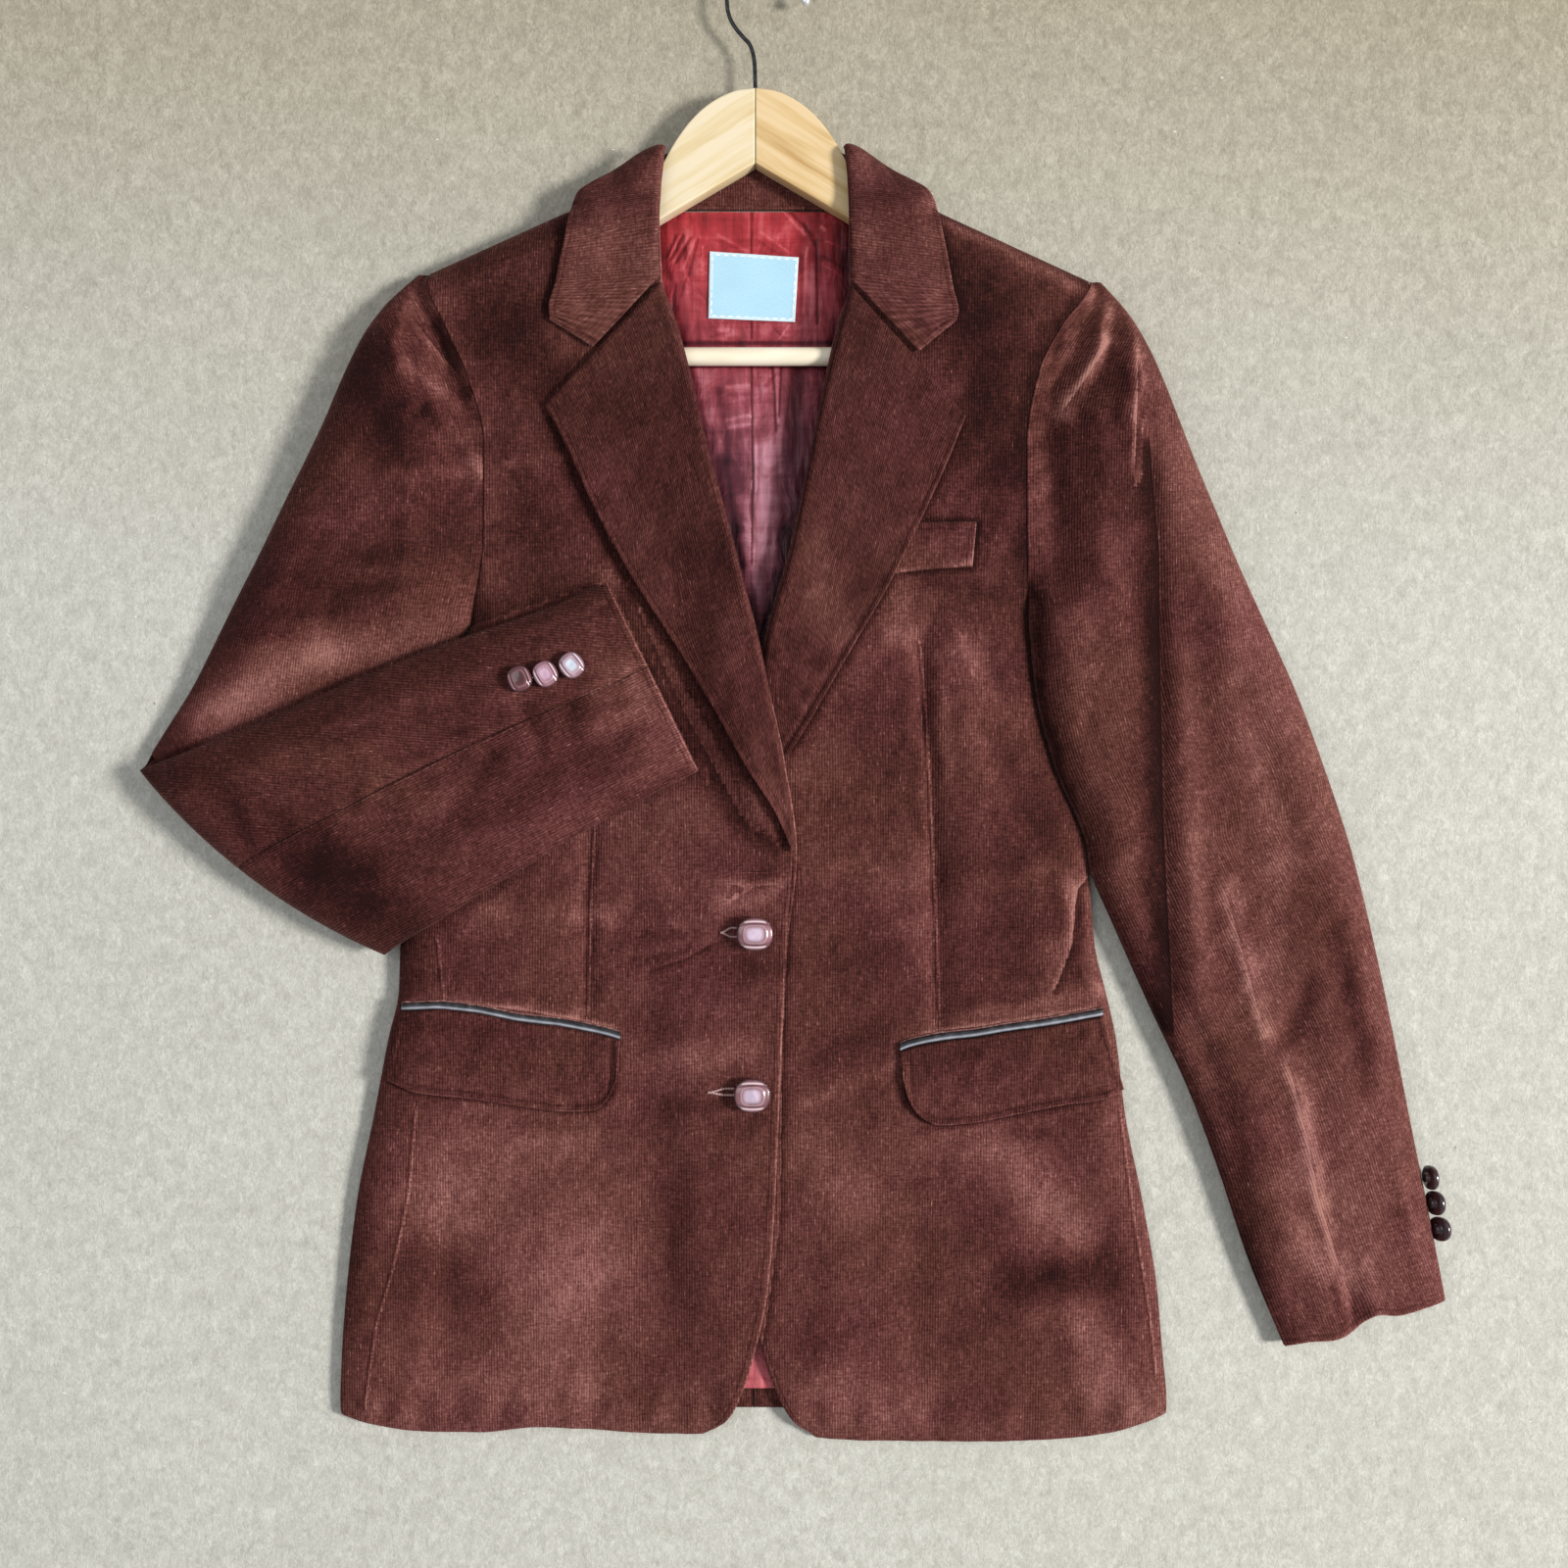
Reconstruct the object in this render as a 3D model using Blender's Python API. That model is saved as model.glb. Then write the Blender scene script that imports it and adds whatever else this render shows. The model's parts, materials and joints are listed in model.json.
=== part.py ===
"""A two-button blazer of fine corduroy velvet, laid flat and face up.

Lengths in the tables are millimetres in the garment's own drafting frame: x runs to the
right from the centre back seam, y runs up from the hem, and z is the height above the
surface that the blazer lies on. The left sleeve is folded at the elbow over the chest, and
a wooden hanger lies inside the shoulders.
"""

import math

import bpy
import numpy as np

MM = 0.001

# Cloth and how close the pieces lie, in millimetres
SEAM = 0.3  # gap between pieces that are sewn together
REST = 0.4  # gap between a piece and what it lies on
SHELL = 2.2  # fronts: cloth with its interfacing
BACK_SHELL = 2.0
SLEEVE_SHELL = 2.0
TURNED = 3.0  # lapels and collar: two layers of cloth
FLAP = 2.6
WELT = 1.8
LINING = 0.8

# Heights of the rolled edges, where the upper and the under cloth meet
SIDE_EDGE = 5.0
SHOULDER_EDGE = 9.0
SLEEVE_EDGE = 7.0
SIDE_ROLL = 24.0  # how far in the upper cloth still rounds off
SHOULDER_ROLL = 18.0
UNDER_ROLL = 11.0  # how far in the under cloth lifts off the surface

# The folded forearm lies on this plane, and what is under it is pressed to just below
FOREARM_BASE = 16.0
PRESSED = 15.2
FOREARM_EDGE = 21.0
FOLD_EDGE = 15.2  # height of the fold at the elbow

UNDERARM = (476.0, 520.0)  # between these heights the side edge turns into the armhole
SHOULDER_LEFT = ((-105.7, 720.9), (-189.5, 683.0))  # neck end and sleeve end
SHOULDER_RIGHT = ((109.0, 719.5), (198.0, 678.5))
NECKLINE = 722.8
COLLAR_TOP = 25.0
COLLAR_EDGE = 8.8  # height of the collar's upper face where it turns round the neck
BUTTON_STANCE = ((1.7, 297.4), (0.1, 203.7))


class Table:
    """Rows of numbers with named columns, read smoothly at any value of the first one."""

    def __init__(self, names, rows):
        self.names = names.split()
        self.rows = np.array(sorted(rows), float)

    def __call__(self, name, at):
        """Monotone cubic through the column, held level past its ends."""
        x, y = self.rows[:, 0], self.rows[:, self.names.index(name)]
        width = np.diff(x)
        slope = np.diff(y) / width
        tangent = np.zeros_like(y)
        before, after = slope[:-1], slope[1:]
        same_way = before * after > 0
        total = np.where(same_way, before + after, 1.0)
        tangent[1:-1] = np.where(same_way, 2 * before * after / total, 0)
        tangent[0], tangent[-1] = slope[0], slope[-1]
        at = np.clip(np.asarray(at, float), x[0], x[-1])
        i = np.clip(np.searchsorted(x, at) - 1, 0, len(width) - 1)
        t = (at - x[i]) / width[i]
        rise = y[i + 1] - y[i]
        bend_in = tangent[i] * width[i] - rise
        bend_out = rise - tangent[i + 1] * width[i]
        return y[i] + t * rise + t * (1 - t) * ((1 - t) * bend_in + t * bend_out)


# The two fronts: side edges, the inner edge of each front (roll line above the break, front
# edge below it), and the height of the upper cloth away from the edges.
BODY = Table("up left right left_front right_front height", [
    (0, -238, 241, -32, 37, 4.2),
    (8, -241, 243, -17, 25, 6.6),
    (20, -243, 244, -9, 17, 8.4),
    (50, -242, 241.5, 1, 6, 9.8),
    (90, -239, 238, 9.3, -2, 10.6),
    (140, -233, 229.5, 13.2, -9, 11.8),
    (190, -223, 219.5, 15.5, -14, 12.4),
    (235, -214.5, 214, 17.5, -17, 12.8),
    (262, -208.5, 208, 19, -18.5, 13.0),
    (290, -207.5, 201.5, 20.5, -20, 13.4),
    (344, -195, 197, 26, -24, 14.2),
    (400, -181, 176, 18.5, -10.5, 14.8),
    (440, -173.5, 166.5, 9.8, -0.5, 15.0),
    (484, -165, 162.5, -0.5, 11, 15.0),
    (525, -157, 160, -11, 22.5, 15.6),
    (585, -156.5, 159.5, -27, 35.5, 18.0),
    (624, -166.5, 166, -36, 43, 20.2),
    (650, -178, 179, -43, 49, 21.3),
    (676, -188.5, 196.5, -52, 56.5, 21.6),
    (720, -190, 199, -54, 56, 21.6),
])

# Waves of the hem line, seen from above
HEM = Table("across rise", [
    (-242, 13), (-228, 8.5), (-193, 2.5), (-160, 2), (-128, 5.5), (-100, 4.5), (-60, 1.5),
    (-32, 1.2), (-10, 3), (36, -1), (70, -3), (140, -3.5), (180, -2), (207, 1), (228, 7),
    (244, 14),
])

# Largest folds of the fronts: a ridge or a trough along a line, with its half width
FOLDS = [
    # x0, y0, x1, y1, half width, height
    (100, 470, 106, 330, 9, -2.2),  # right front dart
    (106, 330, 110, 245, 8, -1.4),
    (122, 470, 126, 330, 14, 1.6),  # full cloth beside that dart
    (100, 492, 160, 430, 14, -1.8),  # drag from the armhole to the dart
    (60, 330, 150, 300, 22, -1.2),
    (-96, 352, -98, 252, 8, -1.2),  # left front dart
    (-100, 300, -20, 298, 16, -1.3),  # pull of the upper button
    (40, 296, 110, 290, 18, -1.2),
    (178, 330, 196, 262, 10, -1.8),  # waist fold at the right side
    (-60, 120, -70, 30, 26, -1.2),  # slow waves of the skirt
    (-170, 130, -180, 30, 26, -1.0),
    (110, 150, 120, 30, 30, -1.2),
]

# Heights at which the panels have their rows of points
FRONT_ROWS = [0, 5, 13, 28, 52, 84, 118, 152, 186, 220, 248, 278, 310, 344, 370, 398, 428,
              458]
BACK_ROWS = [16, 24, 52, 84, 152, 220, 278, 344, 398, 428, 458]
CAP_ROWS = [484, 497, 510, 536, 564, 592, 620, 642, 660]

# Right sleeve: inner edge, outer edge and height of the upper cloth, keyed by the inner
# edge's height. Its upper rows start at the armhole.
SLEEVE_RIGHT = Table("up inner outer outer_up height", [
    (54, 312.5, 407.5, 81, 13),
    (106, 291, 397, 135, 17),
    (157, 274, 386.5, 187, 19),
    (205, 256, 376.5, 238, 20),
    (255, 232.6, 365.5, 290, 21),
    (308, 209, 351.5, 347, 22),
    (355, 188, 336, 394, 23),
    (402, 171, 320, 437, 24),
    (450, 162, 302, 477, 25),
    (492, 158, 285, 514, 26),
    (530, 157, 271.5, 546, 27),
    (566, 159.3, 261, 571, 28),
    (597, 160.5, 250.5, 598, 29),
    (622, 165.5, 241, 622, 28),
    (641, 174, 232, 642, 25),
    (658, 183, 221, 660, 20),
    (678.5, 198, 205, 678.5, 11),
])

# Left sleeve from the armhole to the fold at the elbow, in the same way
ARM_LEFT = Table("up inner outer outer_up height", [
    (284.5, -214.5, -358.5, 392.5, 15.2),
    (310, -205, -353, 403, 15.2),
    (350, -195, -342.5, 420, 16),
    (396, -183, -330.5, 439, 19),
    (442, -174, -317.5, 464, 22),
    (476, -167, -306, 487, 24),
    (512, -158, -292, 514, 26),
    (550, -155.5, -274, 551, 27.5),
    (596, -158.5, -252, 596, 28.5),
    (622, -166, -241, 622, 28),
    (646, -177, -229.5, 646, 25),
    (664, -183, -216.5, 664, 20),
    (683, -189.8, -197, 682.8, 11),
])

# Left forearm from the fold (0) to the cuff (7): its upper and lower edges in the picture,
# how far the row bows outwards, and the height of its upper cloth over FOREARM_BASE
FOREARM = Table("along upper_x upper_y lower_x lower_y bow height", [
    (0, -358, 392.5, -214.5, 284.5, 11, 0),
    (1, -322.8, 405.5, -204, 291.8, 5, 16),
    (2, -284, 421, -183, 304, 1, 18),
    (3, -249.5, 436.7, -156.7, 320.8, 0, 18),
    (4, -206, 455, -126.6, 339, 0, 17),
    (5, -163, 471.2, -95.3, 357.8, 0, 16),
    (6, -118, 486.7, -61.7, 376, 0, 14),
    (7, -84.3, 501.5, -31, 391.9, 0, 12),
])
HIND_SEAM = 0.45  # where the sleeve's hind seam runs, from the upper edge to the lower
FOREARM_WIDTH = 140.0  # about, from the upper to the lower edge
ELBOW = tuple(FOREARM.rows[0, 1:3])
FOLD_END = tuple(FOREARM.rows[0, 3:5])
ELBOW_BOW = FOREARM.rows[0, 5]
CUFF_UPPER = tuple(FOREARM.rows[-1, 1:3])
CUFF_LOWER = tuple(FOREARM.rows[-1, 3:5])

# Lapels: roll line and outer edge, from the gorge to where they end
LAPEL_LEFT = Table("along roll_x roll_y edge_x edge_y", [
    (0, -52.6, 675.2, -120.1, 604.3),
    (1, -43, 650, -106.5, 578.3),
    (2, -35, 620, -94.2, 550.1),
    (3, -27, 585, -79.5, 521.5),
    (4, -16, 545, -66.5, 499),
    (5, -5, 503, -46, 467.5),
    (6, 4.5, 466, -23.4, 430.1),
    (7, 12, 428, -3.5, 394.5),
    (8, 20, 385, 14, 367),
    (9, 25.2, 350, 23.5, 345),
])
LAPEL_RIGHT = Table("along roll_x roll_y edge_x edge_y", [
    (0, 56.6, 673.5, 124.2, 598.2),
    (1, 50, 648, 111.2, 566.6),
    (2, 41, 612, 97, 536),
    (3, 32, 568, 79.5, 500.5),
    (4, 23.5, 525, 58.4, 464.3),
    (5, 9, 474, 42, 436),
    (6, 3, 430, 30, 415.5),
    (7, 8.5, 402, 19.5, 399),
])
NOTCH = 0.587  # share of the lapel's top edge that is sewn to the collar

# Collar leaves: roll edge and outer edge. Rows 0 to 4 go round the neck, rows 4 to 6 run
# down the gorge to the notch.
COLLAR_LEFT = Table("along roll_x roll_y edge_x edge_y", [
    (0, -50.1, 758.6, -79.3, 742.9),
    (0.7, -51.8, 739, -95.5, 729.6),
    (1, -52.5, 732, -100.6, 725.6),
    (1.3, -52.8, 726, -103.6, 717.5),
    (2, -53.5, 712, -108, 702.2),
    (3, -54, 693, -111.5, 687),
    (4, -53.5, 678.6, -114.2, 673.8),
    (5, -72.4, 658.4, -117.7, 661.3),
    (6, -92.2, 637.6, -117.1, 653.2),
])
COLLAR_RIGHT = Table("along roll_x roll_y edge_x edge_y", [
    (0, 53.1, 759, 77, 744.3),
    (0.7, 54.8, 740, 96, 730.6),
    (1, 55.3, 733, 101.8, 725.8),
    (1.3, 55.6, 727, 105, 717.5),
    (2, 56, 712, 110.5, 703),
    (3, 56.5, 693, 114, 686),
    (4, 56.8, 677, 116.6, 671),
    (5, 76.5, 655.4, 119.5, 659),
    (6, 96.6, 635, 118.3, 652.8),
])
GORGE_ROW = 4
COLLAR_BACK = Table("up left right", [
    (723.2, -98.5, 101), (732, -90, 91.5), (742, -77, 77), (750, -63, 64.5), (757, -50, 53),
])
BAND_TOP = 757.0  # upper end of the band at the back of the neck, which rounds down there
BAND_ROLL = 12.0
SILHOUETTE_LEFT = [(-50, 758.6), (-79.3, 742.9), (-95.5, 729.8), (-101, 725.4), (-104.6, 717)]
SILHOUETTE_RIGHT = [(53, 759), (77, 744.3), (96, 730.8), (102, 725.8), (106, 716)]

# Pocket flaps, from one end to the other: where each line starts at the piping and ends
FLAP_LEFT = Table("along top_x top_y low_x low_y", [
    (0, -205.5, 251.6, -214, 212), (1, -184, 252.8, -196, 204.5),
    (2, -160, 250.4, -165, 201), (3, -138, 245.8, -135, 196.5),
    (4, -113, 242.8, -108, 193.4), (5, -93, 239, -92.5, 194.2),
    (6, -84, 236.9, -84.5, 200.5), (7, -77.2, 234.8, -79, 213),
])
FLAP_RIGHT = Table("along top_x top_y low_x low_y", [
    (0, 86.3, 228, 88, 213), (1, 91, 230, 91, 201), (2, 100, 232.4, 97.5, 191),
    (3, 112, 234.5, 110, 185.4), (4, 128.5, 236.3, 130, 187),
    (5, 148, 239.6, 157.6, 192.5), (6, 169, 242.5, 181, 197.2),
    (7, 190, 246, 203, 200.5), (8, 205, 248.6, 214.5, 206),
])
PIPING_WIDTH = 4.4
PIPING_HEIGHT = 3.0
CHEST_WELT = Table("along top_x top_y low_x low_y", [
    (0, 92, 536.6, 80.5, 507), (1, 110, 537, 103, 509.6), (2, 130.6, 537.2, 128.3, 511),
])

# Lining where the neck and the hem show it, and the label sewn on it
LINING_NECK = Table("up left right", [
    (462, -5, 18), (525, -25, 36), (585, -40, 49), (640, -52, 58), (680, -62, 66),
    (722, -66, 68),
])
LINING_HEM = Table("up left right", [(28, -26, 36), (50, -24, 34), (74, -20, 28)])
LABEL = [(-26.2, 659), (25, 656.8), (27.2, 695), (-25.4, 698.6)]

# Hanger: distance from its middle, upper edge and lower edge of one arm
HANGER_MIDDLE = 1.7
HANGER_BASE = 5.4
HANGER_DEPTH = 12.0
HANGER = Table("out top bottom", [
    (0.15, 790, 746), (10, 788.8, 740.1), (20, 785, 734.2), (29, 779.2, 728.9),
    (37, 771.6, 724.2), (44, 762.6, 720), (50, 753, 716.5), (55.5, 743.5, 713.2),
    (68, 733, 705.5), (88, 717.5, 693.5), (110, 704, 681), (135, 689.5, 667),
    (151.4, 680.5, 657.5), (151.7, 680.3, 628.5), (158, 676, 627.5), (164, 668, 632),
])
BAR_RADIUS = 5.4
BAR_UP = 634.7
HOOK_RADIUS = 1.2
HOOK_BALL = 2.6
HOOK_STEM = [(1.7, 790.6), (1.6, 797), (1.4, 804), (0.6, 811), (-1.6, 817.4), (-5.6, 821.9),
             (-9.8, 827), (-13, 832.6), (-14.8, 838.6)]
HOOK_BEND = (8.2, 843.6)  # centre of the hook's round
HOOK_BEND_RADIUS = 23.2
HOOK_END = 8.0  # degrees at which the round ends, before the ball

# Shapes of the buttons: radius and height of each ring, as shares of radius and depth
BUTTON_RINGS = [(0.36, 0.0), (0.36, 0.26), (0.94, 0.32), (1.0, 0.56), (0.8, 0.88),
                (0.45, 1.0)]
BUTTON_SIDES = 10
FRONT_BUTTON = (10.2, 8.6)  # radius and depth with its shank
CUFF_BUTTON = (7.3, 7.0)
CUFF_LEFT = [(-132.6, 444.6), (-118.0, 447.4), (-103.1, 452.5)]
CUFF_RIGHT = [153.5, 138.6, 123.4]  # heights in the picture, along the sleeve's edge
CUFF_RIGHT_UP = 8.6
CUFF_RIGHT_CLEAR = 0.8
CUFF_RIGHT_TILT = 62.0  # degrees that those buttons lean outwards


def smoothstep(t):
    t = np.clip(t, 0, 1)
    return t * t * (3 - 2 * t)


def roll(t):
    """Quarter round: 0 at an edge and 1 from t = 1 on, starting upright."""
    t = np.clip(t, 0, 1)
    return np.sqrt(1 - (1 - t) ** 2)


def distance_to_line(x, y, a, b):
    """Distance to the segment from a to b."""
    ax, ay = a
    dx, dy = b[0] - ax, b[1] - ay
    t = np.clip(((x - ax) * dx + (y - ay) * dy) / (dx * dx + dy * dy), 0, 1)
    return np.hypot(x - ax - t * dx, y - ay - t * dy)


def distance_to_path(x, y, points):
    pairs = zip(points[:-1], points[1:])
    return np.min([distance_to_line(x, y, a, b) for a, b in pairs], axis=0)


def folds(x, y, rows):
    """Soft ridges and troughs, which fade out at both ends of their lines."""
    total = np.zeros(np.broadcast(x, y).shape)
    for x0, y0, x1, y1, half_width, height in rows:
        off = distance_to_line(x, y, (x0, y0), (x1, y1))
        total = total + height * np.exp(-((off / half_width) ** 2))
    return total


def side_share(y):
    """1 where the body has a rolled side edge, 0 along the armhole."""
    return 1 - smoothstep((y - UNDERARM[0]) / (UNDERARM[1] - UNDERARM[0]))


def body_edge(side, y):
    """x of the body's left or right edge: side, armhole, then shoulder line."""
    neck, point = SHOULDER_LEFT if side == "left" else SHOULDER_RIGHT
    on_line = point[0] + (y - point[1]) * (neck[0] - point[0]) / (neck[1] - point[1])
    return np.where(y > point[1], on_line, BODY(side, np.minimum(y, point[1])))


def beside_line(x, y, a, b):
    """How far a point lies to the left of the line from a to b, in the picture."""
    dx, dy = b[0] - a[0], b[1] - a[1]
    return ((y - a[1]) * dx - (x - a[0]) * dy) / math.hypot(dx, dy)


def above_forearm(x, y):
    """How far a point lies above the folded forearm's upper edge in the picture."""
    return beside_line(x, y, ELBOW, CUFF_UPPER)


def body_height(x, y):
    """Height of the fronts' outer face, before the left one laps over the right."""
    side = np.minimum(x - body_edge("left", y), body_edge("right", y) - x)
    full = BODY("height", y)
    share = side_share(y)
    relief = folds(x, y, FOLDS) * smoothstep(side / 30) * smoothstep(y / 40)
    full = full + relief
    edge = np.minimum(SIDE_EDGE, full)
    rounded = edge + (full - edge) * roll(side / SIDE_ROLL)
    height = full + (rounded - full) * share
    for line in (SHOULDER_LEFT, SHOULDER_RIGHT):
        off = distance_to_line(x, y, *line)
        cap = SHOULDER_EDGE + (full - SHOULDER_EDGE) * roll(off / SHOULDER_ROLL)
        height = np.minimum(height, cap)
    return height


def pressed_to(ceiling, height, x, y):
    """Keeps cloth under the folded forearm below a ceiling."""
    past_cuff = beside_line(x, y, CUFF_UPPER, CUFF_LOWER)
    under = smoothstep(1 - above_forearm(x, y) / 30) * smoothstep(1 - past_cuff / 25)
    under = under * smoothstep((y - 270) / 20)
    return height + np.minimum(ceiling - height, 0) * under


def lap(x, y):
    """How much higher the left front lies where the right front and lapel are under it."""
    over_front = smoothstep((x - BODY("right_front", y) + 48) / 28)
    crossing = smoothstep((y - 352) / 36) * smoothstep((540 - y) / 55)
    over_lapel = smoothstep((x - BODY("left_front", y) + 46) / 30) * crossing
    return (SHELL + 2 * REST) * over_front + 4.0 * over_lapel


def left_front_height(x, y):
    return pressed_to(PRESSED, body_height(x, y) + lap(x, y), x, y)


def right_front_height(x, y):
    return pressed_to(PRESSED - SHELL - 2 * REST, body_height(x, y), x, y)


def under_height(x, y):
    """Height of the back's outer face, which lies on the surface and rolls up at edges."""
    side = np.minimum(x - body_edge("left", y), body_edge("right", y) - x)
    lift = SIDE_EDGE * (1 - roll(side / UNDER_ROLL)) * side_share(y)
    for line in (SHOULDER_LEFT, SHOULDER_RIGHT):
        off = distance_to_line(x, y, *line)
        lift = np.maximum(lift, SHOULDER_EDGE * (1 - roll(off / UNDER_ROLL)))
    return lift


def lying_on(height, x, y):
    """Underside of a piece that lies on the fronts, a little freer at the side edges."""
    side = np.minimum(x - body_edge("left", y), body_edge("right", y) - x)
    return height(x, y) + REST + 0.9 * (1 - smoothstep(side / 16))


def grid_normals(points):
    """Unit normals of a grid of points (rows, columns, 3)."""
    down = np.gradient(points, axis=0)
    across = np.gradient(points, axis=1)
    normal = np.cross(across, down)
    return normal / np.linalg.norm(normal, axis=2, keepdims=True)


def outward(points, level):
    """Level directions that point out of a grid, across those of its sides that are rims."""
    out = np.zeros(points.shape)
    sides = [(np.s_[:, 0], np.s_[:, 1]), (np.s_[:, -1], np.s_[:, -2]),
             (np.s_[0, :], np.s_[1, :]), (np.s_[-1, :], np.s_[-2, :])]
    for edge, inside in sides:
        rim = np.array(level[edge])
        rim[0], rim[-1] = rim[1], rim[-2]
        if np.any(rim > 0):
            along = np.gradient(points[edge], axis=0)
            across = np.stack([-along[:, 1], along[:, 0], 0 * along[:, 0]], axis=1)
            across /= np.linalg.norm(across, axis=1, keepdims=True)
            inwards = np.sum(across * (points[edge] - points[inside]), axis=1) < 0
            out[edge] += np.where(inwards[:, None], -across, across) * rim[:, None]
    size = np.linalg.norm(out, axis=2, keepdims=True)
    return out / np.where(size > 0, size, 1)


def finish_object(name, vertices, faces, material):
    mesh = bpy.data.meshes.new(name)
    mesh.from_pydata([tuple(v) for v in np.asarray(vertices) * MM], [], faces)
    mesh.materials.append(material)
    mesh.shade_smooth()
    mesh.set_sharp_from_angle(angle=math.radians(40))
    piece = bpy.data.objects.new(name, mesh)
    bpy.context.scene.collection.objects.link(piece)
    return piece


def solid_between(name, upper, lower, material):
    """Closed solid between two grids of points with the same rows and columns."""
    rows, columns = upper.shape[:2]
    count = rows * columns
    vertices = np.concatenate([upper.reshape(-1, 3), lower.reshape(-1, 3)])
    area = np.cross(upper[1, 0] - upper[0, 0], upper[0, 1] - upper[0, 0])[2]
    flip = area > 0
    faces = []
    for i in range(rows - 1):
        for j in range(columns - 1):
            a, b = i * columns + j, i * columns + j + 1
            c, d = b + columns, a + columns
            faces.append((a, b, c, d))
            faces.append((count + d, count + c, count + b, count + a))
    first, last = 0, (rows - 1) * columns
    for j in range(columns - 1):
        faces.append((first + j + 1, first + j, count + first + j, count + first + j + 1))
        faces.append((last + j, last + j + 1, count + last + j + 1, count + last + j))
    for i in range(rows - 1):
        a, b = i * columns, (i + 1) * columns
        faces.append((a, b, count + b, count + a))
        a, b = a + columns - 1, b + columns - 1
        faces.append((b, a, count + a, count + b))
    if flip:
        faces = [face[::-1] for face in faces]
    return finish_object(name, vertices, faces, material)


def wall(name, outer, thickness, material, level, plumb=0.0, down=False):
    """Cloth wall: outer face as given, inner face moved in along the normals.

    level is 1 at points of a rolled edge, where the normal is made level, so that the edge
    is a flat rim at one height. plumb is 1 along an armhole, where it is made upright.
    """
    normal = grid_normals(outer)
    facing = -1.0 if down else 1.0
    normal *= np.where(normal[..., 2:] * facing < 0, -1, 1)
    plumb = np.broadcast_to(plumb, level.shape)[..., None]
    upright = plumb * np.array([0, 0, facing])
    flat = outward(outer, level)
    level = level[..., None]
    normal = normal * np.clip(1 - plumb - level, 0, 1) + upright + flat * level
    normal /= np.linalg.norm(normal, axis=2, keepdims=True)
    inner = outer - normal * thickness
    if down:
        return solid_between(name, inner, outer, material)
    return solid_between(name, outer, inner, material)


def stack(x, y, z):
    return np.stack(np.broadcast_arrays(x, y, z), axis=-1)


def front_grid(side):
    """x and y of a front's points: rows from the hem up, columns from the side edge in."""
    rows = np.array(FRONT_ROWS + CAP_ROWS + shoulder_rows(side, 719), float)[:, None]
    share = np.array([0, 0.012, 0.035, 0.075, 0.14, 0.23, 0.34, 0.46, 0.58, 0.7, 0.8, 0.91,
                      1])[None, :]
    y = rows + 0 * share
    for _ in range(3):
        start, end = body_edge(side, y), BODY(side + "_front", y)
        x = start + (end - start) * share
        y = rows + HEM("rise", x) * smoothstep(1 - rows / 60)
    return x, y, rows


def shoulder_rows(side, top):
    """Rows from just under the sleeve end of the shoulder line to the neck."""
    up = (SHOULDER_LEFT if side == "left" else SHOULDER_RIGHT)[1][1]
    return [up - 8, up, up + 12, up + 26, top]


def edge_mask(shape, share):
    mask = np.zeros(shape)
    mask[:, 0] = share
    return mask


def edge_share(side, rows):
    """1 on rows whose first column is a rolled edge."""
    point = SHOULDER_LEFT[1] if side == "left" else SHOULDER_RIGHT[1]
    rows = rows[:, 0]
    return np.maximum(side_share(rows), smoothstep((rows - point[1] + 9) / 9))


def make_fronts(cloth):
    for side, height in (("left", left_front_height), ("right", right_front_height)):
        x, y, rows = front_grid(side)
        z = height(x, y)
        share = edge_share(side, rows)
        z[:, 0] += share * SEAM / 2
        wall("front_" + side, stack(x, y, z), SHELL, cloth, edge_mask(z.shape, share),
             edge_mask(z.shape, 1 - share))


def make_back(cloth):
    for side, sign in (("left", -1), ("right", 1)):
        top = shoulder_rows(side, NECKLINE - 3.5)
        rows = np.array(BACK_ROWS + CAP_ROWS + top, float)[:, None]
        share = np.array([0, 0.008, 0.025, 0.055, 0.16, 0.45, 0.75, 1])[None, :]
        start = body_edge(side, rows)
        x = start + (sign * SEAM / 2 - start) * share
        z = under_height(x, rows)
        edge = edge_share(side, rows)
        z[:, 0] -= edge * SEAM / 2
        z = np.maximum(z, 0)
        wall("back_" + side, stack(x, rows, z), BACK_SHELL, cloth,
             edge_mask(z.shape, edge), edge_mask(z.shape, 1 - edge), down=True)


def sleeve_rows(table, side, below):
    """Inner and outer points of each row, from the shoulder down."""
    point = SHOULDER_LEFT[1] if side == "left" else SHOULDER_RIGHT[1]
    rows = [point[1], point[1] - 8] + CAP_ROWS[::-1] + below
    up = np.array(rows, float)[:, None]
    share = side_share(up)
    sign = -1 if side == "left" else 1
    beside = body_edge(side, up) + sign * (SEAM + (1.2 + SEAM) * share)
    inner = table("inner", up)
    inner = np.minimum(inner, beside) if side == "left" else np.maximum(inner, beside)
    inner = np.where(share < 1, beside, inner)
    return up, inner, table("outer", up), table("outer_up", up), share


def sleeve_top_height(x, y, up, inner, width, across, share, peak):
    """Upper face of a sleeve: full in the middle, level with the body at the armhole."""
    to_inner, to_outer = across * width, (1 - across) * width
    rounding = np.minimum(30.0, 0.5 * width)
    start = (1 - share) * body_height(inner, up) + share * SLEEVE_EDGE
    level = start + (SLEEVE_EDGE - start) * across
    seam_rise = smoothstep(to_inner / np.minimum(45.0, 0.6 * width))
    rise = (1 - share) * seam_rise + share * roll(to_inner / rounding)
    return level + (peak - level) * rise * roll(to_outer / rounding)


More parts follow.
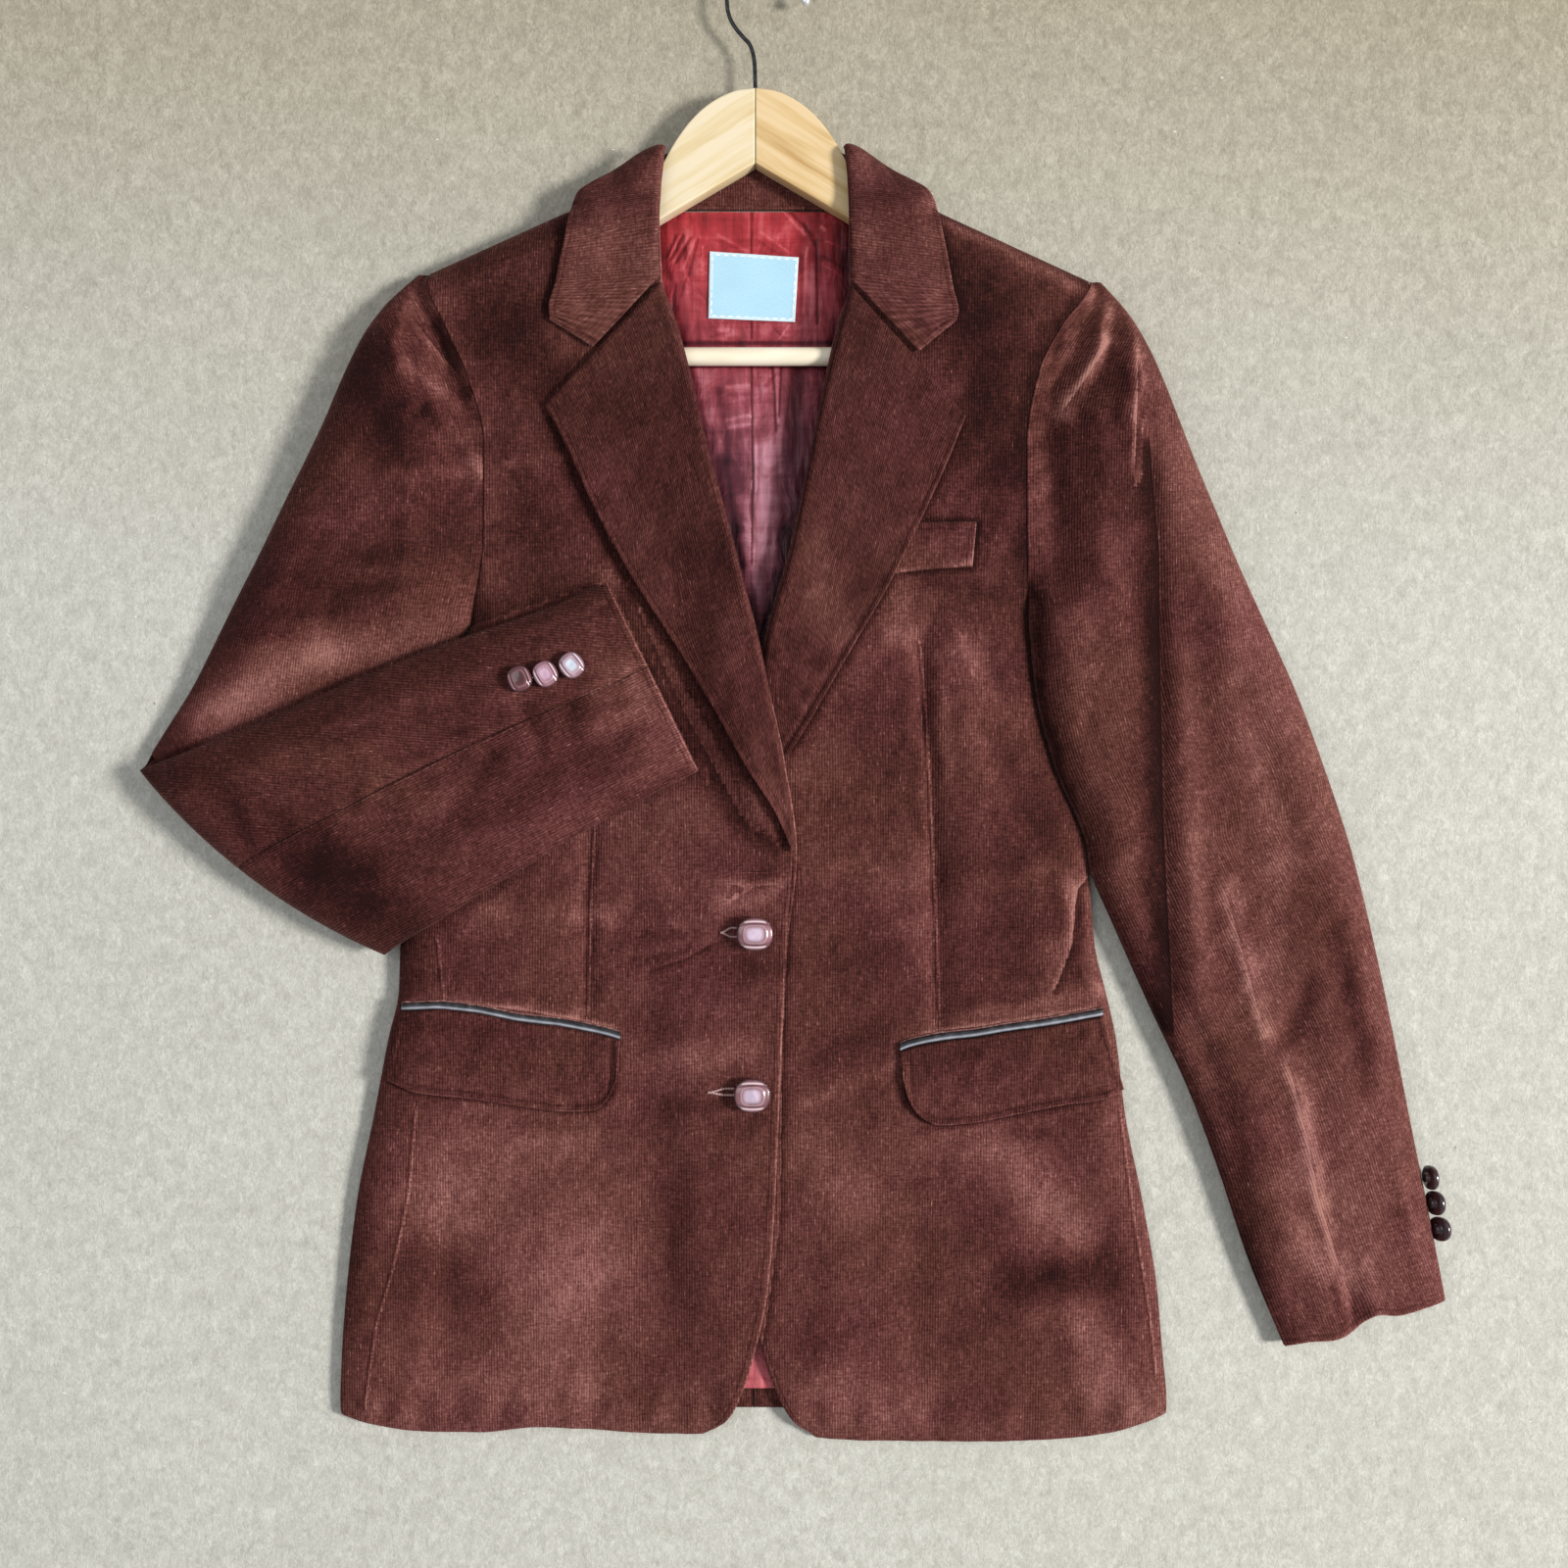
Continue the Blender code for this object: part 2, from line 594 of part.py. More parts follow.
def sleeve_under_height(up, inner, width, across, share):
    to_inner, to_outer = across * width, (1 - across) * width
    rounding = np.minimum(UNDER_ROLL, 0.4 * width)
    seam = under_height(inner, up) * (1 - smoothstep(to_inner / np.minimum(25, width)))
    lift = share * SLEEVE_EDGE * (1 - roll(to_inner / rounding)) + (1 - share) * seam
    lift = np.maximum(lift, SLEEVE_EDGE * (1 - roll(to_outer / rounding)))
    start = under_height(inner, up)
    return np.where(up > up.max() - 1, start + (SLEEVE_EDGE - start) * across, lift)


TOP_COLUMNS = np.array([0, 0.04, 0.11, 0.22, 0.36, 0.5, 0.64, 0.78, 0.89, 0.96, 1])[None, :]
UNDER_COLUMNS = np.array([0, 0.02, 0.06, 0.14, 0.5, 0.86, 0.94, 0.98, 1])[None, :]


def sleeve_wall(name, points, width, share, cloth, down=False, folded=0.0):
    """One side of a sleeve: rims level at its rolled edges and tip, plumb at the armhole."""
    level, plumb = np.zeros(points.shape[:2]), np.zeros(points.shape[:2])
    level[-1, :] = folded
    level[:, 0] = share[:, 0]
    level[:, -1] = 1
    level[0, :] = 1
    plumb[1:, 0] = 1 - share[1:, 0]
    thickness = (SLEEVE_SHELL * np.clip(width / 34, 0.3, 1))[..., None]
    wall(name, points, thickness, cloth, level, plumb, down)


def spread(columns, up):
    """Columns of a sleeve, evened out where its tip is narrow."""
    even = np.linspace(0, 1, columns.size)[None, :]
    return columns + (even - columns) * smoothstep((up - 655) / 20)


def seam_gap(z, share, sign):
    """Parts the upper and the under cloth at both rolled edges."""
    z[:, 0] += sign * share[:, 0] * (SEAM / 2 + 4.8 * (1 - share[:, 0]))
    z[:, -1] += sign * SEAM / 2
    return z


def make_sleeve_right(cloth):
    below = [458, 428, 398, 360, 320, 280, 240, 200, 160, 124, 88, 54]
    up, inner, outer, outer_up, share = sleeve_rows(SLEEVE_RIGHT, "right", below)
    width = np.hypot(outer - inner, outer_up - up)
    peak = SLEEVE_RIGHT("height", up)
    for name, columns, down in (("top", TOP_COLUMNS, False), ("under", UNDER_COLUMNS, True)):
        columns = spread(columns, up)
        x = inner + (outer - inner) * columns
        y = up + (outer_up - up) * columns
        if down:
            z = sleeve_under_height(up, inner, width, columns, share)
        else:
            z = sleeve_top_height(x, y, up, inner, width, columns, share, peak)
            z = z + folds(x, y, SLEEVE_FOLDS) * roll((1 - columns) * 4) * roll(columns * 4)
        z = seam_gap(z, share, -1 if down else 1)
        sleeve_wall("sleeve_right_" + name, stack(x, y, z), width, share, cloth, down)


# Largest folds of both sleeves' upper cloth
SLEEVE_FOLDS = [
    (212, 650, 186, 600, 9, -2.0), (232, 630, 218, 540, 14, 1.5),
    (176, 560, 200, 470, 12, -1.6), (240, 480, 290, 330, 22, -1.6),
    (225, 330, 262, 230, 14, -1.8), (330, 300, 352, 180, 18, 1.2),
    (-196, 655, -176, 636, 8, -2.4), (-208, 640, -186, 600, 9, 2.0),
    (-200, 610, -172, 560, 10, -2.0), (-250, 560, -200, 520, 16, -1.8),
    (-290, 500, -190, 480, 16, 1.6),
]


def make_arm_left(cloth):
    below = [458, 428, 398, 368, 338, 308, 284.5]
    up, inner, outer, outer_up, share = sleeve_rows(ARM_LEFT, "left", below)
    width = np.hypot(outer - inner, outer_up - up)
    to_fold = smoothstep((UNDERARM[0] - up) / (UNDERARM[0] - up[-1]))
    bow = ELBOW_BOW * to_fold ** 6
    along_x, along_y = (outer - inner) / width, (outer_up - up) / width
    for name, columns, down in (("top", TOP_COLUMNS, False), ("under", UNDER_COLUMNS, True)):
        columns = spread(columns, up)
        bulge = bow * 4 * columns * (1 - columns)
        x = inner + (outer - inner) * columns - bulge * along_y
        y = up + (outer_up - up) * columns + bulge * along_x
        if down:
            z = sleeve_under_height(up, inner, width, columns, share)
            from_fold = distance_to_fold(x, y)
            z = np.maximum(z, (FOLD_EDGE - 0.6) * (1 - roll(from_fold / 20)))
            z = seam_gap(z, share, -1)
            sleeve_wall("arm_left_under", stack(x, y, z), width, share, cloth, True, 1.0)
            continue
        z = sleeve_top_height(x, y, up, inner, width, columns, share, ARM_LEFT("height", up))
        z = z + folds(x, y, SLEEVE_FOLDS) * roll((1 - columns) * 4) * roll(columns * 4)
        free = smoothstep(above_forearm(x, y) / 45)
        z = np.where(z > PRESSED, PRESSED + (z - PRESSED) * free, z)
        z = seam_gap(z, share, 1)
        keep = slice(0, len(up) - 1)
        sleeve_wall("arm_left_top", stack(x, y, z)[keep], width[keep], share[keep], cloth)


def distance_to_fold(x, y):
    """Distance to the fold at the elbow, along its bowed line."""
    share = np.linspace(0, 1, 9)
    dx, dy = FOLD_END[0] - ELBOW[0], FOLD_END[1] - ELBOW[1]
    length = math.hypot(dx, dy)
    bulge = ELBOW_BOW * 4 * share * (1 - share)
    path_x = ELBOW[0] + dx * share + bulge * dy / length
    path_y = ELBOW[1] + dy * share - bulge * dx / length
    return np.maximum(distance_to_path(x, y, list(zip(path_x, path_y))) - 0.3, 0)


def forearm_point(along, across):
    """x and y on the forearm: across runs from its upper to its lower edge."""
    ux, uy = FOREARM("upper_x", along), FOREARM("upper_y", along)
    lx, ly = FOREARM("lower_x", along), FOREARM("lower_y", along)
    width = np.hypot(lx - ux, ly - uy)
    bulge = FOREARM("bow", along) * 4 * across * (1 - across)
    x = ux + (lx - ux) * across + bulge * (ly - uy) / width
    y = uy + (ly - uy) * across - bulge * (lx - ux) / width
    return x, y, width


def forearm_top_height(along, across, x, y, width):
    rounding = np.minimum(26.0, 0.45 * width)
    dome = roll(across * width / rounding) * roll((1 - across) * width / rounding)
    from_fold = distance_to_fold(x, y)
    fold = roll(from_fold / 24)
    edge = FOLD_EDGE + (FOREARM_EDGE - FOLD_EDGE) * smoothstep(from_fold / 40)
    peak = FOREARM_BASE + FOREARM("height", np.maximum(along, 1))
    return FOLD_EDGE + (edge + (peak - edge) * dome - FOLD_EDGE) * fold


def forearm_height_at(x, y):
    """Height of the forearm's upper face at its point nearest to x, y in the picture."""
    along, across = np.linspace(0, 7, 141)[:, None], np.linspace(0, 1, 71)[None, :]
    px, py, width = forearm_point(along, across)
    z = forearm_top_height(along, across, px, py, width)
    return z.flat[np.argmin(np.hypot(px - x, py - y))]


def make_forearm_left(cloth):
    along = np.array([0, 0.06, 0.16, 0.32, 0.6, 1, 1.5, 2, 2.7, 3.4, 4.1, 4.8, 5.5, 6.2,
                      7])[:, None]
    half_gap = SEAM / FOREARM_WIDTH
    for name, columns in (
        ("top", np.array([0, 0.03, 0.09, 0.18, 0.3, HIND_SEAM - half_gap])),
        ("hind", np.array([HIND_SEAM + half_gap, 0.58, 0.7, 0.82, 0.91, 0.97, 1])),
    ):
        across = columns[None, :]
        x, y, wide = forearm_point(along, across)
        z = forearm_top_height(along, across, x, y, wide)
        mask = np.zeros(z.shape)
        mask[:, 0 if name == "top" else -1] = 1
        mask[0, :] = 1
        z += mask * SEAM / 2
        wall("forearm_left_" + name, stack(x, y, z), SLEEVE_SHELL, cloth, mask)
    across = UNDER_COLUMNS
    x, y, wide = forearm_point(along[8:], across)
    to_edge = np.minimum(across, 1 - across) * wide
    lift = FOREARM_EDGE - SEAM / 2 - FOREARM_BASE
    z = FOREARM_BASE + lift * (1 - roll(to_edge / UNDER_ROLL))
    mask = np.zeros(z.shape)
    mask[:, 0] = mask[:, -1] = 1
    wall("forearm_left_inner", stack(x, y, z), SLEEVE_SHELL, cloth, mask, down=True)


def strip_points(table, rows, across, names=("roll_x", "roll_y", "edge_x", "edge_y")):
    """x and y between the two lines that a table's rows give."""
    ax, ay, bx, by = (table(name, rows) for name in names)
    return ax + (bx - ax) * across, ay + (by - ay) * across


def make_lapels(cloth):
    across = np.array([0, 0.15, 0.36, NOTCH, 0.78, 0.92, 1])[None, :]
    rows = np.linspace(0, 9, 14)[:, None]
    x, y = strip_points(LAPEL_LEFT, rows, across)
    base = left_front_height(x, y) + 2 * REST
    lift = 1.6 * across ** 2 * smoothstep(rows / 1.5) * smoothstep((9 - rows) / 2)
    make_turned("lapel_left", x, y, base + lift, cloth)
    rows = np.linspace(0, 7, 11)[:, None]
    x, y = strip_points(LAPEL_RIGHT, rows, across)
    base = body_height(x, y) + 2 * REST
    over_welt = 2.2 * np.exp(-(((x - 86) / 30) ** 2) - ((y - 522) / 34) ** 2)
    lift = 0.6 * across ** 2 * smoothstep(rows / 1.5) * smoothstep((5 - rows) / 2)
    make_turned("lapel_right", x, y, base + lift + over_welt, cloth)


def make_turned(name, x, y, base, cloth):
    solid_between(name, stack(x, y, base + TURNED), stack(x, y, base), cloth)


def collar_height(x, y, side):
    """Upper face of a collar leaf: rounds off where it turns over the shoulder."""
    outline = SILHOUETTE_LEFT if side == "left" else SILHOUETTE_RIGHT
    off = distance_to_path(x, y, outline)
    rounding = 6 + 10 * smoothstep((np.abs(x - HANGER_MIDDLE) - 54) / 16)
    top = COLLAR_EDGE + (COLLAR_TOP - COLLAR_EDGE) * roll(off / rounding)
    over_front = body_height(x, np.minimum(y, 719)) + 2 * REST + TURNED
    over_front = over_front + 1.6 * smoothstep((y - 690) / 20)
    return np.maximum(top, over_front + (COLLAR_EDGE - over_front) * smoothstep((y - 722) / 16))


def make_collar(cloth):
    across = np.array([0, 0.2, 0.42, 0.64, 0.82, 0.94, 1])[None, :]
    for side, table in (("left", COLLAR_LEFT), ("right", COLLAR_RIGHT)):
        rows = np.array([0, 0.3, 0.6, 0.85, 1.15, 1.6, 2.2, 3, 4, 4.6, 5.3, 6])[:, None]
        x, y = strip_points(table, rows, across)
        corner = np.minimum(rows, GORGE_ROW)
        straight = np.clip((rows - GORGE_ROW) / 2, 0, 1)
        for axis, grid in (("x", x), ("y", y)):
            start = table("roll_" + axis, np.float64(GORGE_ROW))
            end = table("roll_" + axis, np.float64(6))
            roll_line = np.where(rows > GORGE_ROW, start + (end - start) * straight,
                                 table("roll_" + axis, corner))
            edge_line = table("edge_" + axis, rows)
            grid[:] = roll_line + (edge_line - roll_line) * across
        z = collar_height(x, y, side)
        solid_between("collar_" + side, stack(x, y, z), stack(x, y, z - TURNED), cloth)
    rows = np.array([NECKLINE + SEAM, 732, 742, 750, BAND_TOP])[:, None]
    share = np.array([0, 0.04, 0.12, 0.3, 0.5, 0.7, 0.88, 0.96, 1])[None, :]
    left, right = COLLAR_BACK("left", rows), COLLAR_BACK("right", rows)
    x = left + (right - left) * share
    y = rows + 0 * share
    rounding = smoothstep((y - BAND_TOP + BAND_ROLL) / BAND_ROLL)
    top = 5.0 - 1.6 * rounding
    lower = 1.8 * rounding ** 2
    solid_between("collar_back", stack(x, y, top), stack(x, y, lower), cloth)


def make_flaps(cloth):
    across = np.array([0, 0.34, 0.67, 1])[None, :]
    for side, table in (("left", FLAP_LEFT), ("right", FLAP_RIGHT)):
        rows = np.linspace(0, table.rows[-1, 0], 12)[:, None]
        x, y = strip_points(table, rows, across, ("top_x", "top_y", "low_x", "low_y"))
        base = lying_on(body_height, x, y) + 0.8 * across ** 2
        solid_between("flap_" + side, stack(x, y, base + FLAP), stack(x, y, base), cloth)


def make_piping(leather):
    profile = np.array([0, 0.9, 0.9, 0])[None, :]
    for side, table, reach in (("left", FLAP_LEFT, (0.0, 7.4)),
                               ("right", FLAP_RIGHT, (-0.2, 8.0))):
        rows = np.linspace(*reach, 12)[:, None]
        offset = (SEAM + PIPING_WIDTH * np.array([0, 0.3, 0.7, 1]))[None, :]
        x = table("top_x", rows) + 0 * offset
        y = table("top_y", rows) + offset
        base = lying_on(body_height, x, y)
        crown = 0.8 + (PIPING_HEIGHT - 0.8) * np.sqrt(profile)
        solid_between("piping_" + side, stack(x, y, base + crown), stack(x, y, base),
                      leather)


def make_chest_welt(cloth):
    rows = np.linspace(0, 2, 5)[:, None]
    across = np.linspace(0, 1, 3)[None, :]
    x, y = strip_points(CHEST_WELT, rows, across, ("top_x", "top_y", "low_x", "low_y"))
    base = body_height(x, y) + REST - 0.1
    solid_between("chest_welt", stack(x, y, base + WELT), stack(x, y, base), cloth)


def make_linings(lining, label):
    for name, table, count in (("back_lining", LINING_NECK, 8), ("hem_lining", LINING_HEM, 3)):
        rows = np.linspace(table.rows[0, 0], table.rows[-1, 0], count)[:, None]
        share = np.linspace(0, 1, 5)[None, :]
        x = table("left", rows) + (table("right", rows) - table("left", rows)) * share
        base = BACK_SHELL + REST
        y = rows + 0 * share
        solid_between(name, stack(x, y, base + LINING), stack(x, y, base), lining)
    (ax, ay), (bx, by), (cx, cy), (dx, dy) = LABEL
    u, v = np.linspace(0, 1, 3)[None, :], np.linspace(0, 1, 3)[:, None]
    x = (ax + (bx - ax) * u) * (1 - v) + (dx + (cx - dx) * u) * v
    y = (ay + (by - ay) * u) * (1 - v) + (dy + (cy - dy) * u) * v
    base = BACK_SHELL + REST + LINING + SEAM
    solid_between("label", stack(x, y, base + 0.8), stack(x, y, base), label)


def lathe(rings, sides):
    """Vertices and faces of a turned solid from (radius, height) rings, bottom first."""
    vertices, faces = [], []
    for radius, height in rings:
        for k in range(sides):
            turn = 2 * math.pi * k / sides
            vertices.append((radius * math.cos(turn), radius * math.sin(turn), height))
    for i in range(len(rings) - 1):
        for k in range(sides):
            a, b = i * sides + k, i * sides + (k + 1) % sides
            faces.append((a, b, b + sides, a + sides))
    faces.append(tuple(range(sides))[::-1])
    top = (len(rings) - 1) * sides
    faces.append(tuple(range(top, top + sides)))
    return np.array(vertices), faces


def make_button(name, size, place, tilt, material):
    """A domed shank button; tilt leans its face outwards, in degrees."""
    radius, depth = size
    vertices, faces = lathe([(r * radius, h * depth) for r, h in BUTTON_RINGS], BUTTON_SIDES)
    lean = math.radians(tilt)
    turned = vertices.copy()
    turned[:, 0] = vertices[:, 0] * math.cos(lean) + vertices[:, 2] * math.sin(lean)
    turned[:, 2] = -vertices[:, 0] * math.sin(lean) + vertices[:, 2] * math.cos(lean)
    finish_object(name, turned + np.array(place), faces, material)


def make_buttons(material):
    for number, (x, y) in enumerate(BUTTON_STANCE, 1):
        base = float(left_front_height(np.float64(x), np.float64(y))) + REST
        make_button(f"button_front_{number}", FRONT_BUTTON, (x, y, base + 0.3), 0, material)
    for number, (x, y) in enumerate(CUFF_LEFT, 1):
        place = (x, y, forearm_height_at(x, y) + REST)
        make_button(f"button_cuff_left_{number}", CUFF_BUTTON, place, 0, material)
    edge = SLEEVE_RIGHT.rows[:, 2:4]
    for number, y in enumerate(CUFF_RIGHT, 1):
        x = np.interp(y, edge[:, 1], edge[:, 0]) + CUFF_RIGHT_CLEAR
        place = (x, y, CUFF_RIGHT_UP)
        make_button(f"button_cuff_right_{number}", CUFF_BUTTON, place, CUFF_RIGHT_TILT,
                    material)


def tube(name, points, radius, sides, material):
    """Round wire through points that all lie at one height."""
    points = np.array(points, float)
    along = np.gradient(points, axis=0)
    along /= np.linalg.norm(along, axis=1, keepdims=True)
    up = np.array([0.0, 0.0, 1.0])
    side = np.cross(along, up)
    turns = np.linspace(0, 2 * math.pi, sides, endpoint=False)
    rings = (points[:, None, :] + radius[:, None, None] * (
        np.cos(turns)[None, :, None] * side[:, None, :] + np.sin(turns)[None, :, None] * up))
    faces = []
    for i in range(len(points) - 1):
        for k in range(sides):
            a, b = i * sides + k, i * sides + (k + 1) % sides
            faces.append((a, a + sides, b + sides, b))
    faces.append(tuple(range(sides)))
    last = (len(points) - 1) * sides
    faces.append(tuple(range(last, last + sides))[::-1])
    return finish_object(name, rings.reshape(-1, 3), faces, material)


def make_hanger(wood, ivory, wire):
    out = np.array([0.15, 5, 10, 15, 20, 25, 29, 33, 37, 40.5, 44, 47, 50, 53, 55.5, 68, 88,
                    110, 135, 151.4, 151.7, 158, 164])[:, None]
    bevel = np.array([0, 0.04, 0.5, 0.96, 1])[None, :]
    rim = np.array([1.0, 0, 0, 0, 1.0])[None, :]
    for side, sign in (("left", -1), ("right", 1)):
        top, low = HANGER("top", out), HANGER("bottom", out)
        x = HANGER_MIDDLE + sign * (out + 0 * bevel)
        y = top + (low - top) * bevel
        upper = stack(x, y, HANGER_BASE + HANGER_DEPTH - rim)
        lower = stack(x, y, HANGER_BASE + rim)
        solid_between("hanger_" + side, upper, lower, wood)
    middle = HANGER_BASE + HANGER_DEPTH / 2
    reach = 151.7 - SEAM
    ends = [HANGER_MIDDLE + reach * t for t in (-1, -0.5, 0, 0.5, 1)]
    tube("hanger_bar", [(x, BAR_UP, middle) for x in ends], np.full(5, BAR_RADIUS), 12, ivory)
    turns = np.radians(np.linspace(180, HOOK_END, 14))
    cx, cy = HOOK_BEND
    round_part = [(cx + HOOK_BEND_RADIUS * math.cos(a), cy + HOOK_BEND_RADIUS * math.sin(a))
                  for a in turns]
    path = HOOK_STEM + round_part
    tx, ty = path[-1]
    ball = [(tx, ty - d) for d in (1.2, 2.4, 4.4, 5.8, 6.6)]
    points = [(x, y, middle) for x, y in path + ball]
    radius = np.full(len(points), HOOK_RADIUS)
    radius[-5:] = np.array([0.6, 0.95, 0.95, 0.6, 0.2]) * HOOK_BALL
    tube("hanger_hook", points, radius, 7, wire)


def material(name, colour, roughness, metallic=0.0):
    made = bpy.data.materials.new(name)
    made.use_nodes = True
    shader = made.node_tree.nodes["Principled BSDF"]
    shader.inputs["Base Color"].default_value = (*colour, 1.0)
    shader.inputs["Roughness"].default_value = roughness
    shader.inputs["Metallic"].default_value = metallic
    made.diffuse_color = (*colour, 1.0)
    return made


def clear_scene():
    for piece in list(bpy.data.objects):
        bpy.data.objects.remove(piece)


def place_on_origin():
    """Moves the whole part so that its box stands on the origin, middle over it."""
    pieces = [o for o in bpy.data.objects if o.type == "MESH"]
    corners = np.array([v.co for piece in pieces for v in piece.data.vertices])
    low, high = corners.min(axis=0), corners.max(axis=0)
    middle = (low + high) / 2
    for piece in pieces:
        piece.location = (-middle[0], -middle[1], -low[2])


def main():
    clear_scene()
    cloth = material("corduroy_velvet", (0.14, 0.045, 0.03), 0.85)
    lining = material("satin_lining", (0.42, 0.06, 0.08), 0.35)
    label = material("label_satin", (0.5, 0.66, 0.72), 0.5)
    leather = material("piping_leather", (0.06, 0.055, 0.06), 0.35)
    button = material("button_resin", (0.24, 0.09, 0.09), 0.2)
    wood = material("pale_wood", (0.78, 0.6, 0.34), 0.5)
    ivory = material("ivory_bar", (0.86, 0.78, 0.6), 0.4)
    wire = material("dark_wire", (0.05, 0.05, 0.055), 0.3, 0.9)
    make_back(cloth)
    make_fronts(cloth)
    make_sleeve_right(cloth)
    make_arm_left(cloth)
    make_forearm_left(cloth)
    make_lapels(cloth)
    make_collar(cloth)
    make_flaps(cloth)
    make_piping(leather)
    make_chest_welt(cloth)
    make_linings(lining, label)
    make_buttons(button)
    make_hanger(wood, ivory, wire)
    place_on_origin()


main()
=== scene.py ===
import json
import math

import bmesh
import bpy
import numpy as np
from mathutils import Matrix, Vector

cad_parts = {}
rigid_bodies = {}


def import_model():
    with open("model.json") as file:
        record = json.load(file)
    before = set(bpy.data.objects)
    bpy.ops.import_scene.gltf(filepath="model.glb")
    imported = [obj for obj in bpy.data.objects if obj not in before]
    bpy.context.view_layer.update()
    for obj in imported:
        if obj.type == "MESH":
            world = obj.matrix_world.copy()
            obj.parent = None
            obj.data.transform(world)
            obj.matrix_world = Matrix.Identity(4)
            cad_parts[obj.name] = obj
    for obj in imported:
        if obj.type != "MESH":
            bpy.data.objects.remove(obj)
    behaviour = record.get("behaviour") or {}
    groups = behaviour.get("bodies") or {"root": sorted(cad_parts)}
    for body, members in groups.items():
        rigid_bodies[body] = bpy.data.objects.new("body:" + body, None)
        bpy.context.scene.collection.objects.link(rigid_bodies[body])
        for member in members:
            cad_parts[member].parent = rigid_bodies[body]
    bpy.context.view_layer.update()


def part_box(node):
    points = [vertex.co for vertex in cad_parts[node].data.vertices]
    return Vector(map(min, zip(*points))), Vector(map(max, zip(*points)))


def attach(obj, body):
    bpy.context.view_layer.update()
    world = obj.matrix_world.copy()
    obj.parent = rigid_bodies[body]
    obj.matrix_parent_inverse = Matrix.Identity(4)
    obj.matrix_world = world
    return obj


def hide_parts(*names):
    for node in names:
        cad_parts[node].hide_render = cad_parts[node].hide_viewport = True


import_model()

# Lengths in the tables are millimetres in the garment's own drafting frame: x runs to the
# right from the centre back seam, y up from the hem, and z is the height above the floor.
MM = 0.001

# Cloth and how close the pieces lie, in millimetres
SEAM = 0.3  # gap between pieces that are sewn together
REST = 0.4  # gap between a piece and what it lies on
SHELL = 2.2  # fronts: cloth with its interfacing
BACK_SHELL = 2.0
SLEEVE_SHELL = 2.0
TURNED = 3.0  # lapels and collar: two layers of cloth
FLAP = 2.6
WELT = 1.8
LINING = 0.8

# Heights of the rolled edges, where the upper and the under cloth meet
SIDE_EDGE = 5.0
SHOULDER_EDGE = 9.0
SLEEVE_EDGE = 7.0
SIDE_ROLL = 24.0  # how far in the upper cloth still rounds off
SHOULDER_ROLL = 18.0
UNDER_ROLL = 11.0  # how far in the under cloth lifts off the surface

# The folded forearm lies on this plane, and what is under it is pressed to just below
FOREARM_BASE = 16.0
PRESSED = 15.2
FOREARM_EDGE = 21.0
FOLD_EDGE = 15.2  # height of the fold at the elbow
UNDERARM = (476.0, 520.0)  # between these heights the side edge turns into the armhole
SHOULDERS = {  # neck end and sleeve end of each shoulder line
    "left": ((-105.7, 720.9), (-189.5, 683.0)),
    "right": ((109.0, 719.5), (198.0, 678.5)),
}
NECKLINE = 722.8
FRONT_TOP = 719  # the fronts end here, under the collar
HEM_REACH = 60  # the waves of the hem fade out this far up
COLLAR_TOP = 25.0
COLLAR_EDGE = 8.8  # height of the collar's upper face where it turns round the neck
BUTTON_STANCE = ((1.7, 297.4), (0.1, 203.7))


class Table:
    """Rows of numbers with named columns, read smoothly at any value of the first one."""

    def __init__(self, names, rows):
        self.names = names.split()
        self.rows = np.array(sorted(rows), float)

    def __call__(self, name, at):
        """Monotone cubic through the column, held level past its ends."""
        x, y = self.rows[:, 0], self.rows[:, self.names.index(name)]
        width = np.diff(x)
        slope = np.diff(y) / width
        tangent = np.zeros_like(y)
        before, after = slope[:-1], slope[1:]
        same_way = before * after > 0
        total = np.where(same_way, before + after, 1.0)
        tangent[1:-1] = np.where(same_way, 2 * before * after / total, 0)
        tangent[0], tangent[-1] = slope[0], slope[-1]
        at = np.clip(np.asarray(at, float), x[0], x[-1])
        i = np.clip(np.searchsorted(x, at) - 1, 0, len(width) - 1)
        t = (at - x[i]) / width[i]
        rise = y[i + 1] - y[i]
        bend_in = tangent[i] * width[i] - rise
        bend_out = rise - tangent[i + 1] * width[i]
        return y[i] + t * rise + t * (1 - t) * ((1 - t) * bend_in + t * bend_out)


# The two fronts: side edges, the inner edge of each front (roll line above the break, front
# edge below it), and the height of the upper cloth away from the edges.
BODY = Table("up left right left_front right_front height", [
    (0, -238, 241, -32, 37, 4.2), (8, -241, 243, -17, 25, 6.6), (20, -243, 244, -9, 17, 8.4),
    (50, -242, 241.5, 1, 6, 9.8), (90, -239, 238, 9.3, -2, 10.6), (140, -233, 229.5, 13.2, -9, 11.8),
    (190, -223, 219.5, 15.5, -14, 12.4), (235, -214.5, 214, 17.5, -17, 12.8),
    (262, -208.5, 208, 19, -18.5, 13), (290, -207.5, 201.5, 20.5, -20, 13.4),
    (344, -195, 197, 26, -24, 14.2), (400, -181, 176, 18.5, -10.5, 14.8),
    (440, -173.5, 166.5, 9.8, -0.5, 15), (484, -165, 162.5, -0.5, 11, 15),
    (525, -157, 160, -11, 22.5, 15.6), (585, -156.5, 159.5, -27, 35.5, 18),
    (624, -166.5, 166, -36, 43, 20.2), (650, -178, 179, -43, 49, 21.3),
    (676, -188.5, 196.5, -52, 56.5, 21.6), (720, -190, 199, -54, 56, 21.6),
])

# Waves of the hem line, seen from above
HEM = Table("across rise", [
    (-242, 13), (-228, 8.5), (-193, 2.5), (-160, 2), (-128, 5.5), (-100, 4.5), (-60, 1.5), (-32, 1.2),
    (-10, 3), (36, -1), (70, -3), (140, -3.5), (180, -2), (207, 1), (228, 7), (244, 14),
])

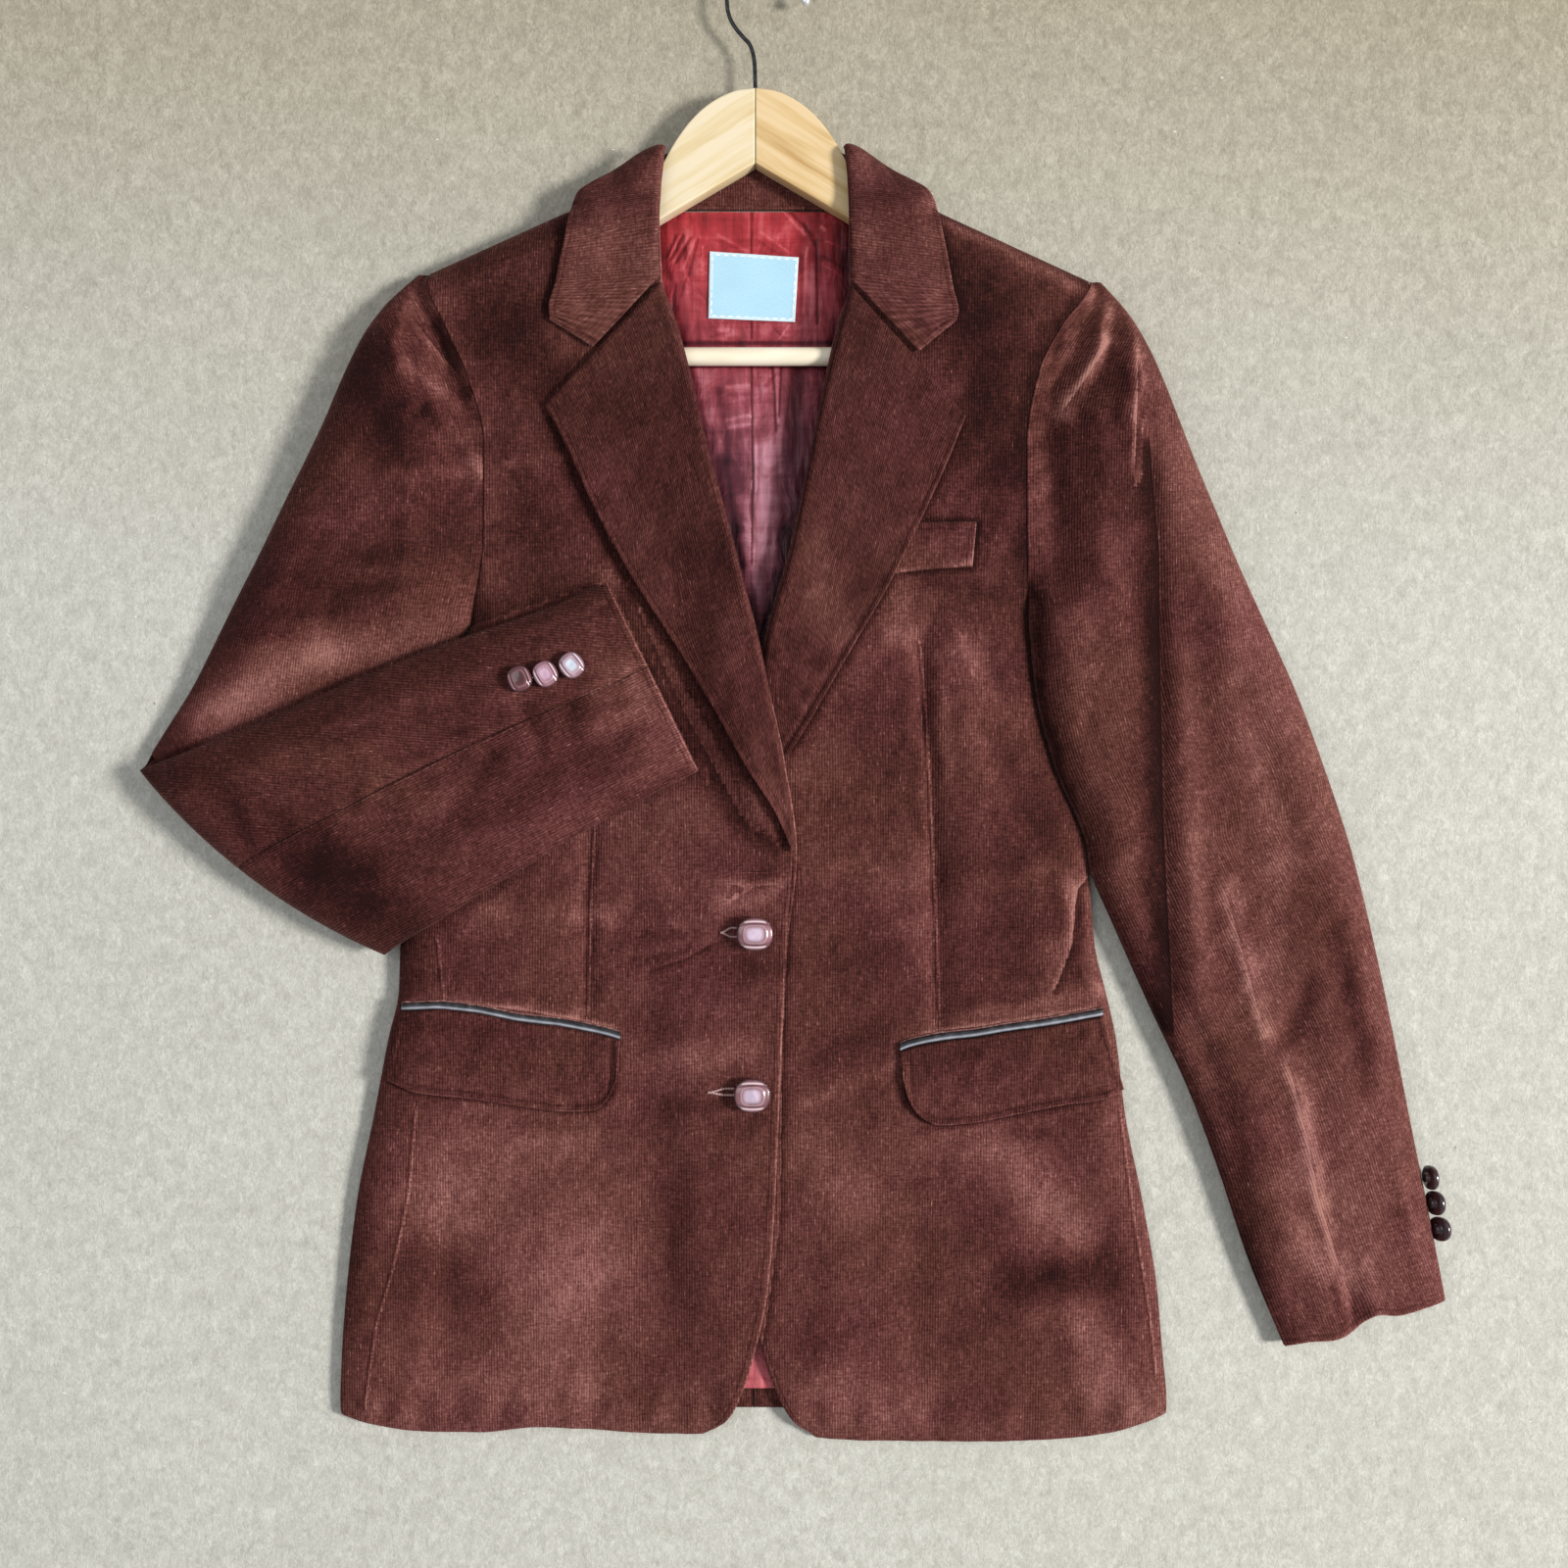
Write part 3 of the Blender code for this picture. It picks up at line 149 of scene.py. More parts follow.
# Largest folds of the fronts: a ridge or a trough along a line, with its half width
FOLDS = [
    # x0, y0, x1, y1, half width, height
    (100, 470, 106, 330, 9, -2.2),  # right front dart
    (106, 330, 110, 245, 8, -1.4),
    (122, 470, 126, 330, 14, 1.6),  # full cloth beside that dart
    (100, 492, 160, 430, 14, -1.8),  # drag from the armhole to the dart
    (60, 330, 150, 300, 22, -1.2),
    (-96, 352, -98, 252, 8, -1.2),  # left front dart
    (-100, 300, -20, 298, 16, -1.3),  # pull of the upper button
    (40, 296, 110, 290, 18, -1.2),
    (178, 330, 196, 262, 10, -1.8),  # waist fold at the right side
    (-60, 120, -70, 30, 26, -1.2),  # slow waves of the skirt
    (-170, 130, -180, 30, 26, -1.0),
    (110, 150, 120, 30, 30, -1.2),
]
BACK_HEM = 16.0  # the hem of the back, higher up in the picture than that of the fronts

# Right sleeve: inner edge, outer edge and height of the upper cloth, keyed by the inner
# edge's height. Its upper rows start at the armhole.
SLEEVE_RIGHT = Table("up inner outer outer_up height", [
    (54, 312.5, 407.5, 81, 13), (106, 291, 397, 135, 17), (157, 274, 386.5, 187, 19),
    (205, 256, 376.5, 238, 20), (255, 232.6, 365.5, 290, 21), (308, 209, 351.5, 347, 22),
    (355, 188, 336, 394, 23), (402, 171, 320, 437, 24), (450, 162, 302, 477, 25), (492, 158, 285, 514, 26),
    (530, 157, 271.5, 546, 27), (566, 159.3, 261, 571, 28), (597, 160.5, 250.5, 598, 29),
    (622, 165.5, 241, 622, 28), (641, 174, 232, 642, 25), (658, 183, 221, 660, 20),
    (678.5, 198, 205, 678.5, 11),
])

# Left sleeve from the armhole to the fold at the elbow, in the same way
ARM_LEFT = Table("up inner outer outer_up height", [
    (284.5, -214.5, -358.5, 392.5, 15.2), (310, -205, -353, 403, 15.2), (350, -195, -342.5, 420, 16),
    (396, -183, -330.5, 439, 19), (442, -174, -317.5, 464, 22), (476, -167, -306, 487, 24),
    (512, -158, -292, 514, 26), (550, -155.5, -274, 551, 27.5), (596, -158.5, -252, 596, 28.5),
    (622, -166, -241, 622, 28), (646, -177, -229.5, 646, 25), (664, -183, -216.5, 664, 20),
    (683, -189.8, -197, 682.8, 11),
])

# Left forearm from the fold (0) to the cuff (7): its upper and lower edges in the picture,
# how far the row bows outwards, and the height of its upper cloth over FOREARM_BASE
FOREARM = Table("along upper_x upper_y lower_x lower_y bow height", [
    (0, -358, 392.5, -214.5, 284.5, 11, 0), (1, -322.8, 405.5, -204, 291.8, 5, 16),
    (2, -284, 421, -183, 304, 1, 18), (3, -249.5, 436.7, -156.7, 320.8, 0, 18),
    (4, -206, 455, -126.6, 339, 0, 17), (5, -163, 471.2, -95.3, 357.8, 0, 16),
    (6, -118, 486.7, -61.7, 376, 0, 14), (7, -84.3, 501.5, -31, 391.9, 0, 12),
])
HIND_SEAM = 0.45  # where the sleeve's hind seam runs, from the upper edge to the lower
ELBOW = tuple(FOREARM.rows[0, 1:3])
FOLD_END = tuple(FOREARM.rows[0, 3:5])
ELBOW_BOW = FOREARM.rows[0, 5]
CUFF_UPPER = tuple(FOREARM.rows[-1, 1:3])
CUFF_LOWER = tuple(FOREARM.rows[-1, 3:5])

# Lapels: roll line and outer edge, from the gorge to where they end
LAPEL_LEFT = Table("along roll_x roll_y edge_x edge_y", [
    (0, -52.6, 675.2, -120.1, 604.3), (1, -43, 650, -106.5, 578.3), (2, -35, 620, -94.2, 550.1),
    (3, -27, 585, -79.5, 521.5), (4, -16, 545, -66.5, 499), (5, -5, 503, -46, 467.5),
    (6, 4.5, 466, -23.4, 430.1), (7, 12, 428, -3.5, 394.5), (8, 20, 385, 14, 367),
    (9, 25.2, 350, 23.5, 345),
])
LAPEL_RIGHT = Table("along roll_x roll_y edge_x edge_y", [
    (0, 56.6, 673.5, 124.2, 598.2), (1, 50, 648, 111.2, 566.6), (2, 41, 612, 97, 536),
    (3, 32, 568, 79.5, 500.5), (4, 23.5, 525, 58.4, 464.3), (5, 9, 474, 42, 436), (6, 3, 430, 30, 415.5),
    (7, 8.5, 402, 19.5, 399),
])

# Collar leaves: roll edge and outer edge. Rows 0 to 4 go round the neck, rows 4 to 6 run
# down the gorge to the notch.
COLLAR_LEFT = Table("along roll_x roll_y edge_x edge_y", [
    (0, -50.1, 757, -79.3, 742.9), (0.7, -51.8, 739, -95.5, 732.6), (1, -52.5, 732, -101.5, 728.4),
    (1.3, -52.8, 726, -105, 719.6), (2, -53.5, 712, -108, 702.2), (3, -54, 693, -111.5, 687),
    (4, -53.5, 678.6, -114.2, 673.8), (5, -72.4, 658.4, -117.7, 661.3), (6, -92.2, 637.6, -117.1, 653.2),
])
COLLAR_RIGHT = Table("along roll_x roll_y edge_x edge_y", [
    (0, 53.1, 757.6, 77, 745.4), (0.7, 54.8, 740, 95, 734.4), (1, 55.3, 733, 102.4, 729.6),
    (1.3, 55.6, 727, 106.8, 721.5), (2, 56, 712, 110.5, 703), (3, 56.5, 693, 114, 686),
    (4, 56.8, 677, 116.6, 671), (5, 76.5, 655.4, 119.5, 659), (6, 96.6, 635, 118.3, 652.8),
])
GORGE_ROW = 4
COLLAR_BACK = Table("up left right", [
    (723.2, -98.5, 101), (732, -90, 91.5), (742, -77, 77), (750, -63, 64.5), (757, -50, 53),
])
BAND_TOP = 757.0  # upper end of the band at the back of the neck, which rounds down there
BAND_ROLL = 12.0
SILHOUETTES = {  # the collar's outer edge behind the shoulders
    "left": [(-50, 758.6), (-79.3, 742.9), (-95.5, 729.8), (-101, 725.4), (-104.6, 717)],
    "right": [(53, 759), (77, 744.3), (96, 730.8), (102, 725.8), (106, 716)],
}

# Pocket flaps, from one end to the other: where each line starts at the piping and ends
FLAP_LEFT = Table("along top_x top_y low_x low_y", [
    (0, -205.5, 251.6, -214, 212), (1, -184, 252.8, -196, 204.5), (2, -160, 250.4, -165, 201),
    (3, -138, 245.8, -135, 196.5), (4, -113, 242.8, -108, 193.4), (5, -93, 239, -92.5, 194.2),
    (6, -84, 236.9, -84.5, 200.5), (7, -77.2, 234.8, -79, 213),
])
FLAP_RIGHT = Table("along top_x top_y low_x low_y", [
    (0, 86.3, 228, 88, 213), (1, 91, 230, 91, 201), (2, 100, 232.4, 97.5, 191), (3, 112, 234.5, 110, 185.4),
    (4, 128.5, 236.3, 130, 187), (5, 148, 239.6, 157.6, 192.5), (6, 169, 242.5, 181, 197.2),
    (7, 190, 246, 203, 200.5), (8, 205, 248.6, 214.5, 206),
])
PIPING_WIDTH = 4.4
PIPING_HEIGHT = 3.0
CHEST_WELT = Table("along top_x top_y low_x low_y", [
    (0, 92, 536.6, 80.5, 507), (1, 110, 537, 103, 509.6), (2, 130.6, 537.2, 128.3, 511),
])

# Lining where the neck and the hem show it, and the label sewn on it
LINING_NECK = Table("up left right", [
    (462, -5, 18), (525, -25, 36), (585, -40, 49), (640, -52, 58), (680, -62, 66),
    (722, -66, 68),
])
LINING_HEM = Table("up left right", [(28, -26, 36), (50, -24, 34), (74, -20, 28)])
LABEL = [(-26.2, 659), (25, 656.8), (27.2, 695), (-25.4, 698.6)]

# Hanger: distance from its middle, upper edge and lower edge of one arm
HANGER_MIDDLE = 1.7
HANGER_BASE = 5.4
HANGER_DEPTH = 12.0
HANGER = Table("out top bottom", [
    (0.15, 790, 746), (10, 788.8, 740.1), (20, 785, 734.2), (29, 779.2, 728.9), (37, 771.6, 724.2),
    (44, 762.6, 720), (50, 753, 716.5), (55.5, 743.5, 713.2), (68, 733, 705.5), (88, 717.5, 693.5),
    (110, 704, 681), (135, 689.5, 667), (151.4, 680.5, 657.5), (151.7, 680.3, 628.5), (158, 676, 627.5),
    (164, 668, 632),
])
BAR_RADIUS = 5.4
BAR_UP = 634.7
HOOK_RADIUS = 1.2
HOOK_BALL = 2.6
HOOK_STEM = [(1.7, 790.6), (1.6, 797), (1.4, 804), (0.6, 811), (-1.6, 817.4), (-5.6, 821.9),
             (-9.8, 827), (-13, 832.6), (-14.8, 838.6)]
HOOK_BEND = (8.2, 843.6)  # centre of the hook's round
HOOK_BEND_RADIUS = 23.2
HOOK_END = 8.0  # degrees at which the round ends, before the ball
FRONT_BUTTON = (10.2, 8.6)  # radius and depth with its shank
CUFF_BUTTON = (7.3, 7.0)
CUFF_LEFT = [(-132.6, 444.6), (-118.0, 447.4), (-103.1, 452.5)]
CUFF_RIGHT = [153.5, 138.6, 123.4]  # heights in the picture, along the sleeve's edge
CUFF_RIGHT_UP = 8.6
CUFF_RIGHT_CLEAR = 0.8


def smoothstep(t):
    t = np.clip(t, 0, 1)
    return t * t * (3 - 2 * t)


def bell(t):
    """Smooth bump: 1 at 0 and nearly nothing past 2."""
    return np.exp(-(t ** 2))


def roll(t):
    """Quarter round: 0 at an edge and 1 from t = 1 on, starting upright."""
    t = np.clip(t, 0, 1)
    return np.sqrt(1 - (1 - t) ** 2)


def distance_to_line(x, y, a, b):
    """Distance to the segment from a to b."""
    ax, ay = a
    dx, dy = b[0] - ax, b[1] - ay
    t = np.clip(((x - ax) * dx + (y - ay) * dy) / (dx * dx + dy * dy), 0, 1)
    return np.hypot(x - ax - t * dx, y - ay - t * dy)


def distance_to_path(x, y, points):
    pairs = zip(points[:-1], points[1:])
    return np.min([distance_to_line(x, y, a, b) for a, b in pairs], axis=0)


def folds(x, y, rows):
    """Soft ridges and troughs, which fade out at both ends of their lines."""
    total = np.zeros(np.broadcast(x, y).shape)
    for x0, y0, x1, y1, half_width, height in rows:
        off = distance_to_line(x, y, (x0, y0), (x1, y1))
        total = total + height * bell(off / half_width)
    return total


def side_share(y):
    """1 where the body has a rolled side edge, 0 along the armhole."""
    return 1 - smoothstep((y - UNDERARM[0]) / (UNDERARM[1] - UNDERARM[0]))


def body_edge(side, y):
    """x of the body's left or right edge: side, armhole, then shoulder line."""
    neck, point = SHOULDERS[side]
    on_line = point[0] + (y - point[1]) * (neck[0] - point[0]) / (neck[1] - point[1])
    return np.where(y > point[1], on_line, BODY(side, np.minimum(y, point[1])))


def from_side(x, y):
    """How far a point lies inside the nearer edge of the body."""
    return np.minimum(x - body_edge("left", y), body_edge("right", y) - x)


def beside_line(x, y, a, b):
    """How far a point lies to the left of the line from a to b, in the picture."""
    dx, dy = b[0] - a[0], b[1] - a[1]
    return ((y - a[1]) * dx - (x - a[0]) * dy) / math.hypot(dx, dy)


def above_forearm(x, y):
    """How far a point lies above the folded forearm's upper edge in the picture."""
    return beside_line(x, y, ELBOW, CUFF_UPPER)


def body_height(x, y):
    """Height of the fronts' outer face, before the left one laps over the right."""
    side = from_side(x, y)
    full = BODY("height", y)
    share = side_share(y)
    relief = folds(x, y, FOLDS) * smoothstep(side / 30) * smoothstep(y / 40)
    full = full + relief
    edge = np.minimum(SIDE_EDGE, full)
    rounded = edge + (full - edge) * roll(side / SIDE_ROLL)
    height = full + (rounded - full) * share
    for line in SHOULDERS.values():
        off = distance_to_line(x, y, *line)
        cap = SHOULDER_EDGE + (full - SHOULDER_EDGE) * roll(off / SHOULDER_ROLL)
        height = np.minimum(height, cap)
    return height


def pressed_to(ceiling, height, x, y):
    """Keeps cloth under the folded forearm below a ceiling."""
    past_cuff = beside_line(x, y, CUFF_UPPER, CUFF_LOWER)
    under = smoothstep(1 - above_forearm(x, y) / 30) * smoothstep(1 - past_cuff / 25)
    under = under * smoothstep((y - 270) / 20)
    return height + np.minimum(ceiling - height, 0) * under


def lap(x, y):
    """How much higher the left front lies where the right front and lapel are under it."""
    over_front = smoothstep((x - BODY("right_front", y) + 48) / 28)
    crossing = smoothstep((y - 352) / 36) * smoothstep((540 - y) / 55)
    over_lapel = smoothstep((x - BODY("left_front", y) + 46) / 30) * crossing
    return (SHELL + 2 * REST) * over_front + 4.0 * over_lapel


def under_height(x, y):
    """Height of the back's outer face, which lies on the surface and rolls up at edges."""
    side = from_side(x, y)
    lift = SIDE_EDGE * (1 - roll(side / UNDER_ROLL)) * side_share(y)
    for line in SHOULDERS.values():
        off = distance_to_line(x, y, *line)
        lift = np.maximum(lift, SHOULDER_EDGE * (1 - roll(off / UNDER_ROLL)))
    return lift


def lying_on(side, x, y):
    """Underside of a piece that lies on a front, a little freer at the side edges."""
    return front_top(side, x, y) + REST + 0.9 * (1 - smoothstep(from_side(x, y) / 16))


def grid_normals(points):
    """Unit normals of a grid of points (rows, columns, 3)."""
    down = np.gradient(points, axis=0)
    across = np.gradient(points, axis=1)
    normal = np.cross(across, down)
    return normal / np.linalg.norm(normal, axis=2, keepdims=True)


def outward(points, level):
    """Level directions that point out of a grid, across those of its sides that are rims."""
    out = np.zeros(points.shape)
    sides = [(np.s_[:, 0], np.s_[:, 1]), (np.s_[:, -1], np.s_[:, -2]),
             (np.s_[0, :], np.s_[1, :]), (np.s_[-1, :], np.s_[-2, :])]
    for edge, inside in sides:
        rim = np.array(level[edge])
        rim[0], rim[-1] = rim[1], rim[-2]
        if np.any(rim > 0):
            along = np.gradient(points[edge], axis=0)
            across = np.stack([-along[:, 1], along[:, 0], 0 * along[:, 0]], axis=1)
            across /= np.linalg.norm(across, axis=1, keepdims=True)
            inwards = np.sum(across * (points[edge] - points[inside]), axis=1) < 0
            out[edge] += np.where(inwards[:, None], -across, across) * rim[:, None]
    size = np.linalg.norm(out, axis=2, keepdims=True)
    return out / np.where(size > 0, size, 1)


def stack(*parts):
    return np.stack(np.broadcast_arrays(*parts), axis=-1)


def run_along(x, y):
    """Length run down a column of points."""
    return np.cumsum(np.hypot(np.gradient(x, axis=0), np.gradient(y, axis=0)), axis=0)


def edge_mask(shape, share):
    mask = np.zeros(shape)
    mask[:, 0] = share
    return mask


def edge_share(side, rows):
    """1 on rows whose first column is a rolled edge."""
    point = SHOULDERS[side][1]
    rows = rows[:, 0]
    return np.maximum(side_share(rows), smoothstep((rows - point[1] + 9) / 9))


def sleeve_top_height(x, y, up, inner, width, across, share, peak):
    """Upper face of a sleeve: full in the middle, level with the body at the armhole."""
    to_inner, to_outer = across * width, (1 - across) * width
    rounding = np.minimum(30.0, 0.5 * width)
    start = (1 - share) * body_height(inner, up) + share * SLEEVE_EDGE
    level = start + (SLEEVE_EDGE - start) * across
    seam_rise = smoothstep(to_inner / np.minimum(45.0, 0.6 * width))
    rise = (1 - share) * seam_rise + share * roll(to_inner / rounding)
    return level + (peak - level) * rise * roll(to_outer / rounding)


def sleeve_under_height(up, inner, width, across, share):
    to_inner, to_outer = across * width, (1 - across) * width
    rounding = np.minimum(UNDER_ROLL, 0.4 * width)
    seam = under_height(inner, up) * (1 - smoothstep(to_inner / np.minimum(25, width)))
    lift = share * SLEEVE_EDGE * (1 - roll(to_inner / rounding)) + (1 - share) * seam
    lift = np.maximum(lift, SLEEVE_EDGE * (1 - roll(to_outer / rounding)))
    start = under_height(inner, up)
    return np.where(up > up.max() - 1, start + (SLEEVE_EDGE - start) * across, lift)


def spread(columns, up):
    """Columns of a sleeve, evened out where its tip is narrow."""
    even = np.linspace(0, 1, columns.size)[None, :]
    return columns + (even - columns) * smoothstep((up - 655) / 20)


def seam_gap(z, share, sign):
    """Parts the upper and the under cloth at both rolled edges."""
    z[:, 0] += sign * share[:, 0] * (SEAM / 2 + 4.8 * (1 - share[:, 0]))
    z[:, -1] += sign * SEAM / 2
    return z


# Largest folds of both sleeves' upper cloth
SLEEVE_FOLDS = [
    (212, 650, 186, 600, 9, -2), (232, 630, 218, 540, 14, 1.5), (176, 560, 200, 470, 12, -1.6),
    (240, 480, 290, 330, 22, -1.6), (225, 330, 262, 230, 14, -1.8), (330, 300, 352, 180, 18, 1.2),
    (-196, 655, -176, 636, 8, -2.4), (-208, 640, -186, 600, 9, 2), (-200, 610, -172, 560, 10, -2),
    (-250, 560, -200, 520, 16, -1.8), (-290, 500, -190, 480, 16, 1.6),
]


def distance_to_fold(x, y):
    """Distance to the fold at the elbow, along its bowed line."""
    share = np.linspace(0, 1, 9)
    dx, dy = FOLD_END[0] - ELBOW[0], FOLD_END[1] - ELBOW[1]
    length = math.hypot(dx, dy)
    bulge = ELBOW_BOW * 4 * share * (1 - share)
    path_x = ELBOW[0] + dx * share + bulge * dy / length
    path_y = ELBOW[1] + dy * share - bulge * dx / length
    return np.maximum(distance_to_path(x, y, list(zip(path_x, path_y))) - 0.3, 0)


def forearm_point(along, across):
    """x and y on the forearm: across runs from its upper to its lower edge."""
    ux, uy = FOREARM("upper_x", along), FOREARM("upper_y", along)
    lx, ly = FOREARM("lower_x", along), FOREARM("lower_y", along)
    width = np.hypot(lx - ux, ly - uy)
    bulge = FOREARM("bow", along) * 4 * across * (1 - across)
    x = ux + (lx - ux) * across + bulge * (ly - uy) / width
    y = uy + (ly - uy) * across - bulge * (lx - ux) / width
    return x, y, width


def forearm_top_height(along, across, x, y, width):
    rounding = np.minimum(26.0, 0.45 * width)
    dome = roll(across * width / rounding) * roll((1 - across) * width / rounding)
    from_fold = distance_to_fold(x, y)
    fold = roll(from_fold / 24)
    edge = FOLD_EDGE + (FOREARM_EDGE - FOLD_EDGE) * smoothstep(from_fold / 40)
    peak = FOREARM_BASE + FOREARM("height", np.maximum(along, 1))
    return FOLD_EDGE + (edge + (peak - edge) * dome - FOLD_EDGE) * fold


def forearm_height_at(x, y):
    """Height of the forearm's upper face at its point nearest to x, y in the picture."""
    along, across = np.linspace(0, 7, 141)[:, None], np.linspace(0, 1, 71)[None, :]
    px, py, width = forearm_point(along, across)
    z = forearm_top_height(along, across, px, py, width)
    return z.flat[np.argmin(np.hypot(px - x, py - y))]


def strip_points(table, rows, across, names=("roll_x", "roll_y", "edge_x", "edge_y")):
    """x and y between the two lines that a table's rows give."""
    ax, ay, bx, by = (table(name, rows) for name in names)
    return ax + (bx - ax) * across, ay + (by - ay) * across


# ---- Finer form than the solids have: creases, puckers and pulls of the cloth ----

RIM = 1.1  # radius of the turned edges of the cloth
SEAM_RIM = 0.35  # and where it is sewn to the next piece
UNIT = 1.0 / MM

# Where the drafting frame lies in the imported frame, in millimetres
SHIFT = np.array([
    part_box("hanger_left")[1].x * UNIT - (HANGER_MIDDLE - 0.15),
    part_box("back_left")[0].y * UNIT - BACK_HEM,
    0.0,
])

# Creases of the fronts: a ridge or a trough along a line, with its half width
FRONT_CREASES = [
    # x0, y0, x1, y1, half width, height
    (99, 466, 104, 380, 3.2, -1.3), (104, 380, 107, 300, 2.6, -1), (107, 300, 109, 240, 2.4, -0.6),
    (106, 466, 112, 370, 5, 1.2), (92, 455, 98, 380, 6, 0.9), (112, 480, 138, 440, 5, 0.9),
    (120, 470, 160, 420, 6, -0.9), (92, 492, 118, 470, 6, 0.8), (112, 430, 150, 360, 8, 0.8),
    (130, 420, 165, 350, 7, -0.7), (100, 330, 155, 332, 5, 0.6), (60, 345, 95, 322, 6, -0.6),
    (40, 372, 80, 350, 6, 0.5), (-94, 356, -97, 300, 2.6, -0.9), (-97, 300, -99, 249, 2.2, -0.6),
    (-88, 350, -91, 280, 5, 0.7), (-150, 330, -104, 300, 6, 0.8), (-140, 312, -100, 290, 6, -0.8),
    (-160, 290, -120, 280, 6, 0.6), (-60, 318, -12, 300, 5, 0.9), (-64, 300, -14, 298, 4, -0.9),
    (-58, 284, -12, 294, 5, 0.7), (-50, 214, -14, 205, 5, 0.7), (-52, 200, -14, 203, 4, -0.6),
    (-44, 190, -10, 200, 5, 0.5), (-85, 336, -20, 330, 8, 0.5), (-70, 358, 0, 340, 7, -0.5),
    (186, 335, 200, 290, 5, -1.2), (176, 330, 190, 285, 5, 1.1), (196, 300, 202, 262, 4, 1),
    (150, 300, 190, 292, 5, 0.6), (140, 285, 196, 276, 5, -0.6), (-195, 335, -180, 290, 6, -0.8),
    (-205, 270, -150, 268, 4, 0.6), (-120, 560, -150, 600, 8, 0.8), (-118, 540, -152, 560, 7, -0.8),
    (-100, 600, -120, 650, 8, 0.5), (-110, 520, -150, 525, 6, 0.7), (-128, 500, -156, 508, 5, -0.6),
    (130, 560, 156, 600, 9, -0.7), (120, 640, 150, 655, 8, 0.5), (136, 520, 158, 560, 7, 0.7),
    (110, 600, 140, 640, 8, -0.5), (122, 505, 156, 500, 6, -0.7), (126, 494, 158, 486, 5, 0.6),
    (-200, 120, -196, 40, 10, 0.9), (-178, 140, -184, 30, 8, -0.8), (-120, 150, -124, 20, 12, 0.8),
    (-86, 110, -92, 20, 9, -0.7), (-40, 140, -36, 30, 10, 0.7), (52, 120, 40, 20, 10, 0.7),
    (92, 130, 96, 20, 9, -0.8), (150, 150, 160, 30, 12, 0.9), (200, 140, 214, 30, 9, -0.9),
    (182, 120, 190, 20, 7, 0.7), (120, 178, 190, 186, 6, -0.8), (100, 178, 180, 172, 7, 0.6),
    (-190, 192, -100, 184, 6, -0.8), (-180, 182, -110, 176, 7, 0.6), (-206, 262, -90, 252, 5, 0.8),
    (96, 246, 200, 262, 5, 0.8),
]
CREASE_DEPTH = 1.35
ARM_CREASES = [
    (242, 480, 252, 356, 9, 1.3), (252, 356, 260, 250, 8, 1.2), (274, 324, 297, 242, 6, 1.5),
    (311, 229, 330, 143, 5, 1.5), (330, 143, 345, 100, 5, 1.1), (323, 271, 308, 229, 6, -1.4),
    (338, 300, 356, 220, 8, -1.4), (346, 92, 352, 66, 4, -1.6), (207, 643, 179, 596, 5, 1.6),
    (223, 640, 221, 596, 3, 1.2), (190, 640, 168, 600, 4, -1.4), (-199, 627, -178, 611, 5, 1.5),
    (-182, 589, -156, 567, 5, 1.6), (-208, 566, -158, 568, 6, 1.2), (-185, 650, -167, 611, 4, -1.6),
    (-191, 599, -168, 575, 4, -1.7), (-321, 421, -248, 463, 10, 1.2), (-248, 463, -185, 475, 9, 0.8),
    (-196, 668, -180, 640, 3.5, -1), (-203, 662, -186, 632, 4.5, 1), (-178, 628, -166, 600, 4, -1.2),
    (-214, 652, -196, 606, 5, 1.3), (-205, 644, -190, 604, 4, -1.4), (-196, 600, -168, 590, 5, 1),
    (-192, 588, -160, 566, 5, -1.2), (-230, 610, -190, 560, 7, -0.9), (-180, 560, -158, 530, 5, 1),
    (-250, 590, -225, 530, 9, 0.9), (-270, 540, -210, 520, 8, -1), (-270, 520, -190, 506, 6, 0.9),
    (-300, 490, -210, 486, 7, -0.9), (-240, 500, -172, 510, 6, -0.9), (-300, 450, -262, 430, 8, 0.9),
    (-330, 430, -290, 420, 7, -0.8), (-310, 470, -250, 462, 6, 0.9), (212, 664, 200, 620, 4.5, -1.8),
    (222, 655, 214, 600, 5, 1.7), (204, 656, 190, 612, 4, 1.4), (232, 640, 228, 560, 6, -1.4),
    (178, 620, 186, 540, 6, 0.9), (170, 590, 180, 500, 6, -1.1), (200, 560, 240, 430, 9, -1),
    (168, 500, 190, 430, 6, 1.1), (178, 470, 206, 380, 7, -1.1), (262, 520, 280, 430, 10, 0.9),
    (220, 420, 262, 320, 10, 0.8), (286, 440, 318, 330, 9, -0.9), (196, 390, 230, 320, 7, 0.9),
    (214, 356, 236, 290, 6, -1.1), (240, 310, 262, 246, 7, 1), (252, 262, 276, 190, 7, -1),
    (300, 300, 330, 200, 10, -0.7), (340, 330, 356, 250, 8, 0.8), (290, 200, 310, 120, 9, 0.8),
    (330, 160, 350, 80, 8, -0.8), (372, 170, 392, 90, 6, 0.8), (306, 110, 330, 66, 6, -0.8),
    (352, 110, 368, 66, 6, 0.8),
]
FOREARM_CREASES = [
    (-330, 380, -230, 310, 8, -0.8), (-300, 390, -270, 330, 7, 0.9), (-285, 405, -230, 380, 6, -0.8),
    (-260, 330, -200, 330, 8, 0.9), (-250, 400, -180, 420, 7, 0.7), (-210, 380, -140, 410, 8, -0.8),
    (-190, 345, -120, 372, 8, 0.8), (-160, 430, -110, 450, 6, 0.7), (-110, 400, -60, 420, 7, -0.8),
    (-96, 470, -62, 440, 5, 0.7), (-80, 386, -44, 392, 6, 0.8), (-100, 420, -56, 432, 5, 0.6),
]


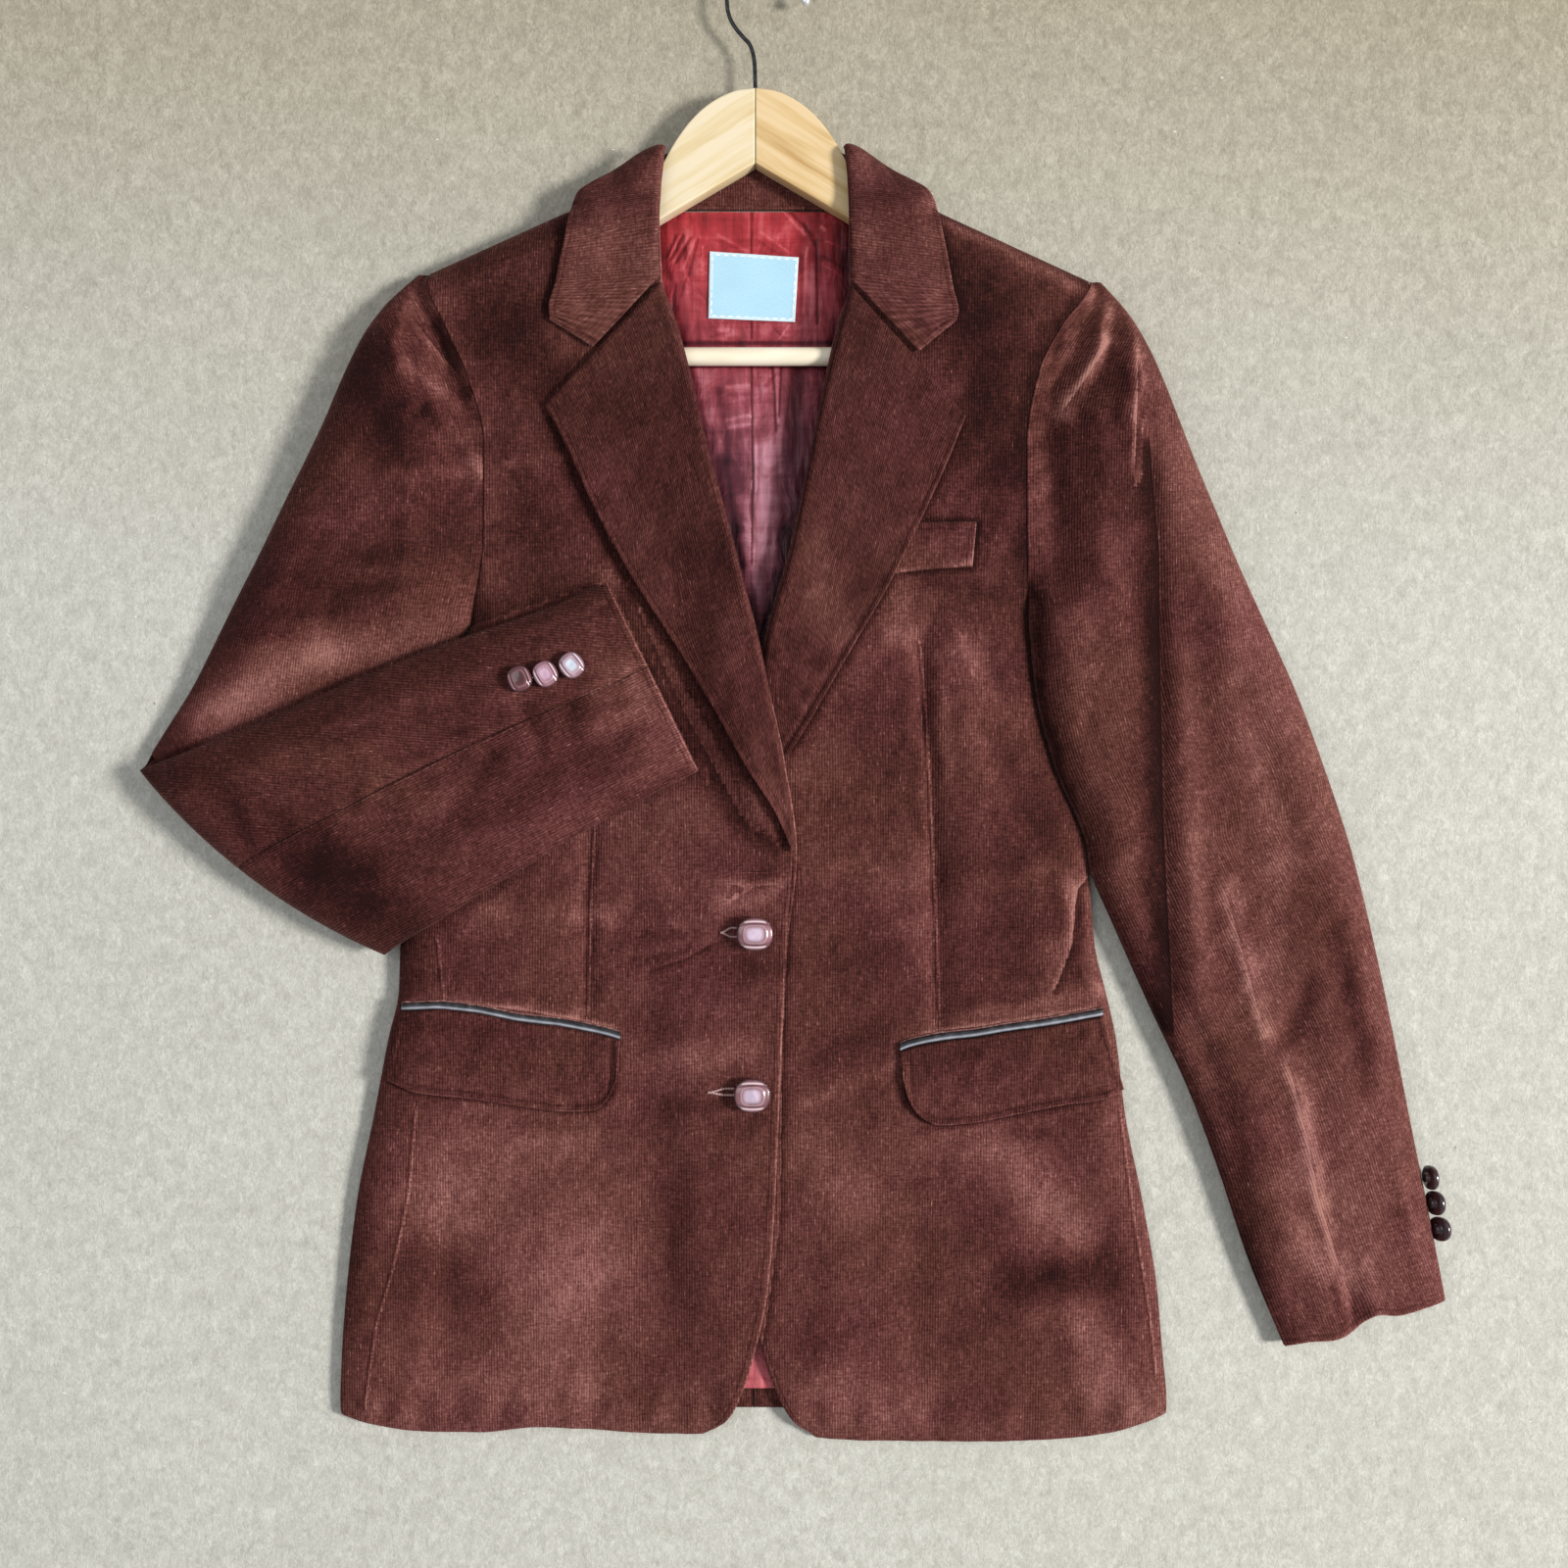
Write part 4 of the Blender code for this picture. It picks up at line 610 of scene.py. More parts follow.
def uneven(x, y, size, seed):
    """Slow random waves, about -1 to 1, from a few sines in fixed odd directions."""
    total = 0.0
    for k in range(5):
        turn = 1.3 + 2.4 * k + seed
        step = 2 * math.pi / (size * (0.7 + 0.23 * k))
        total = total + np.sin(step * (x * math.cos(turn) + y * math.sin(turn)) + 1.7 * k * seed)
    return total / 3.2


def creases(x, y, rows):
    """Creases that fade out at both ends and wander a little."""
    x = x + 2.2 * uneven(x, y, 46, 0.6)
    y = y + 2.2 * uneven(x, y, 52, 2.1)
    total = np.zeros(np.broadcast(x, y).shape)
    for x0, y0, x1, y1, half_width, height in rows:
        dx, dy = x1 - x0, y1 - y0
        length = dx * dx + dy * dy
        t = ((x - x0) * dx + (y - y0) * dy) / length
        inside = np.clip(t, 0, 1)
        off = np.hypot(x - x0 - inside * dx, y - y0 - inside * dy)
        taper = 0.35 + 0.65 * np.sin(math.pi * np.clip(t, 0.04, 0.96))
        total = total + height * taper * bell(off / half_width)
    return CREASE_DEPTH * total


def puckers(distance, along, pitch, depth, reach):
    """Small waves across a seam that die out away from it."""
    wave = np.sin(2 * math.pi * along / pitch + 1.8 * np.sin(along / (pitch * 1.7)))
    return depth * wave * bell(distance / reach)


# ---- Shells of cloth ----

def border_points(grid, other, axis, end, rim):
    """Three rings that turn a border of a grid over to the middle of the cloth."""
    edge = np.take(grid, 0 if end == 0 else -1, axis=axis)
    inside = np.take(grid, 1 if end == 0 else -2, axis=axis)
    half = (np.take(other, 0 if end == 0 else -1, axis=axis) - edge) / 2
    half[:, 3:] = 0
    inward = inside - edge
    space = np.linalg.norm(inward[:, :3], axis=1, keepdims=True)
    inward = inward / np.maximum(space, 1e-6)
    radius = np.minimum(rim, 0.45 * space)
    rings = [edge + half, edge + half * 0.3 + inward * radius * 0.3, edge + inward * radius]
    return rings if end == 0 else rings[::-1]


def turned_over(grid, other, borders):
    """A grid with its four borders turned over, halfway towards the other face."""
    for axis in (0, 1):
        rims = [SEAM_RIM if kind in ("seam", "join") else RIM for kind in borders[2 * axis:2 * axis + 2]]
        first = border_points(grid, other, axis, 0, rims[0])
        last = border_points(grid, other, axis, 1, rims[1])
        middle = np.take(grid, range(1, grid.shape[axis] - 1), axis=axis)
        other_first = [np.take(other, 0, axis=axis)] * 3
        other_last = [np.take(other, -1, axis=axis)] * 3
        other_middle = np.take(other, range(1, other.shape[axis] - 1), axis=axis)
        grid = np.concatenate([np.stack(first, axis), middle, np.stack(last, axis)], axis)
        other = np.concatenate([np.stack(other_first, axis), other_middle,
                                np.stack(other_last, axis)], axis)
    return grid


def border_distance(points, borders, kind):
    """Distance over the cloth to the nearest border of one kind, in millimetres."""
    distance = np.full(points.shape[:2], 99.0)
    for axis in (0, 1):
        step = np.linalg.norm(np.diff(points, axis=axis), axis=2)
        zero = np.zeros_like(np.take(step, [0], axis=axis))
        run = np.concatenate([zero, np.cumsum(step, axis=axis)], axis=axis)
        total = np.take(run, [-1], axis=axis)
        if borders[2 * axis] == kind:
            distance = np.minimum(distance, run)
        if borders[2 * axis + 1] == kind:
            distance = np.minimum(distance, total - run)
    return distance


def grid_faces(rows, columns, first):
    """Quads of a grid whose points start at an index."""
    i, j = np.meshgrid(np.arange(rows - 1), np.arange(columns - 1), indexing="ij")
    a = first + i * columns + j
    return np.stack([a, a + 1, a + columns + 1, a + columns], axis=-1).reshape(-1, 4)


def ring_faces(rings, around):
    """Quads between closed rings of points."""
    i, j = np.meshgrid(np.arange(rings - 1), np.arange(around), indexing="ij")
    a, b = i * around + j, i * around + (j + 1) % around
    return np.stack([a, a + around, b + around, b], axis=-1).reshape(-1, 4)


def make_mesh(name, points, faces, material, layers=None, grain=None):
    """An object from points in drafting millimetres, with point attributes and a UV map."""
    mesh = bpy.data.meshes.new(name)
    faces = faces.tolist() if isinstance(faces, np.ndarray) else faces
    mesh.from_pydata(((points + SHIFT) * MM).tolist(), [], faces)
    for key, values in (layers or {}).items():
        made = mesh.attributes.new(key, "FLOAT", "POINT")
        made.data.foreach_set("value", np.asarray(values, np.float32).ravel())
    if grain is not None:
        corners = np.empty(len(mesh.loops), np.int32)
        mesh.loops.foreach_get("vertex_index", corners)
        uv = mesh.uv_layers.new(name="grain")
        uv.data.foreach_set("uv", (grain[corners] * MM).astype(np.float32).ravel())
    mesh.materials.append(material)
    mesh.shade_smooth()
    piece = bpy.data.objects.new(name, mesh)
    bpy.context.scene.collection.objects.link(piece)
    return piece


def weld(piece):
    """Joins the two faces of a shell along its border and makes it face outwards."""
    work = bmesh.new()
    work.from_mesh(piece.data)
    bmesh.ops.remove_doubles(work, verts=work.verts, dist=1e-7)
    bmesh.ops.recalc_face_normals(work, faces=work.faces)
    work.to_mesh(piece.data)
    work.free()
    piece.data.shade_smooth()


def dress(piece, nodes):
    """Hides the solids that a piece stands in for and puts the piece on the root body."""
    if nodes:
        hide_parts(*nodes)
    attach(piece, "root")


def cloth_shell(node, outer, inner, grain, material, borders, held,
                ending="cloth", shade=None):
    """Cloth between two faces, with rounded borders."""
    kind = node.split("_")[0]
    flat = np.concatenate([outer, grain], axis=2)
    flat_inner = np.concatenate([inner, grain], axis=2)
    top = turned_over(flat, flat_inner, borders)
    low = turned_over(flat_inner, flat, borders)
    rows, columns = top.shape[:2]
    hem = border_distance(top[..., :3], borders, "hem")
    seam = border_distance(top[..., :3], borders, "seam")
    # Nap with painted shade and highlights, and crisp lines of painted shade and highlight, as point
    # attributes
    nap = nap_and_shade_of(top[..., :3], kind)
    line = seam_distance(top[..., 0], top[..., 1], kind)
    points = np.concatenate([top.reshape(-1, 5), low.reshape(-1, 5)])
    faces = np.concatenate([
        grid_faces(rows, columns, 0), grid_faces(rows, columns, rows * columns)[:, ::-1]])
    layers = {"hem": np.tile(hem.ravel(), 2), "seam": np.tile(seam.ravel(), 2),
              "nap": np.tile(nap.ravel(), 2), "line": np.tile(line.ravel(), 2)}
    for key, values in edge_layers(top[..., 0], top[..., 1], kind).items():
        layers[key] = np.tile(values.ravel(), 2)
    if shade:
        layers["shade"] = np.tile(shade(top[..., 0], top[..., 1]).ravel(), 2)
    piece = make_mesh(f"{node}_{ending}", points[:, :3], faces, material, layers, points[:, 3:])
    weld(piece)
    dress(piece, [node])
    if held is None:
        return
    width = np.max(np.sum(np.linalg.norm(np.diff(outer, axis=1), axis=2), axis=1))
    length = np.max(np.sum(np.linalg.norm(np.diff(outer, axis=0), axis=2), axis=0))
    area = grid_area(outer)


def grid_area(points):
    a = points[1:, 1:] - points[:-1, :-1]
    b = points[1:, :-1] - points[:-1, 1:]
    return float(np.linalg.norm(np.cross(a, b), axis=2).sum() / 2)


def inner_face(outer, thickness, level, plumb=0.0, down=False):
    """Inner face of a wall, level at rolled edges and plumb at armholes."""
    normal = grid_normals(outer)
    facing = -1.0 if down else 1.0
    normal *= np.where(normal[..., 2:] * facing < 0, -1, 1)
    plumb = np.broadcast_to(plumb, level.shape)[..., None]
    upright = plumb * np.array([0, 0, facing])
    flat = outward(outer, level)
    level = level[..., None]
    normal = normal * np.clip(1 - plumb - level, 0, 1) + upright + flat * level
    normal /= np.linalg.norm(normal, axis=2, keepdims=True)
    return outer - normal * thickness


# Strokes where the nap is brushed lighter or darker, among them painted shadows and highlights: a line, its
# half width and the amount
FRONT_NAP_AND_SHADE = [
    (-153, 138, -119, 98, 55, 0.16), (-165, 190, -102, 178, 14, 0.12), (-193, 156, -176, 138, 23, 0.08),
    (-196, 104, -170, 87, 22, -0.2), (-232, 167, -236, 75, 10, -0.1), (-188, 33, -96, 27, 17, 0.1),
    (-127, 81, -142, 30, 23, 0.1), (-39, 138, -4, 30, 23, -0.06), (-73, 127, -50, 41, 17, -0.04),
    (-44, 223, -2, 230, 10, 0.2), (-73, 219, -39, 213, 9, 0.08), (-39, 199, 13, 184, 13, -0.08),
    (-199, 184, -210, 156, 8, -0.12), (-239, 41, -226, 18, 10, 0.06), (-205, 199, -96, 184, 5, -0.1),
    (99, 184, 213, 193, 5, -0.08), (-196, 276, -102, 264, 15, -0.04), (-102, 307, -82, 306, 5, 0.22),
    (-166, 301, -146, 308, 7, 0.14), (-193, 261, -96, 250, 3, 0.14), (-130, 270, -119, 304, 12, 0.05),
    (-96, 241, -73, 237, 3, 0.16), (-73, 339, -27, 327, 15, 0.05), (-62, 293, -16, 264, 15, -0.04),
    (-67, 270, -44, 293, 12, 0.05), (-19, 316, 18, 323, 6, 0.26), (-67, 286, -22, 296, 3, 0.12),
    (-73, 279, -19, 290, 4, -0.1), (-4, 276, 18, 279, 7, -0.14), (-2, 330, 18, 333, 4, -0.16),
    (-16, 339, -39, 339, 12, -0.06), (-62, 259, 1, 253, 8, 0.04), (-73, 362, -16, 373, 20, 0.07),
    (-39, 407, -27, 384, 10, -0.06), (-73, 442, -4, 356, 8, -0.1), (-153, 682, -130, 625, 21, -0.14),
    (-142, 653, -102, 602, 15, -0.1), (-150, 522, -102, 533, 14, -0.03), (-140, 575, -120, 500, 24, -0.14),
    (-150, 566, -102, 578, 4, 0.12), (-153, 545, -119, 499, 12, 0.04), (-150, 499, -96, 476, 10, 0.08),
    (-119, 613, -98, 636, 6, -0.16), (-165, 671, -147, 602, 7, -0.08), (-85, 499, -67, 465, 9, 0.06),
    (133, 671, 144, 568, 20, -0.16), (116, 653, 139, 602, 17, -0.1), (110, 714, 190, 675, 5, 0.3),
    (93, 625, 101, 642, 6, -0.14), (133, 602, 110, 556, 8, -0.1), (156, 522, 162, 499, 8, -0.06),
    (139, 556, 159, 545, 7, 0.1), (99, 505, 127, 499, 6, -0.14), (150, 488, 160, 465, 7, -0.1),
    (116, 465, 156, 425, 13, 0.18), (122, 407, 167, 384, 17, 0.08), (93, 467, 79, 473, 5, 0.12),
    (64, 442, 87, 488, 7, 0.1), (70, 419, 93, 373, 20, -0.1), (53, 333, 76, 327, 13, 0.1),
    (47, 281, 87, 281, 17, -0.05), (93, 447, 96, 350, 4, -0.16), (110, 442, 113, 350, 5, 0.12),
    (133, 339, 167, 293, 20, -0.03), (167, 384, 184, 339, 7, -0.12), (187, 327, 184, 293, 3, 0.2),
    (192, 310, 189, 270, 4, -0.26), (179, 287, 175, 264, 5, 0.1), (196, 270, 203, 259, 3, 0.1),
    (133, 250, 202, 263, 3, 0.14), (30, 199, 81, 220, 5, 0.16), (36, 224, 76, 241, 8, -0.1),
    (90, 293, 101, 304, 7, 0.1), (30, 390, 53, 407, 12, 0.05), (139, 178, 190, 120, 15, 0.22),
    (162, 93, 202, 101, 14, -0.34), (190, 70, 213, 47, 14, 0.18), (202, 30, 230, 18, 13, 0.16),
    (41, 178, 59, 138, 18, 0.12), (76, 184, 122, 173, 13, 0.08), (41, 30, 93, 18, 14, 0.12),
    (64, 116, 133, 121, 23, -0.06), (87, 81, 144, 64, 23, -0.04), (64, 132, 104, 135, 5, 0.06),
    (219, 127, 227, 53, 7, -0.06), (53, 64, 36, 53, 13, -0.06), (127, 24, 167, 18, 14, -0.06),
    (99, 30, 110, 75, 8, 0.06), (-150, 640, -110, 690, 26, -0.13), (100, 690, 150, 640, 28, -0.15),
    (-110, 570, -130, 500, 30, -0.1), (130, 600, 150, 500, 24, -0.13), (178, 360, 170, 450, 22, -0.16),
    (-190, 300, -170, 340, 26, -0.1), (96, 528, 126, 528, 9, -0.08), (40, 320, 70, 420, 26, -0.05),
    (-90, 110, -40, 60, 26, 0.05), (150, 440, 150, 280, 26, -0.13), (64, 350, 64, 195, 26, -0.08),
    (125, 690, 165, 660, 24, -0.08),
]
ARM_NAP_AND_SHADE = [
    (-199, 627, -179, 611, 5, 0.26), (-182, 589, -156, 567, 5, 0.3), (-208, 566, -158, 568, 7, 0.14),
    (-216, 552, -191, 554, 15, 0.06), (-185, 651, -167, 611, 4, -0.2), (-191, 600, -168, 576, 4, -0.22),
    (-219, 622, -208, 588, 9, -0.1), (-208, 520, -168, 532, 17, -0.16), (-248, 498, -197, 475, 17, -0.1),
    (-321, 421, -248, 464, 14, 0.3), (-248, 464, -185, 475, 13, 0.16), (-231, 651, -248, 600, 8, 0.06),
    (-265, 543, -293, 486, 13, 0.04), (-333, 401, -316, 418, 6, -0.16), (-191, 668, -180, 656, 5, 0.2),
    (-168, 520, -160, 475, 5, -0.1), (-350, 395, -327, 400, 3, -0.15), (-202, 668, -219, 651, 8, 0.1),
    (207, 643, 179, 597, 5, 0.42), (223, 639, 221, 597, 3, 0.3), (197, 668, 211, 656, 5, 0.16),
    (177, 642, 167, 600, 4, -0.18), (188, 588, 211, 554, 17, -0.12), (214, 622, 211, 594, 5, -0.18),
    (234, 645, 245, 594, 7, -0.1), (177, 634, 188, 662, 3, -0.2), (171, 571, 183, 520, 7, 0.04),
    (188, 475, 205, 373, 14, 0.04), (252, 475, 257, 300, 7, 0.08), (205, 351, 225, 283, 7, 0.02),
    (161, 520, 169, 441, 3, -0.24), (169, 441, 193, 339, 3, -0.3), (268, 520, 302, 407, 14, 0.06),
    (274, 324, 297, 242, 6, 0.26), (311, 229, 330, 143, 5, 0.26), (330, 143, 345, 100, 5, 0.16),
    (302, 339, 304, 283, 8, 0.14), (290, 407, 313, 339, 12, 0.1), (338, 300, 356, 220, 9, -0.22),
    (323, 271, 308, 229, 7, -0.18), (358, 186, 370, 135, 12, 0.02), (358, 328, 370, 283, 5, 0.06),
    (263, 328, 271, 237, 7, -0.04), (280, 192, 296, 96, 5, -0.16), (285, 203, 302, 169, 8, -0.1),
    (302, 158, 319, 101, 12, 0.06), (319, 123, 330, 101, 6, 0.18), (339, 91, 347, 73, 3, -0.24),
    (358, 101, 358, 84, 6, 0.14), (256, 226, 279, 181, 8, 0.08), (330, 203, 347, 158, 8, -0.08),
    (302, 101, 313, 67, 7, -0.06), (-232, 625, -190, 560, 24, -0.2), (-300, 505, -220, 490, 26, -0.12),
    (240, 480, 250, 380, 26, -0.09), (332, 190, 350, 100, 24, 0.13), (-176, 540, -186, 490, 14, -0.1),
    (-206, 632, -200, 582, 24, -0.09), (-280, 475, -250, 440, 26, -0.1), (305, 265, 340, 150, 26, 0.08),
]
FOREARM_NAP_AND_SHADE = [
    (-246, 328, -195, 295, 20, -0.26), (-262, 356, -217, 328, 15, -0.14), (-195, 311, -150, 340, 10, -0.08),
    (-184, 373, -161, 384, 12, 0.12), (-116, 340, -94, 362, 14, 0.04), (-71, 441, -43, 407, 14, 0.14),
    (-94, 474, -83, 452, 8, 0.06), (-139, 435, -128, 407, 5, 0.1), (-125, 429, -121, 401, 3, -0.18),
    (-105, 432, -99, 407, 4, -0.16), (-94, 441, -85, 418, 3, 0.1), (-206, 407, -161, 424, 13, -0.06),
    (-285, 407, -240, 418, 13, -0.02), (-330, 390, -285, 373, 8, -0.08), (-71, 373, -43, 390, 7, -0.1),
    (-217, 390, -206, 418, 7, 0.08), (-150, 463, -83, 491, 3, 0.1), (-296, 368, -268, 340, 8, -0.1),
    (-147, 401, -167, 368, 5, -0.12), (-49, 418, -31, 396, 3, 0.08), (-75, 440, -68, 402, 22, 0.09),
]
LAPEL_NAP_AND_SHADE = [
    (-95, 612, -38, 601, 15, -0.06), (-44, 624, -27, 567, 8, -0.08), (-27, 498, -4, 441, 12, 0.06),
    (-67, 544, -44, 498, 12, 0.04), (1, 407, 18, 362, 5, 0.1), (36, 521, 47, 476, 13, 0.2),
    (75, 612, 93, 572, 14, 0.04), (53, 544, 75, 521, 12, 0.08), (18, 464, 36, 441, 6, 0.08),
    (58, 652, 75, 624, 9, -0.06), (-84, 578, -73, 544, 6, 0.05), (-95, 698, -67, 669, 17, 0.06),
    (-107, 669, -90, 652, 8, 0.08), (75, 715, 98, 692, 14, -0.04), (-73, 738, -61, 703, 9, -0.06),
    (64, 743, 70, 692, 6, 0.04), (98, 681, 110, 658, 7, 0.08), (-70, 588, -42, 532, 30, -0.1),
]
FLAP_NAP_AND_SHADE = [
    (90, 538, 131, 538, 7, -0.16), (84, 509, 128, 512, 2.2, 0.26), (131, 537, 129, 512, 1.2, 0.25),
    (-205, 246, -84, 232, 7, -0.05), (90, 226, 205, 243, 7, -0.08), (-190, 214, -110, 200, 12, 0.08),
    (100, 200, 190, 206, 10, 0.06),
]
TONE = {"collar": 0.03, "lapel": -0.11, "forearm": -0.09, "arm": -0.04, "sleeve": 0.03,
        "flap": -0.05, "chest": 0.04, "front": 0.03, "back": -0.05}
STROKES = {"front": FRONT_NAP_AND_SHADE, "sleeve": ARM_NAP_AND_SHADE, "arm": ARM_NAP_AND_SHADE, "forearm": FOREARM_NAP_AND_SHADE,
           "lapel": LAPEL_NAP_AND_SHADE, "collar": LAPEL_NAP_AND_SHADE, "flap": FLAP_NAP_AND_SHADE, "chest": FLAP_NAP_AND_SHADE}

# Crisp folds and shadow lines, painted as shade and highlights on their two sides: points, then width and
# amount on the left and on the right
EDGES = {
    "sleeve": [
        ([(221.9, 632), (220.8, 598.7), (220.2, 563.6)],
         (8, -0.3), (2.2, 0.26)),
        ([(228.7, 587.9), (233.2, 542.7), (235.5, 520.1), (236.6, 459.1),
          (238.3, 367.5), (242.8, 291.3), (245.1, 254.5), (246.2, 234.8)],
         (15, 0.08), (11, -0.56)),
        ([(208.9, 643.9), (192.5, 619), (178.4, 598.7)],
         (6, -0.22), (2.4, 0.3)),
        ([(310.1, 225.7), (321.4, 181.1), (329.3, 143.2), (342.9, 100.8)],
         (9, -0.14), (4, 0.22)),
        ([(273.9, 324), (284.1, 285.6), (296.5, 242.1)],
         (8, -0.12), (5, 0.16)),
    ],
    "arm": [
        ([(-197.4, 654.6), (-184.9, 638.8), (-168, 619)],
         (4, -0.1), (2.5, 0.2)),
    ],
    "front": [
        ([(199.2, 333), (190, 323.3), (188.9, 314.2),
          (186.6, 294.7), (185.4, 287.3), (178.6, 269.6), (172.9, 258.7)],
         (4.5, -0.34), (1.8, 0.3)),
        ([(-207.3, 257), (-170.2, 256.4), (-135.9, 253), (-101.6, 246.7), (-74.7, 240.4)],
         (1.6, 0.36), (3.0, 0.0)),
        ([(87.1, 234.7), (110, 240.4), (150, 245.6), (206, 254.1)],
         (1.6, 0.36), (3.0, 0.0)),
        ([(-119.9, 604.6), (-97, 556), (-67.3, 490.3),
          (-38.7, 427.4), (-4.4, 364.5), (21.9, 345.6)],
         (0.5, 0.0), (8, -0.3)),
        ([(-356, 398.8), (-267.4, 433.1), (-164.4, 476), (-83.3, 503.4)],
         (7, -0.22), (1, 0.0)),
        ([(-83.3, 501.1), (-59.3, 447.4), (-31.8, 393.1)],
         (9, -0.26), (1, 0.0)),
        ([(23.1, 344.5), (18.5, 270.2), (16.8, 213), (15.6, 127.2), (4.2, 47.2)],
         (3.4, -0.26), (1.2, 0.16)),
        ([(-18.7, 327.3), (-4.4, 324.5), (15.6, 326.2)],
         (3.0, 0.22), (6, -0.1)),
        ([(-16.9, 313), (-1.5, 322.8), (18.5, 327.3)],
         (2.5, 0.16), (4, -0.06)),
        ([(-18.7, 294.2), (-38.7, 282.7), (-64.4, 274.7)],
         (3.2, -0.12), (3, 0.12)),
    ],
}
# Folds of the lining with their painted highlights and shade, and painted shadows of the bar and the
# fronts: a line, its half width and how much lighter or darker it is
LINING_FOLDS_AND_SHADE = [
    (-0.6, 723.7, -0.6, 647.4, 0.6, -0.35), (-0.6, 631.2, 0, 569.4, 0.7, -0.35),
    (0, 569.4, -0.6, 514.5, 0.7, -0.32), (1.7, 583.8, 1.7, 557.8, 0.9, 0.12),
    (11.6, 631.2, 13.9, 592.5, 0.7, -0.34), (16.8, 631.2, 15.6, 601.2, 0.6, -0.3),
    (13.9, 630.1, 15, 598.3, 1, 0.14), (-7.5, 628.3, -6.3, 615.6, 4.6, 0.1),
    (-15, 618.5, -2.3, 619.7, 1.2, 0.14), (-15, 613.9, -2.3, 614.5, 1.2, -0.1),
    (-15, 599.4, -2.3, 601.7, 1.2, 0.12), (-13.9, 594.8, -2.3, 596.5, 1.2, 0.12),
    (-13.3, 587.9, -4.6, 557.8, 4.6, -0.12), (-19.1, 615.6, -14.4, 575.2, 2.3, -0.18),
    (-17.3, 575.2, -9.2, 534.7, 4, -0.4), (-11.5, 534.7, -6.3, 512.8, 2.9, -0.34),
    (5.8, 583.8, 6.9, 523.2, 4.6, 0.13), (15.6, 592.5, 16.8, 569.4, 2.3, 0.12),
    (-2.3, 534.7, 2.3, 500.1, 4, 0.12), (27.2, 628.3, 23.1, 523.2, 6.9, -0.22),
    (19.1, 534.7, 13.9, 500.1, 3.5, -0.3), (16.8, 505.8, 6.9, 468.3, 2.9, -0.6),
    (-32.3, 628.3, -26.6, 598.3, 4, 0.1), (21.4, 628.3, 21.4, 604.1, 2.3, 0.08),
    (-36.4, 725.4, -16.2, 723.1, 1.4, 0.16), (-16.2, 723.1, 18.5, 724.8, 1.4, 0.16),
    (18.5, 724.8, 38.7, 726.6, 1.4, 0.14), (-36.4, 717.9, 35.8, 717.9, 2.3, -0.07),
    (-45.1, 708.1, -50.8, 695.4, 0.8, -0.26), (-41, 708.1, -48.5, 693.6, 0.7, -0.24),
    (-36.4, 706.3, -45.1, 691.9, 0.8, -0.26), (-32.3, 705.2, -37.5, 685, 0.8, -0.22),
    (-42.7, 708.1, -49.1, 694.8, 0.6, 0.16), (-38.7, 706.9, -46.8, 692.5, 0.6, 0.16),
    (-34.1, 705.2, -41, 688.4, 0.6, 0.14), (-45.1, 679.2, -46.8, 664.7, 0.9, -0.25),
    (-39.3, 682.1, -42.2, 672.2, 0.8, -0.16), (-53.1, 695.4, -48.5, 682.1, 1.7, -0.18),
    (37.6, 705.2, 38.1, 656.1, 0.6, -0.45), (35.3, 690.7, 35.3, 661.8, 1.2, 0.1),
    (20.2, 723.7, 35.8, 708.1, 0.6, -0.3), (18.5, 721.9, 27.2, 712.1, 0.6, 0.18),
    (30.1, 715, 37, 702.3, 0.6, -0.3), (28.9, 711, 30.6, 708.6, 0.9, 0.28),
    (40.5, 713.3, 42.8, 711, 0.9, 0.28), (32.4, 701.1, 31.2, 695.4, 0.7, 0.2),
    (50.9, 711, 56.6, 673.4, 5.2, -0.26), (43.3, 704.6, 57.8, 700, 0.7, 0.16),
    (41.6, 695.4, 57.8, 687.3, 0.8, -0.25), (41.6, 690.7, 53.2, 683.8, 0.7, 0.12),
    (28.9, 695.4, 27.7, 656.1, 1.4, -0.14), (31.2, 695.4, 30.1, 661.8, 0.8, 0.1),
    (-19.1, 652.6, -9.2, 649.7, 2.3, 0.12), (-24.8, 648, -13.3, 651.4, 0.9, -0.12),
    (4.1, 710.4, 22, 697.7, 0.6, 0.14), (2.3, 705.2, 18.5, 695.4, 0.6, -0.12),
    (-20.2, 708.1, -3.5, 698.8, 1, 0.12), (-19.1, 704.6, -9.2, 701.1, 0.7, -0.1),
    (-41, 644.5, 47.4, 644.5, 1.2, -0.42), (-39.3, 630.6, 44.5, 630.6, 0.9, -0.3),
    (12.7, 653.2, 18.5, 647.4, 0.6, -0.2), (21.4, 654.9, 15.6, 646.8, 0.6, 0.14),
]

# Sewn lines
SEAMS = {"front": [
    [(97.4, 467.4), (99.7, 441.7), (102.0, 407.4), (103.4, 377.6), (105.4, 338.8),
     (107.5, 295.9), (108.8, 253.0)],
    [(-92.5, 360.5), (-94.2, 333.0), (-95.4, 304.4), (-96.0, 275.8), (-96.5, 251.7)],
    [(-184.1, 292.7), (-182.9, 278.3), (-180.7, 258.2)],
    [(-197.5, 192.1), (-201.5, 146.7), (-206.7, 120.2), (-211.9, 97.8), (-221.1, 67.4),
     (-228.0, 19.1)],
    [(215.3, 191.7), (223.4, 128.4), (232.0, 78.3), (236.6, 39.2)],
], "forearm": [
    [tuple(float(v) for v in forearm_point(row, HIND_SEAM)[:2]) for row in (7, 5.5, 4, 2.5, 1, 0.2)],
]}
FADE = 9.0  # length over which a crisp line fades out at its ends


def table_path(table, names, first=0):
    """Points that two columns of a table give."""
    columns = [table.names.index(name) for name in names.split()]
    return [tuple(row) for row in table.rows[first:, columns]]


